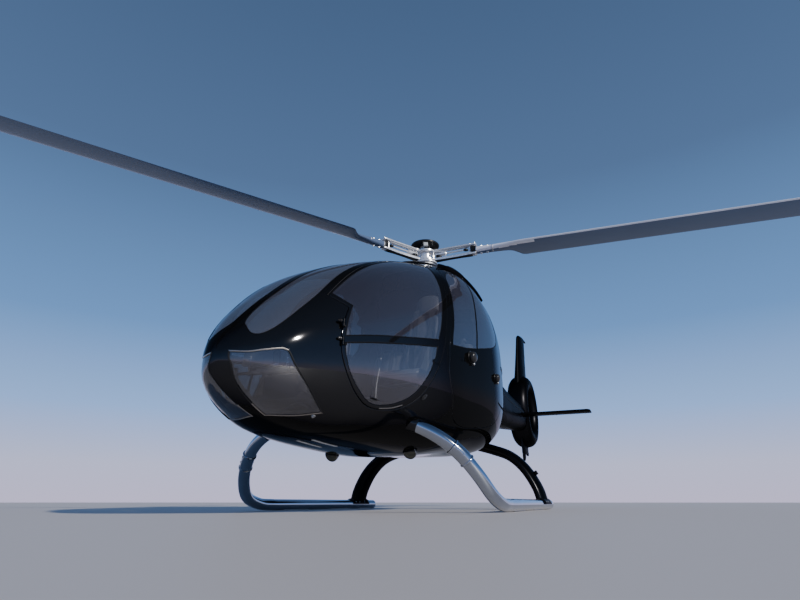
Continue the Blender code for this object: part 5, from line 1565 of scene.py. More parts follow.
# %% Hub
def hub_parts():
    steel = [lathe([(0.051, 2.6644), (0.112, 2.6644), (0.118, 2.668), (0.118, 2.688), (0.112, 2.692),
                    (0.082, 2.694), (0.074, 2.705), (0.074, 2.765), (0.082, 2.774), (0.112, 2.776), (0.118, 2.780),
                    (0.118, 2.798), (0.112, 2.802), (0.066, 2.804), (0.060, 2.812), (0.060, 2.862), (0.0, 2.862),
                    (0.0, 2.6644)], sides=64)]
    dark = [lathe([(0, 2.8625), (0.150, 2.8625), (0.160, 2.866), (0.165, 2.872), (0.165, 2.886), (0.160, 2.892),
                   (0.148, 2.895), (0.062, 2.895), (0, 2.894)], sides=72)]
    steel.append(lathe([(0, 2.893), (0.052, 2.893), (0.054, 2.898), (0.050, 2.912), (0.036, 2.918), (0.034, 2.934),
                        (0.028, 2.940), (0, 2.940)], sides=40))
    steel += [hex_bolt(spot, (0, 0, 1), 0.013) for spot in spots_round(12, 0.132, 2.894)]
    steel += [hex_bolt(spot, (0, 0, 1), 0.016) for spot in spots_round(6, 0.093, 2.801, 0.5)]
    for spot in spots_round(6, 0.093, 2.6655, 0.5):
        dark.append(lathe([(0, 0), (0.010, 0), (0.010, 0.002), (0, 0.002)], spot, sides=12))
    for k in range(3):
        turn = turned(BLADE_ANGLES[0] + 60 + 120 * k)
        dark.append(moved(block((0.055, -0.026, 2.812), (0.125, 0.026, 2.858), 0.006), turn))
        dark += [moved(rod((0.148, y, 2.820), (0.148, y, 2.864), 0.007, 14), turn) for y in (0.052, -0.052)]
    return steel, dark


steel, dark = hub_parts()
steel_parts += steel
dark_parts += dark
box_turn = turned(BLADE_ANGLES[2] + 60 - 8)
sensor = [moved(block((0.104, -0.025, 2.816), (0.150, 0.025, 2.861), 0.004), box_turn),
          *(moved(hex_bolt((0.150, y, z), (1, 0, 0), 0.008), box_turn) for y in (-0.018, 0.018)
            for z in (2.824, 2.853))]
print("rotor head:", len(steel_parts + links + dark_parts + sensor), "parts")
place_piece("rotor_head", by_slot(steel_parts + links, dark_parts, sensor),
            [BRIGHT_STEEL, DARK_FITTING, LIGHT_PLASTIC], "main_rotor", ["rotor_hub"])

# %% Swashplate and mast
def swash_ring(profile, sides):
    """Turned ring about the mast, with its heights counted from the swashplate's lower face."""
    return lathe([(radius, SWASH_LOW + height) for radius, height in profile], sides=sides)


swash_height = SWASH_TOP - SWASH_LOW
shaft = lathe([(0, 2.401), (0.046, 2.401), (0.048, 2.405), (0.048, 2.599), (0.052, 2.603), (0.052, 2.660),
               (0.049, 2.664), (0, 2.664)], sides=56)
upper = swash_ring([(0.0525, 0.030), (0.136, 0.028), (0.143, 0.031), (0.145, 0.038), (0.143, swash_height - 0.006),
                    (0.130, swash_height - 0.002), (0.090, swash_height - 0.001), (0.060, swash_height),
                    (0.0525, swash_height), (0.0525, 0.030)], 72)
bolts = [hex_bolt(spot, (0, 0, 1), 0.010) for spot in spots_round(12, 0.104, SWASH_TOP - 0.0025, 0.5)]
lower = swash_ring([(0.0525, 0.002), (0.120, 0), (0.128, 0.003), (0.131, 0.012), (0.131, 0.022), (0.120, 0.025),
                    (0.0525, 0.025), (0.0525, 0.002)], 64)
bearing = swash_ring([(0.0525, 0.0252), (0.127, 0.0252), (0.127, 0.0282), (0.0525, 0.0282), (0.0525, 0.0252)], 56)
place_piece("swashplate_and_mast", by_slot([shaft, upper, *bolts], [lower], [bearing]),
            [BRIGHT_STEEL, CAST_ALLOY, RUBBER], "main_rotor", ["rotor_mast"])
print("mast and swashplate done")

# %% [markdown]
# ## Blades
#
# A blade is a long streamlined section: round at the nose, full at a quarter of its depth, sharp behind. It is
# lofted here from a table of stations, and the sections thin out and round off towards the root and the tip.
# A steel strip protects the leading edge from sand. Its pale colour also stands in for the highlight along that
# edge, so it is partly a painted highlight.

# %% Blade
BLADE_PITCH, BLADE_DROOP, BLADE_ROOT_Z = 9.2, 1.65, 2.712
# radius, leading edge ahead of the pitch axis, trailing edge behind it, thickness, fullness forward
BLADE_STATIONS = np.array(((0.612, 0.045, 0.045, 0.085, 0.0), (0.760, 0.050, 0.055, 0.075, 0.0),
                           (0.960, 0.066, 0.080, 0.055, 0.1), (1.000, 0.070, 0.098, 0.050, 0.1),
                           (1.050, 0.076, 0.150, 0.045, 0.2), (1.090, 0.080, 0.196, 0.040, 0.4),
                           (1.130, 0.082, 0.210, 0.038, 0.4), (1.300, 0.082, 0.210, 0.036, 0.4),
                           (4.700, 0.082, 0.210, 0.030, 0.4), (4.900, 0.062, 0.204, 0.024, 0.4),
                           (5.000, 0.010, 0.190, 0.012, 0.3)))
SECTION_SIDES = 44


def blade_mesh():
    """One blade along +X with its leading edge towards -Y."""
    pitch, droop = math.radians(BLADE_PITCH), math.tan(math.radians(BLADE_DROOP))
    spans = ((0.612, 1.04, 16), (1.045, 1.32, 14), (1.5, 4.6, 14), (4.7, 4.995, 12))
    radii = np.concatenate([np.round(np.linspace(*span), 4) for span in spans])
    rings = []
    for radius in radii:
        lead, trail, thick, forward = along_table(BLADE_STATIONS, radius, (1, 2, 3, 4))
        z = BLADE_ROOT_Z - droop * (radius - BLADE_STATIONS[0, 0])
        ring = []
        for a in turns(SECTION_SIDES):
            chord = (lead - trail) / 2 + (lead + trail) / 2 * math.cos(a)
            height = thick / 2 * math.sin(a) * (1 + forward * math.cos(a))
            flat = chord * math.cos(pitch) - height * math.sin(pitch)
            ring.append(Vector((radius, -flat, z + chord * math.sin(pitch) + height * math.cos(pitch))))
        rings.append(ring)
    mesh = facing_out(loft(rings, sharp=60))
    # Faces near the leading edge get the pale strip, which also paints the highlight along that edge.
    for polygon in mesh.polygons:
        depth = -polygon.center.y / math.cos(pitch)
        polygon.material_index = int(depth > (0.066 if polygon.center.x > 1.25 else 0.030))
    return mesh


def blade_fittings():
    """Root bolts and cuff edges of one blade along +X."""
    droop = math.tan(math.radians(BLADE_DROOP))
    parts = []
    for x in (0.665, 0.735):
        z = BLADE_ROOT_Z - droop * (x - BLADE_STATIONS[0, 0])
        thick = along_table(BLADE_STATIONS, x, [3])[0]
        for s in (1, -1):
            parts.append(hex_bolt((x, 0, z + s * (thick / 2 - 0.002)), (0, 0, s), 0.024))
    for x in (0.618, 0.80):
        z = BLADE_ROOT_Z - droop * (x - BLADE_STATIONS[0, 0])
        half, thick = along_table(BLADE_STATIONS, x, (2, 3))
        ring = soft_rectangle(1.02 * half, thick / 2 + 0.0015, 1, 40)
        parts.append(plate(ring, 0.010, axes_at((x, 0, z), (0, -1, 0), (0, 0, -1), (1, 0, 0)), 0.002))
    return joined(parts)


for number, angle in enumerate(BLADE_ANGLES, start=1):
    mesh = moved(blade_mesh(), turned(angle))
    place_piece(f"blade_skin_{number}", mesh, [BLADE_PAINT, BLADE_STRIP_AND_HIGHLIGHT], "main_rotor",
                [f"main_blade_{number}"])
    place_piece(f"blade_fittings_{number}", moved(blade_fittings(), turned(angle)), BRIGHT_STEEL, "main_rotor")
print("blades done, reach", BLADE_STATIONS[-1, 0], "m")

# %% [markdown]
# ## Tail boom and fan shroud
#
# The boom tapers from the body's rear ring to the fan's shroud. The shroud is one thick ring with a rounded
# lip, so that air flows in cleanly. A lathe could turn it from straight pieces, but a smooth closed curve
# through the same few points gives a lip without facets.

# %% Boom
# y, half width, top z, low z
BOOM = np.array(((1.500, 0.385, 1.925, 1.010), (2.2, 0.285, 1.850, 1.085), (3.3, 0.215, 1.800, 1.165),
                 (4.4, 0.170, 1.775, 1.265), (5.0, 0.150, 1.765, 1.328)))
BOOM_POWERS = (2.6, 2.7)  # roundness of the upper and of the lower half
BOOM_MIDDLE = 0.514  # height of the widest line, as a share of the section


def boom_point(y, angle, grow=0.0):
    """Point on the boom: the angle runs from 0 at its left to 90 on top."""
    half, top, low = along_table(BOOM, y, (1, 2, 3))
    middle = low + BOOM_MIDDLE * (top - low)
    cos, sin = math.cos(math.radians(angle)), math.sin(math.radians(angle))
    size = oval_size(cos, sin, BOOM_POWERS[0 if sin >= 0 else 1])
    height = (top - middle if sin >= 0 else middle - low) + grow
    return Vector(((half + grow) * size * cos, y, middle + height * size * sin))


boom_rows = [[boom_point(y, a) for a in np.linspace(0, 360, 80, endpoint=False)]
             for y in np.linspace(BOOM[0, 0], BOOM[-1, 0], 60)]
place_piece("boom_skin", facing_out(loft(boom_rows, sharp=45)), SHADED_SATIN_PAINT, "airframe", ["tail_boom"])

# %% Boom seams, painted shade lines and access covers
SEAM_AND_SHADE_LINE_SECTION = ((-0.006, -0.004), (-0.005, 0.0016), (0.005, 0.0016), (0.006, -0.004))
seams_and_shade_lines = []
for y in (1.62, 2.45, 3.30, 4.12):
    rows = [[boom_point(y + across, a, lift) for across, lift in SEAM_SECTION]
            for a in np.linspace(0, 360, 72, endpoint=False)]
    seams_and_shade_lines.append(facing_out(loft(rows, closed_along=True)))
# Two long dark lines run just above the boom's widest line. They are seams, and they are also painted shade,
# standing in for the dark line of shade and reflection along its sides.
for angle in (14, 166):
    rows = [[boom_point(y, angle + 60 * across / 0.16, lift) for across, lift in SEAM_AND_SHADE_LINE_SECTION]
            for y in np.linspace(1.53, 4.70, 40)]
    seams_and_shade_lines.append(facing_out(loft(rows)))
place_piece("boom_seams_and_shade_lines", joined(seams_and_shade_lines), RUBBER, "airframe")
covers, studs = [], []
for y in (1.95, 2.85, 3.70):
    seat = axes_at(boom_point(y, 90), (0, 1, 0), (-1, 0, 0), (0, 0, 1))
    covers.append(plate(soft_rectangle(0.16, 0.055, 0.35, 48), 0.006, seat, 0.0015))
    for x in (-0.14, 0.0, 0.14):
        for z in (-0.042, 0.042):
            studs.append(hex_bolt(seat @ Vector((x, z, 0.002)), (0, 0, 1), 0.009))
place_piece("boom_covers", by_slot(covers, studs), [SHADED_SATIN_PAINT, CAST_ALLOY], "airframe")
print("boom done")

# %% Shroud
FAN_Y, FAN_Z, FAN_R = 5.470, 1.750, 0.375
# radius from the fan's axis, distance to the side
SHROUD = ((0.385, 0.070), (0.400, 0.125), (0.440, 0.165), (0.510, 0.190), (0.580, 0.185), (0.640, 0.150),
          (0.680, 0.090), (0.695, 0.0))


def closed_curve(points, step):
    """Smooth closed curve through points, in one plane."""
    wrapped = [points[-1], *points, points[0], points[1]]
    path = []
    for p0, p1, p2, p3 in zip(wrapped, wrapped[1:], wrapped[2:], wrapped[3:]):
        count = max(1, round(math.dist(p1, p2) / step))
        for k in range(count):
            t = k / count
            path.append(tuple(0.5 * (2 * b + (c - a) * t + (2 * a - 5 * b + 4 * c - d) * t * t
                                     + (3 * b - a - 3 * c + d) * t ** 3) for a, b, c, d in zip(p0, p1, p2, p3)))
    return path


def around_fan(section, sides=112):
    """Turn a closed section of (radius, x) about the fan's axis."""
    rings = []
    for a in turns(sides):
        rings.append([Vector((x, FAN_Y + r * math.cos(a), FAN_Z + r * math.sin(a))) for r, x in section])
    return facing_out(loft(rings, closed_along=True))


loop = [*SHROUD, *((r, -x) for r, x in SHROUD[-2::-1])]
place_piece("shroud_ring", around_fan(closed_curve(loop, 0.016)), SHADED_SATIN_PAINT, "airframe",
            ["fan_shroud"])
LIP = [(0.588, 0.1822), (0.590, 0.1845), (0.594, 0.1835), (0.594, 0.178), (0.588, 0.178)]
lips = [around_fan([(r, side * x) for r, x in LIP]) for side in (1, -1)]
rubbing = around_fan([(0.3835, -0.045), (0.3868, -0.045), (0.3868, 0.045), (0.3835, 0.045)])
place_piece("shroud_trim", by_slot(lips, [rubbing]), [RUBBER, DARK_FITTING], "airframe")
print("shroud done, duct radius", SHROUD[0][0])

# %% [markdown]
# ## Fan in the duct
#
# Eight blades sit on a round hub. Each is a small twisted wing, steep at the root and flat at the tip, because
# the tip moves much faster. The gearbox behind it hangs on three streamlined struts, which leave a gap all
# round the blades.

# %% Fan
FAN_BLADES, FAN_AT, HUB_R = 8, (0, FAN_Y, FAN_Z), 0.100


def round_fan(angle):
    """Matrix with its origin on the fan's axis, turned about it."""
    return Matrix.Translation(FAN_AT) @ Matrix.Rotation(angle, 4, "X")


def fan_mesh():
    steel = []
    for angle in turns(FAN_BLADES):
        turn = round_fan(angle)
        rings = []
        for t in np.linspace(0, 1, 12):
            radius = HUB_R + (FAN_R - 0.002 - HUB_R) * t
            pitch = math.radians(50 - 26 * t)
            chord = 0.074 - 0.016 * t
            thick = (0.013 - 0.008 * t) * (1.0 if t < 0.95 else 0.6)
            ring = []
            for a in turns(20):
                along = chord / 2 * math.cos(a)
                bent = 0.004 * math.sin(math.pi * (0.5 - along / chord))
                off = thick / 2 * math.sin(a) * (1 + 0.3 * math.cos(a)) + bent
                ring.append(turn @ Vector((along * math.sin(pitch) + off * math.cos(pitch),
                                           along * math.cos(pitch) - off * math.sin(pitch), radius)))
            rings.append(ring)
        steel.append(facing_out(loft(rings, sharp=60)))
        root = turn @ Vector((0, 0, 0.119))
        steel.append(lathe([(0, -0.004), (0.028, -0.002), (0.028, 0.004), (0.020, 0.009), (0, 0.009)], root,
                           outward(turn), 24))
    hub = lathe([(0, -0.070), (0.121, -0.070), (0.125, -0.066), (0.125, 0.050), (0.121, 0.058), (0.112, 0.066),
                 (0.092, 0.078), (0.064, 0.088), (0.030, 0.0935), (0, 0.0945)], FAN_AT, (1, 0, 0), 64)
    for angle in turns(FAN_BLADES, 0.5):
        steel.append(hex_bolt(round_fan(angle) @ Vector((0.0775, 0, 0.082)), (1, 0, 0), 0.011))
    return by_slot(steel, [hub])


place_piece("fan_rotor", fan_mesh(), [CAST_ALLOY, SHADED_SATIN_PAINT], "tail_rotor", ["tail_fan"])


# %% Gearbox and struts
def strut_mesh(angle):
    """Streamlined strut from the gearbox into the ring: its thin side faces the air that flows along X."""
    turn = round_fan(math.radians(angle))
    rings = []
    for r in np.linspace(0.06, 0.43, 14):
        flare = 1 + 0.35 * max(0.0, (0.16 - r) / 0.1) ** 2
        lean = -0.1175 + 0.012 * max(0.0, (r - 0.36) / 0.07)
        rings.append([turn @ Vector((lean + 0.022 * math.cos(a),
                                     0.017 * flare * math.sin(a) * (1 - 0.35 * math.cos(a)), r))
                      for a in turns(24)])
    return facing_out(loft(rings))


case = [lathe([(0, -0.175), (0.028, -0.175), (0.040, -0.171), (0.062, -0.168), (0.078, -0.160), (0.086, -0.148),
               (0.090, -0.132), (0.094, -0.130), (0.094, -0.122), (0.089, -0.119), (0.092, -0.096), (0.104, -0.092),
               (0.1045, -0.080), (0.100, -0.0705), (0, -0.0705)], FAN_AT, (1, 0, 0), 56)]
case += [strut_mesh(angle) for angle in (90, 210, 330)]
case += [hex_bolt(round_fan(angle) @ Vector((-0.158, 0, 0.076)), (-1, 0, 0), 0.010) for angle in turns(10, 0.5)]
place_piece("fan_gear_case", joined(case), CAST_ALLOY, "airframe", ["fan_gearbox"])
print("fan and gear case done")

# %% [markdown]
# ## Fin, tailplanes and guard
#
# These are wings too: sections along a table, with a rounded tip. The fin's foot grows out of the shroud, and
# the guard below it takes the first touch when the tail comes down too low.

# %% Fin
# z at the leading and the trailing edge, y of each, thickness
FIN = np.array(((2.165, 2.165, 4.936, 5.931, 0.197), (2.450, 2.450, 5.060, 5.940, 0.150),
                (2.880, 2.900, 5.230, 6.050, 0.105), (3.270, 3.370, 5.400, 6.150, 0.085),
                (3.322, 3.405, 5.470, 6.142, 0.066), (3.341, 3.4193, 5.530, 6.126, 0.036)))
# z, leading edge y, trailing edge y, thickness
GUARD = np.array(((1.200, 5.053, 5.657, 0.060), (0.930, 5.060, 5.650, 0.060)))
FRONT_PRONG = np.array(((0.970, 5.085, 5.370, 0.046), (0.860, 5.085, 5.340, 0.046), (0.812, 5.100, 5.285, 0.040),
                        (0.791, 5.120, 5.245, 0.020)))
REAR_PRONG = np.array(((0.970, 5.490, 5.630, 0.046), (0.918, 5.506, 5.623, 0.042), (0.906, 5.520, 5.612, 0.022)))


def wing(table, place, steps=26, sides=44, bulge=0.3):
    """Streamlined sections along a table of (station, front, rear, thickness), placed by a function."""
    rings = []
    rising = table[np.argsort(table[:, 0])]
    for t in np.linspace(0, 1, steps):
        station = table[0, 0] + (table[-1, 0] - table[0, 0]) * (1 - (1 - t) ** 1.6)
        front, rear, thick = along_table(rising, station, (1, 2, 3))
        ring = []
        for a in turns(sides):
            y = (front + rear) / 2 - (rear - front) / 2 * math.cos(a)
            ring.append(place(station, y, thick / 2 * math.sin(a) * (1 + bulge * math.cos(a))))
        rings.append(ring)
    return facing_out(loft(rings, sharp=50))


def upright(z, y, off):
    return Vector((off, y, z))


def on_fin(z, y, off):
    """The fin's sections rise towards its trailing edge."""
    rear_z, front, rear = along_table(FIN, z, (1, 2, 3))
    return Vector((off, y, z + (rear_z - z) * (y - front) / (rear - front)))


fin_table = FIN[:, (0, 2, 3, 4)]
place_piece("fin_skin", wing(fin_table, on_fin), SHADED_SATIN_PAINT, "airframe", ["tail_fin"])
guard = [wing(table, upright, steps=14) for table in (GUARD, FRONT_PRONG, REAR_PRONG)]
shoe = bar(smooth_path([(0.0, 5.112, 0.820), (0.0, 5.150, 0.800), (0.0, 5.220, 0.800), (0.0, 5.262, 0.822)], 0.02),
           circle(0.009, 14))
place_piece("guard_skin", by_slot(guard, [shoe]), [SHADED_SATIN_PAINT, CAST_ALLOY], "airframe",
            ["tail_guard"])
LAMP_SEAT = (0, 6.080, 3.388)
lamp_case = lathe([(0, -0.006), (0.0172, -0.006), (0.0176, 0.0), (0.0176, 0.196), (0.0150, 0.204), (0, 0.205)],
                  LAMP_SEAT, (0, 1, 0), 28)
lamp_lens = lathe([(0, 0.20), (0.0165, 0.20), (0.0172, 0.214), (0.0168, 0.245), (0.0125, 0.266), (0.006, 0.276),
                   (0, 0.2785)], LAMP_SEAT, (0, 1, 0), 28)
fin_lines = []
for z in (2.62, 2.80, 3.02):
    y = float(np.interp(z, FIN[:, 1], FIN[:, 3]))
    fin_lines.append(rod((0, y - 0.006, z), (0, y + 0.09, z - 0.012), 0.0024, 8))
for side in (1, -1):
    rows = []
    for z in np.linspace(2.46, 3.24, 18):
        front, rear, thick = along_table(FIN, z, (2, 3, 4))
        y = rear - 0.19
        cos = ((front + rear) / 2 - y) / ((rear - front) / 2)
        x = side * thick / 2 * math.sqrt(1 - cos * cos) * (1 + 0.3 * cos)
        rows.append([on_fin(z, y + a, x + side * h) for a, h in SEAM_SECTION])
    fin_lines.append(facing_out(loft(rows)))
place_piece("fin_lamp_and_wicks", by_slot([lamp_lens], fin_lines, [lamp_case]), [LAMP_GLASS, RUBBER, SHADED_SATIN_PAINT],
            "airframe")
print("fin and guard done")

# %% Tailplanes
STAB_Z, STAB_LEAD, STAB_TRAIL, STAB_THICK, STAB_TIP = 1.560, 4.450, 4.870, 0.045, 1.316
STAB = np.array(((0.120, STAB_LEAD, STAB_TRAIL, STAB_THICK), (1.270, STAB_LEAD, STAB_TRAIL, STAB_THICK),
                 (1.300, STAB_LEAD + 0.018, STAB_TRAIL - 0.004, 0.036),
                 (STAB_TIP - 0.0005, STAB_LEAD + 0.05, STAB_TRAIL - 0.012, 0.016)))
STAB_FOOT = np.array(((0.135, STAB_LEAD - 0.012, STAB_TRAIL + 0.02, 0.085),
                      (0.180, STAB_LEAD - 0.004, STAB_TRAIL + 0.01, 0.058), (0.215, STAB_LEAD, STAB_TRAIL, 0.046)))


def on_stab(side):
    return lambda x, y, off: Vector((side * x, y, STAB_Z + off))


for side, tag, door in SIDES:
    plane, foot = wing(STAB, on_stab(side), steps=30), wing(STAB_FOOT, on_stab(side), steps=10)
    place_piece(f"tailplane_skin_{tag}", joined([plane, foot]), SHADED_SATIN_PAINT, "airframe",
                [f"tailplane_{tag}"])
    wicks = [rod((side * x, STAB_TRAIL - 0.006, STAB_Z), (side * x, STAB_TRAIL + 0.07, STAB_Z - 0.004), 0.0022, 8)
             for x in (0.7, 0.95, 1.2)]
    place_piece(f"tailplane_wicks_{tag}", joined(wicks), RUBBER, "airframe")
print("tailplanes done")

# %% [markdown]
# ## Skids
#
# Each skid is one long bent tube, polished like a mirror: it leaves the belly, runs down as the front leg and
# turns aft along the ground. A smooth path through a few measured points, swept with a circle, gives the bend.
# A clamp sleeve with two flanges joins leg and root, a painted fairing covers where the leg leaves the belly,
# and the rear end is closed with a rounded plug.

# %% Skid tube
TUBE_R, SKID_X, SKID_REAR = 0.0465, 1.028, 0.820  # radius, distance from the middle, rear end
SKID_PATH = ((0.463, -1.895, 0.611), (0.609, -1.878, 0.550), (0.740, -1.840, 0.479), (0.863, -1.766, 0.372),
             (0.956, -1.671, 0.237), (1.014, -1.544, 0.112), (1.031, -1.359, 0.056), (1.028, -1.150, TUBE_R))
LEG = smooth_path(SKID_PATH, 0.018)
LEG_LENGTHS = np.concatenate(([0.0], np.cumsum([(b - a).length for a, b in zip(LEG, LEG[1:])])))


def leg_piece(start, end, profile, sides=56):
    """Sleeve round the leg between two lengths: the profile is (share of its length, radius)."""
    shares = np.linspace(0, 1, max(4, round((end - start) / 0.006)))
    places, radii = zip(*profile)
    marks = sorted({*shares, *places})
    path, scales = [], []
    for share in marks:
        length = start + (end - start) * share
        k = int(np.clip(np.searchsorted(LEG_LENGTHS, length), 1, len(LEG) - 1))
        t = (length - LEG_LENGTHS[k - 1]) / (LEG_LENGTHS[k] - LEG_LENGTHS[k - 1])
        path.append(LEG[k - 1].lerp(LEG[k], float(t)))
        scales.append(float(np.interp(share, places, radii)))
    return bar(path, circle(1.0, sides), up=(0, 0, 1), scales=scales, sharp=25)


def skid_parts():
    tube = bar([*LEG, *(Vector((SKID_X, y, TUBE_R)) for y in np.linspace(-1.05, SKID_REAR - 0.012, 30))],
               circle(TUBE_R - 0.0004, 56), up=(0.3, 0.2, 1), sharp=50)
    sleeve = leg_piece(0.425, 0.574, [(0, 0.049), (0.02, 0.0535), (0.035, 0.0545), (0.075, 0.0545), (0.09, 0.0535),
                                      (0.1, 0.0492), (0.9, 0.0492), (0.91, 0.0535), (0.925, 0.0545),
                                      (0.965, 0.0545), (0.98, 0.0535), (1, 0.049)])
    plug = lathe([(0, -0.014), (TUBE_R - 0.002, -0.014), (TUBE_R - 0.002, 0.002), (TUBE_R - 0.0045, 0.009),
                  (TUBE_R - 0.014, 0.012), (0, 0.012)], (SKID_X, SKID_REAR - 0.0125, TUBE_R), (0, 1, 0), 48)
    root = leg_piece(0.0, 0.165, [(0, 0.062), (0.7, 0.057), (0.93, 0.053), (1, 0.0485)])
    bolts = []
    for length in (0.445, 0.500, 0.555):
        k = int(np.searchsorted(LEG_LENGTHS, length))
        ahead = (LEG[k + 1] - LEG[k - 1]).normalized()
        for turn in (0, 180):
            out = ahead.cross(Vector((0, 0, 1))).normalized()
            out.rotate(Matrix.Rotation(math.radians(turn), 3, ahead))
            bolts.append(hex_bolt(LEG[k] + out * (TUBE_R + 0.0018), out, 0.011))
    shoes = []
    for low, high in ((-1.02, -0.62), (-0.20, 0.20), (0.45, 0.74)):
        section = [(0.026 * math.sin(a), -(TUBE_R - 0.0005) + 0.007 * (1 - math.cos(a)))
                   for a in np.linspace(-1.0, 1.0, 9)]
        section += [(x * 0.96, y + 0.006) for x, y in section[::-1]]
        shoes.append(bar([(SKID_X, y, TUBE_R) for y in np.linspace(low, high, 8)], section, up=(0, 0, 1)))
    return by_slot([tube, sleeve, *bolts], [plug], shoes, [root])


for side, tag, door in SIDES:
    mesh = for_side(skid_parts(), side)
    place_piece(f"skid_tube_{tag}", mesh, [POLISHED_TUBE, DARK_FITTING, CAST_ALLOY, BODY_PAINT], "airframe",
                [f"skid_{tag}"])
print("skid, leg length", round(float(LEG_LENGTHS[-1]), 2), "m")

# %% [markdown]
# ## Rear struts
#
# The rear cross tube wears a black fairing of oval section, wide along the machine and thin across, so that it
# slips through the air. Each half bends down to a saddle that wraps the skid and is bolted to it, and carries a
# small lug for the ground-handling wheels. One oval swept along a smooth path makes the fairing.

# %% Strut, saddle and lug
STRUT_WIDE, STRUT_THICK, STRUT_Y, SADDLE_LENGTH = 0.320, 0.102, 0.439, 0.350
STRUT_PATH = ((0.360, STRUT_Y, 0.640), (0.560, STRUT_Y, 0.582), (0.740, STRUT_Y, 0.511), (0.880, STRUT_Y, 0.384),
              (0.990, STRUT_Y, 0.196), (1.027, STRUT_Y, 0.070))


def oval(grow=0.0, sides=64):
    """Strut's section: its second value runs along the machine."""
    return [((STRUT_THICK / 2 + grow) * math.sin(a), (STRUT_WIDE / 2 + grow) * math.cos(a)) for a in turns(sides)]


def saddle_half(length, thick=0.0135):
    """Upper shell over the skid, open below."""
    inner, outer = TUBE_R + 0.0012, TUBE_R + 0.0012 + thick
    angles = np.linspace(math.radians(2), math.radians(178), 30)
    section = [(outer * math.cos(a), outer * math.sin(a)) for a in angles]
    section += [(inner * math.cos(a), inner * math.sin(a)) for a in angles[::-1]]
    path = [Vector((SKID_X, STRUT_Y + length * t, TUBE_R)) for t in np.linspace(-0.5, 0.5, 7)]
    return bar(path, section, up=(0, 0, 1), sharp=35)


def on_strut(x, z, out=(0.863, 0, 0.505), lift=STRUT_THICK / 2):
    """Place and turn of something that stands on the strut's outer face."""
    out = Vector(out).normalized()
    aft = Vector((0, 1, 0))
    return axes_at(Vector((x, STRUT_Y, z)) + out * lift, out.cross(aft), aft, out)


def strut_parts():
    path = smooth_path(STRUT_PATH, 0.02)
    black = [bar(path, oval(), up=(0, 1, 0), sharp=50), saddle_half(SADDLE_LENGTH - 0.004)]
    seam = [point for point in path if 0.108 < point.z < 0.140]
    black.append(bar(seam, oval(0.0022), up=(0, 1, 0), sharp=30))
    bolts = []
    for y in (-0.150, -0.060, 0.060, 0.150):
        for turn in (24, 156):
            out = Vector((math.cos(math.radians(turn)), 0, math.sin(math.radians(turn))))
            bolts.append(hex_bolt(Vector((SKID_X, STRUT_Y + y, TUBE_R)) + out * 0.0605, out, 0.010))
    seat = on_strut(0.924, 0.309)
    for low, high in (((-0.020, -0.016, -0.008), (0.020, -0.006, 0.034)),
                      ((-0.020, 0.006, -0.008), (0.020, 0.016, 0.034)),
                      ((-0.026, -0.024, -0.006), (0.026, 0.024, 0.004))):
        black.append(moved(block(low, high, 0.003), seat))
    black.append(rod(seat @ Vector((0.006, -0.022, 0.020)), seat @ Vector((0.006, 0.022, 0.020)), 0.0075, 16))
    return by_slot(black, bolts)


for side, tag, door in SIDES:
    mesh = for_side(strut_parts(), side)
    place_piece(f"rear_strut_tube_{tag}", mesh, [STRUT_PAINT, CAST_ALLOY], "airframe",
                [f"rear_strut_{tag}"])
print("rear struts done")

# %% [markdown]
# ## Belly lamps
#
# Two landing lamps look out of the belly, forward and down: a dark round housing, a thin bezel and a
# smoked, slightly domed lens with a ribbed reflector behind it.

# %% Lamps
LAMP_AT, LAMP_R = Vector((0.344, -1.355, 0.430)), 0.056
LAMP_AIM = Vector((0, -0.86, -0.51)).normalized()


def lamp_parts():
    housing = lathe([(0, -LAMP_R), (0.028, -0.048), (0.045, -0.032), (0.054, -0.012), (0.0555, 0.004),
                     (0.0545, 0.016), (0.050, 0.021), (0.0475, 0.019), (0.0465, 0.010), (0.030, 0.000),
                     (0, -0.004)], LAMP_AT, LAMP_AIM, 56)
    bezel = lathe([(0.0465, 0.0165), (0.049, 0.020), (0.0518, 0.0212), (0.0545, 0.0185), (0.0552, 0.014),
                   (0.0548, 0.0128), (0.0465, 0.0165)], LAMP_AT, LAMP_AIM, 56)
    lens = lathe([(0, 0.0255), (0.020, 0.0245), (0.036, 0.0215), (0.0465, 0.0180), (0.0465, 0.0150),
                  (0.030, 0.0190), (0, 0.0215)], LAMP_AT, LAMP_AIM, 48)
    ribs = [lathe([(0.006 + 0.008 * k, 0.0095), (0.0095 + 0.008 * k, 0.013), (0.013 + 0.008 * k, 0.0095),
                   (0.006 + 0.008 * k, 0.0095)], LAMP_AT, LAMP_AIM, 40) for k in range(4)]
    flange = lathe([(0.050, -0.006), (0.057, -0.003), (0.058, 0.002), (0.057, 0.005), (0.050, 0.007),
                    (0.050, -0.006)], LAMP_AT + Vector((0, 0, -0.003)), (0.14, 0, -1), 48)
    return by_slot([housing, flange], [bezel], [lens], ribs)


for side, tag, door in SIDES:
    mesh = for_side(lamp_parts(), side)
    place_piece(f"belly_lamp_parts_{tag}", mesh, [DARK_FITTING, CAST_ALLOY, LAMP_GLASS, LIGHT_PLASTIC], "airframe",
                [f"belly_lamp_{tag}"])
print("belly lamps done")

# %% [markdown]
# ## Seats
#
# A seat pad is foam under a tight cover: it stands fullest in the middle, its sides pull in between the corners,
# and seams and sewn channels press lines into it. Cloth simulation could inflate each one. A rounded block whose
# shape follows a formula gives the same crown and lets the channels stay sharp, so the pads are made that way:
# a cube's grid is pushed out to a rounded form, then crowned, waisted and grooved.


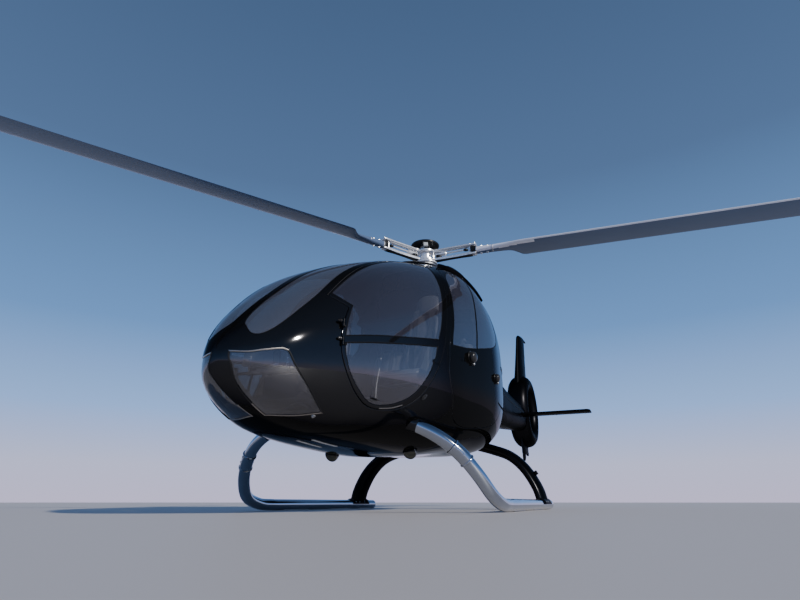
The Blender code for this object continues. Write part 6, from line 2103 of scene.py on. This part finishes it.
# %% Padded form
def pad_point(p, size, power, crown, waist, taper, bolster, channels):
    """Turn a point of the cube -1..1 into a point of the pad; z is the padded side."""
    x, y, z = p
    norm = (abs(x) ** power[0] + abs(y) ** power[0]) ** (1 / power[0])
    flat = max(abs(x), abs(y))
    if norm > 1e-9:
        x, y = x * flat / norm, y * flat / norm
    side = (flat ** power[1] + abs(z) ** power[1]) ** (1 / power[1])
    top = max(flat, abs(z))
    if side > 1e-9:
        x, y, z = (c * top / side for c in (x, y, z))
    width = size[0] * (1 - waist * (1 - y * y) - taper * (y + 1) / 2)
    depth = size[1] * (1 - waist * (1 - x * x))
    full = 1 + crown * (1 - x * x) * (1 - y * y)
    height = size[2] * z * (full if z > 0 else 1 + 0.25 * crown * (1 - x * x) * (1 - y * y))
    if z > 0:
        edge = min(max((abs(x) - 0.58) / 0.30, 0.0), 1.0)
        height += bolster * z * edge * edge * (3 - 2 * edge) * (1 - min(1.0, abs(y)) ** 6)
        for axis, place, strength in channels:
            gap = (abs(x) if axis == "x" else y) - place
            height -= strength * z * math.exp(-(gap / 0.028) ** 2)
    return Vector((x * width, y * depth, height))


def pad(size, matrix, power=(5.0, 3.2), crown=0.35, waist=0.03, taper=0.0, bolster=0.0, channels=(), grid=30):
    """Closed padded form in the box +-size, its z side crowned, with a piped seam round its middle."""
    bm = bmesh.new()
    bmesh.ops.create_grid(bm, x_segments=grid, y_segments=grid, size=1.0)
    face = [v.co.copy() for v in bm.verts]
    quads = [tuple(v.index for v in f.verts) for f in bm.faces]
    bm.free()
    cube = [turned(a, "X", 3) for a in (0, 90, 180, 270)] + [turned(a, "Y", 3) for a in (90, -90)]
    points, faces = [], []
    for turn in cube:
        start = len(points)
        points += [turn @ Vector((p.x, p.y, 1.0)) for p in face]
        faces += [tuple(start + i for i in quad) for quad in quads]
    shaped = [matrix @ pad_point(p, size, power, crown, waist, taper, bolster, channels) for p in points]
    mesh = mesh_of(shaped, faces, sharp=180)
    bm = bmesh.new()
    bm.from_mesh(mesh)
    bmesh.ops.remove_doubles(bm, verts=bm.verts[:], dist=1e-5)
    bm.to_mesh(mesh)
    bm.free()
    loop = []
    for a in turns(120):
        x, y = math.cos(a), math.sin(a)
        big = max(abs(x), abs(y))
        loop.append(matrix @ (1.006 * pad_point((x / big, y / big, 0.0), size, power, crown, waist, taper, bolster,
                                                channels)))
    piping = bar(loop, circle(0.0042, 8), closed=True)
    return facing_out(mesh), piping


def between(low, high, forward):
    """Matrix with its origin midway, Y from low to high, and Z towards forward."""
    low, high = Vector(low), Vector(high)
    along = (high - low).normalized()
    out = Vector(forward)
    out = (out - along * out.dot(along)).normalized()
    return axes_at((low + high) / 2, along.cross(out), along, out)


def soft_piece(name, size, matrix, fill, **shape):
    mesh, piping = pad(size, matrix, **shape)
    piece = place_piece(name, mesh, SEAT_LEATHER, "airframe")
    place_piece(f"{name}_piping", piping, SEAT_PIPING, "airframe")
    return piece


print("pad maker ready")

# %% [markdown]
# Each front seat has a cushion with side bolsters, a tall narrow back with a headrest, and a moulded shell
# behind it, all on a sheet-metal box with a slot. They stand where the frame's plain seats stand.

# %% Front seats
SEAT_X, FLOOR_Z = 0.430, 0.6405  # the seats' distance from the middle, the cabin floor's upper face
# forward, rearward point of the cushion's middle line and of the back's, in (y, z)
CUSHION_LINE = ((-1.862, 0.918), (-1.330, 0.890))
BACK_LINE = ((-1.352, 0.930), (-1.163, 1.590))
HEAD_LINE = ((-1.142, 1.595), (-1.098, 1.790))


def seat_shell(x):
    """Thin moulded shell behind and beside the back, with its rolled edge."""
    low, high = (Vector((x, y, z)) for y, z in ((-1.318, 0.850), (-1.108, 1.600)))
    rows = []
    for t in np.linspace(0, 1, 26):
        middle = low.lerp(high, t)
        half = 0.192 * (1 - 0.25 * t) * (1 - 0.55 * max(0.0, t - 0.82) / 0.18 * max(0.0, t - 0.82) / 0.18)
        row = []
        for s in np.linspace(-1, 1, 25):
            wing = -0.085 * abs(s) ** 3.2
            row.append(middle + Vector((half * s, wing * 0.97, -wing * 0.25)))
        back = [p + Vector((0, 0.010, -0.003)) for p in row[::-1]]
        rows.append(row + back)
    return facing_out(loft(rows, sharp=55))


for side, tag, door in SIDES:
    x = side * SEAT_X
    soft_piece(f"front_cushion_{tag}", (0.205, 0.270, 0.055),
               between((x, *CUSHION_LINE[0]), (x, *CUSHION_LINE[1]), (0, 0, 1)), 0.8, crown=0.30, bolster=0.022,
               channels=(("x", 0.50, 0.012), ("y", -0.45, 0.006), ("y", 0.0, 0.006), ("y", 0.45, 0.006)))
    soft_piece(f"front_back_{tag}", (0.180, 0.345, 0.042),
               between((x, *BACK_LINE[0]), (x, *BACK_LINE[1]), (0, -1, 0.2)), 0.75, crown=0.45, taper=0.26,
               bolster=0.030, channels=(("x", 0.50, 0.012), ("y", -0.5, 0.006), ("y", -0.1, 0.006),
                                        ("y", 0.3, 0.006)))
    soft_piece(f"front_headrest_{tag}", (0.108, 0.100, 0.034),
               between((x, *HEAD_LINE[0]), (x, *HEAD_LINE[1]), (0, -1, 0.2)), 0.85, power=(2.6, 2.8), crown=0.35,
               waist=0.0, channels=(("x", 0.55, 0.005),))
    posts = [rod((x + s * 0.045, -1.150, 1.52), (x + s * 0.045, -1.122, 1.64), 0.006, 14) for s in (1, -1)]
    base = [block((x - 0.158, -1.80, FLOOR_Z), (x + 0.158, -1.43, 0.835), 0.012),
            block((x - 0.195, -1.84, 0.832), (x + 0.195, -1.31, 0.856), 0.010)]
    rails = [block((x + s * 0.13 - 0.014, -1.88, FLOOR_Z), (x + s * 0.13 + 0.014, -1.34, 0.662), 0.004)
             for s in (1, -1)]
    slot_seat = Matrix.Translation((x, -1.8015, 0.735)) @ turned(90, "X")
    base.append(plate(soft_rectangle(0.11, 0.035, 0.4, 40), 0.006, slot_seat, 0.0015))
    place_piece(f"front_seat_frame_{tag}", by_slot([seat_shell(x), *base], posts + rails),
                [CONSOLE_PLASTIC, CAST_ALLOY], "airframe", [f"front_seat_{tag}"])
print("front seats done")

# %% [markdown]
# The rear bench is one long cushion for three, with three separate back pads and low headrests.

# %% Rear bench
BENCH_PLACES = (-0.390, 0.0, 0.390)
for number, x in enumerate(BENCH_PLACES, start=1):
    soft_piece(f"bench_cushion_{number}", (0.190, 0.370, 0.070),
               between((x, -0.875, 0.930), (x, -0.130, 0.912), (0, 0, 1)), 0.75, crown=0.28,
               channels=(("x", 0.52, 0.010), ("y", -0.35, 0.007), ("y", 0.25, 0.007)))
    soft_piece(f"bench_back_{number}", (0.190, 0.335, 0.052),
               between((x, -0.205, 0.955), (x, -0.108, 1.600), (0, -1, 0.15)), 0.7, crown=0.42, taper=0.06,
               channels=(("x", 0.52, 0.010), ("y", -0.4, 0.007), ("y", 0.05, 0.007), ("y", 0.5, 0.007)))
bench_base = [block((-0.55, -0.80, FLOOR_Z), (0.55, -0.10, 0.845), 0.015),
              block((-0.585, -0.86, 0.840), (0.585, -0.12, 0.868), 0.010),
              block((-0.575, -0.150, 0.870), (0.575, -0.062, 1.560), 0.020, turn=turned(-8, "X", 3))]
place_piece("bench_frame", joined(bench_base), CONSOLE_PLASTIC, "airframe", ["rear_bench"])
print("rear bench done")

# %% [markdown]
# Seat belts are flat webbing: two shoulder straps come over the back and meet the lap strap at a round buckle.

# %% Belts
WEBBING = [(-0.023, -0.0009), (0.023, -0.0009), (0.023, 0.0009), (-0.023, 0.0009)]


def strap(points, up):
    return bar(smooth_path(points, 0.02), WEBBING, up=up)


def belts(x, front, rise, top_y, top_z, seat_z, lap_half):
    """Straps of one seat: front is the y of the buckle, rise its height."""
    parts = []
    for s in (1, -1):
        parts.append(strap([(x + s * 0.085, top_y + 0.030, top_z - 0.06), (x + s * 0.083, top_y, top_z),
                            (x + s * 0.078, top_y - 0.045, top_z - 0.02),
                            (x + s * 0.065, top_y - 0.120, top_z - 0.25),
                            (x + s * 0.045, front + 0.055, rise + 0.16),
                            (x + s * 0.018, front + 0.010, rise + 0.03)], (0, -1, 0.35)))
        parts.append(strap([(x + s * 0.02, front, rise), (x + s * 0.10, front + 0.015, rise + 0.004),
                            (x + s * lap_half, front + 0.045, rise - 0.02),
                            (x + s * (lap_half + 0.022), front + 0.075, seat_z - 0.03)], (0, -0.3, 1)))
    buckle = [lathe([(0, -0.006), (0.030, -0.006), (0.033, 0.0), (0.031, 0.009), (0.024, 0.013), (0, 0.013)],
                    (x, front - 0.002, rise + 0.004), (0, -0.45, 0.9), 36),
              block((x - 0.012, front - 0.010, rise + 0.013), (x + 0.012, front - 0.002, rise + 0.022), 0.003,
                    turn=turned(26, "X", 3))]
    return by_slot(parts, buckle)


for side, tag, door in SIDES:
    place_piece(f"front_belts_{tag}", belts(side * SEAT_X, -1.475, 0.992, -1.165, 1.632, 0.93, 0.165),
                [BELT_WEBBING, BRIGHT_STEEL], "airframe")
for number, x in enumerate(BENCH_PLACES, start=1):
    place_piece(f"bench_belts_{number}", belts(x, -0.345, 1.020, -0.140, 1.640, 0.95, 0.155),
                [BELT_WEBBING, BRIGHT_STEEL], "airframe")
print("belts done")

# %% [markdown]
# ## Instruments and controls
#
# A narrow pedestal runs forward between the pilots and carries the instrument board under a padded hood. The
# dials are generic: a bezel, a dark face, plain ticks and a needle.

# %% Console
def round_dial(at, radius, needle):
    """Dial that faces aft (+Y)."""
    at = Vector(at)
    out = Vector((0, 1, 0))
    ring = lathe([(radius * 0.86, 0.0), (radius, 0.0), (radius, 0.006), (radius * 0.94, 0.009),
                  (radius * 0.86, 0.007), (radius * 0.86, 0.0)], at, out, 40)
    face = lathe([(0, 0.0), (radius * 0.87, 0.0), (radius * 0.87, 0.002), (0, 0.002)], at, out, 36)
    marks = []
    for a in turns(12):
        direction = Vector((math.cos(a), 0, math.sin(a)))
        marks.append(rod(at + direction * radius * 0.66 + out * 0.0022,
                         at + direction * radius * 0.80 + out * 0.0022, 0.0009, 6))
    hand = Vector((math.cos(needle), 0, math.sin(needle)))
    marks.append(rod(at - hand * radius * 0.15 + out * 0.004, at + hand * radius * 0.62 + out * 0.004, 0.0014, 6))
    marks.append(lathe([(0, 0.002), (radius * 0.1, 0.002), (radius * 0.1, 0.006), (0, 0.006)], at, out, 16))
    return ring, face, marks


def instrument_hood():
    """Padded hood over the board: an arched roof that is rolled under at its front and rear edges."""
    rows = []
    for t in np.linspace(-1, 1, 41):
        x = 0.300 * t
        drop = 0.075 * abs(t) ** 3.0
        profile = [(-2.618, 0.870 + drop * 0.2), (-2.612, 1.000), (-2.598, 1.090), (-2.568, 1.140), (-2.525, 1.158),
                   (-2.480, 1.160), (-2.462, 1.152), (-2.460, 1.140), (-2.472, 1.132), (-2.520, 1.132),
                   (-2.552, 1.112), (-2.578, 1.060), (-2.588, 0.990), (-2.592, 0.870 + drop * 0.2)]
        rows.append([Vector((x, y, z - drop * min(1.0, max(0.0, (z - 0.87) / 0.25)))) for y, z in profile])
    return facing_out(loft(rows, sharp=50))


BOARD_Y = -2.4865
rims, faces, pale, plastic = [], [], [], [block((-0.282, -2.575, 0.862), (0.282, -2.486, 1.092), 0.012)]
for k, (x, z, radius) in enumerate(((-0.215, 1.020, 0.040), (-0.125, 1.030, 0.040), (-0.035, 1.035, 0.040),
                                    (0.055, 1.035, 0.040), (-0.215, 0.925, 0.036), (-0.125, 0.932, 0.036),
                                    (-0.035, 0.935, 0.036))):
    ring, face, marks = round_dial((x, BOARD_Y, z), radius, 0.9 + 0.7 * k)
    rims.append(ring)
    faces.append(face)
    pale += marks
rims.append(block((0.105, -2.490, 0.955), (0.255, -2.479, 1.065), 0.004))
faces.append(block((0.115, -2.4805, 0.965), (0.245, -2.4765, 1.055), 0.002))
for k in range(6):
    rims.append(lathe([(0, 0), (0.007, 0), (0.006, 0.010), (0, 0.011)], (0.120 + 0.025 * k, BOARD_Y, 0.920),
                      (0, 1, 0), 18))
plastic.append(block((-0.128, -2.615, FLOOR_Z), (0.128, -2.03, 0.800), 0.014))
slope = turned(-6, "X", 3)
plastic.append(block((-0.122, -2.600, 0.780), (0.122, -2.045, 0.842), 0.010, turn=slope))
for row in range(4):
    y = -2.42 + 0.105 * row
    z = 0.846 - 0.0110 * row
    rims.append(block((-0.100, y - 0.042, z - 0.008), (0.100, y + 0.042, z + 0.004), 0.003, turn=slope))
    for k in range(5):
        faces.append(lathe([(0, 0), (0.009, 0), (0.0075, 0.013), (0, 0.014)], (-0.076 + 0.038 * k, y, z + 0.002),
                           (0, 0.1, 1), 18))
place_piece("instrument_panel", by_slot([instrument_hood()], rims, faces, pale, plastic),
            [HOOD_GREY, CAST_ALLOY, DIAL_FACE, LIGHT_PLASTIC, CONSOLE_PLASTIC], "airframe",
            ["instrument_console"])
print("console with", len(rims + faces + pale + plastic) + 1, "parts")

# %% [markdown]
# The pilots' controls are simple rods and grips: a cyclic stick with a curved grip in front of each seat, a
# collective lever beside it, and pedals that hang on a cross tube ahead of the console.

# %% Sticks, levers and pedals
alloy, rubber, plastic, steel = [], [], [], []
for side, tag, door in SIDES:
    x = side * SEAT_X
    stick = smooth_path([(x, -2.17, 0.650), (x, -2.155, 0.78), (x, -2.105, 0.93), (x, -2.085, 1.02),
                         (x, -2.115, 1.085)], 0.015)
    alloy.append(bar(stick, circle(0.0105, 16)))
    grip = smooth_path([(x, -2.092, 0.985), (x, -2.090, 1.04), (x, -2.118, 1.088), (x, -2.135, 1.110)], 0.008)
    scales = [0.7 + 0.35 * math.sin(math.pi * i / (len(grip) - 1)) + (0.25 if i > 0.75 * len(grip) else 0.0)
              for i in range(len(grip))]
    rubber.append(bar(grip, circle(0.020, 20), scales=scales))
    plastic.append(lathe([(0, 0.0), (0.055, 0.0), (0.050, 0.012), (0.034, 0.030), (0.026, 0.034), (0.020, 0.052),
                          (0.013, 0.056), (0, 0.056)], (x, -2.17, FLOOR_Z), (0, 0, 1), 36))
    lever_x = side * 0.165
    lever = smooth_path([(lever_x, -1.52, 0.690), (lever_x, -1.72, 0.745), (lever_x, -1.92, 0.850)], 0.03)
    alloy.append(bar(lever, circle(0.011, 16)))
    rubber.append(rod((lever_x, -1.86, 0.820), (lever_x, -1.985, 0.885), 0.0185, 22, 0.4))
    plastic.append(block((lever_x - 0.022, -1.56, FLOOR_Z), (lever_x + 0.022, -1.46, 0.705), 0.006))
    for s in (1, -1):
        px = side * 0.335 + s * 0.085
        alloy.append(bar(smooth_path([(px, -2.60, 0.668), (px, -2.59, 0.76), (px, -2.565, 0.84)], 0.02),
                         circle(0.0085, 12)))
        rubber.append(block((px - 0.038, -2.572, 0.822), (px + 0.038, -2.558, 0.892), 0.005,
                            turn=turned(-18, "X", 3)))
        for k in range(4):
            rubber.append(block((px - 0.033, -2.5575, 0.832 + 0.015 * k), (px + 0.033, -2.5535, 0.838 + 0.015 * k),
                                0.0015, turn=turned(-18, "X", 3)))
    alloy.append(rod((side * 0.225, -2.60, 0.668), (side * 0.445, -2.60, 0.668), 0.011, 18))
    plastic += [block((side * px - 0.010, -2.615, FLOOR_Z), (side * px + 0.010, -2.585, 0.682), 0.003)
                for px in (0.235, 0.435)]
# Cross tube ahead of the console, on two brackets, with its damper sleeve and levers
alloy.append(rod((-0.300, -2.700, 0.806), (0.300, -2.700, 0.806), 0.010, 20))
alloy.append(lathe([(0, 0), (0.015, 0), (0.0175, 0.003), (0.0175, 0.235), (0.013, 0.240), (0, 0.240)],
                   (-0.112, -2.700, 0.806), (1, 0, 0), 30))
steel.append(lathe([(0, 0), (0.0195, 0), (0.0195, 0.020), (0, 0.020)], (-0.104, -2.700, 0.806), (1, 0, 0), 30))
for x in (-0.270, 0.270):
    plastic.append(block((x - 0.008, -2.716, FLOOR_Z), (x + 0.008, -2.684, 0.824), 0.003))
steel.append(block((-0.179, -2.704, 0.812), (-0.167, -2.696, 0.915), 0.002))
plastic.append(block((0.000, -2.706, 0.832), (0.050, -2.690, 0.925), 0.004))
steel.append(block((-0.004, -2.712, 0.826), (0.054, -2.690, 0.846), 0.003))
steel.append(block((0.100, -2.706, 0.822), (0.114, -2.694, 0.900), 0.002))
place_piece("cabin_controls", by_slot(alloy, rubber, plastic, steel),
            [CAST_ALLOY, RUBBER, CONSOLE_PLASTIC, BRIGHT_STEEL], "airframe")
hose = smooth_path([(0.060, -2.66, 0.50), (0.075, -2.66, 0.545), (0.130, -2.66, 0.590), (0.190, -2.66, 0.597),
                    (0.250, -2.66, 0.572), (0.285, -2.66, 0.52)], 0.01)
place_piece("heater_pipe", bar(hose, circle(0.013, 18)), CAST_ALLOY, "airframe")
print("controls:", len(alloy + rubber + plastic + steel), "parts")

# %% [markdown]
# ## Lining
#
# The floor is carpeted, and the bulkhead and deck are lined. These plain pieces of the construction already have
# the right shape, so they stay and only get their finishes. A ribbed mat and tie-down rings finish the floor.

# %% Floor fittings
mats, rings = [], []
for side in (1, -1):
    low, high = sorted((side * 0.225, side * 0.555))
    mats.append(block((low, -2.44, 0.6402), (high, -2.00, 0.6455), 0.002))
    for k in range(16):
        y = -2.42 + 0.0265 * k
        mats.append(block((low + 0.015, y, 0.6450), (high - 0.015, y + 0.010, 0.6480), 0.0012, segments=1))
for x in (-0.56, -0.12, 0.12, 0.56):
    for y in (-1.10, -0.95):
        rings.append(lathe([(0, 0), (0.022, 0), (0.020, 0.003), (0.012, 0.004), (0, 0.002)], (x, y, 0.6401),
                           (0, 0, 1), 28))
        rings.append(bar([Vector((x + 0.011 * math.cos(a), y, 0.6425 + 0.011 * math.sin(a)))
                          for a in np.linspace(0, math.pi, 12)], circle(0.0018, 8)))
place_piece("floor_fittings", by_slot(mats, rings), [RUBBER, CAST_ALLOY], "airframe")

# %% Finishes of the kept pieces
KEPT = {"cabin_floor": CARPET, "engine_deck": CABIN_LINING, "main_gearbox": CAST_ALLOY,
        "engine_block": ENGINE_ALLOY}
for name, material in KEPT.items():
    piece = NODES[name]
    for slot in piece.material_slots:
        slot.material = material
    piece.data.set_sharp_from_angle(angle=math.radians(40))
print("kept pieces finished:", ", ".join(KEPT))

# %% [markdown]
# ## Floor and light
#
# The machine stands on a plain pale floor before a studio's gradient backdrop, pale at the horizon and deep blue
# above. Gloss black needs something to reflect, so the backdrop lights it all round. One soft lamp, far to the
# machine's left and 27 degrees up, puts the small streak of light on its nose. It is a sun lamp, whose light
# falls evenly over the whole floor.

# %% Floor
def floor_sheet():
    size = 400.0  # half its width, in metres
    mesh = mesh_of([(-size, -size, 0), (size, -size, 0), (size, size, 0), (-size, size, 0)], [(0, 1, 2, 3)])
    floor = bpy.data.objects.new("floor", mesh)
    bpy.context.scene.collection.objects.link(floor)
    mesh.materials.append(new_material("pale floor", Base_Color=(0.56, 0.52, 0.50), Roughness=0.6)[0])
    floor.location.z = -0.001
    return floor


floor = floor_sheet()

# %% Light
def backdrop():
    world = bpy.data.worlds.new("backdrop")
    bpy.context.scene.world = world
    world.use_nodes = True
    tree = world.node_tree
    up = node(tree, "SeparateXYZ", [("Vector", node(tree, "TexCoord").outputs["Generated"])]).outputs["Z"]
    fade = node(tree, "ValToRGB", [("Fac", up)])
    stops = ((0.0, (0.70, 0.655, 0.92)), (0.06, (0.64, 0.67, 0.96)), (0.15, (0.34, 0.56, 1.05)),
             (0.29, (0.155, 0.34, 0.72)), (0.54, (0.094, 0.17, 0.34)), (1.0, (0.045, 0.08, 0.16)))
    elements = fade.color_ramp.elements
    while len(elements) < len(stops):
        elements.new(0.5)
    for element, (place, colour) in zip(elements, stops):
        element.position = place
        element.color = (*colour, 1.0)
    background = tree.nodes["Background"]
    tree.links.new(fade.outputs["Color"], background.inputs["Color"])
    background.inputs["Strength"].default_value = 1.0


def soft_sun(towards, strength, angle):
    data = bpy.data.lights.new("soft sun", "SUN")
    data.energy = strength
    data.angle = math.radians(angle)
    data.color = (1.0, 0.95, 0.88)
    light = bpy.data.objects.new("soft sun", data)
    bpy.context.scene.collection.objects.link(light)
    light.rotation_euler = Vector(towards).to_track_quat("Z", "Y").to_euler()


backdrop()
soft_sun(towards=(0.853, -0.258, 0.454), strength=3.6, angle=2.0)
print("floor and light ready")
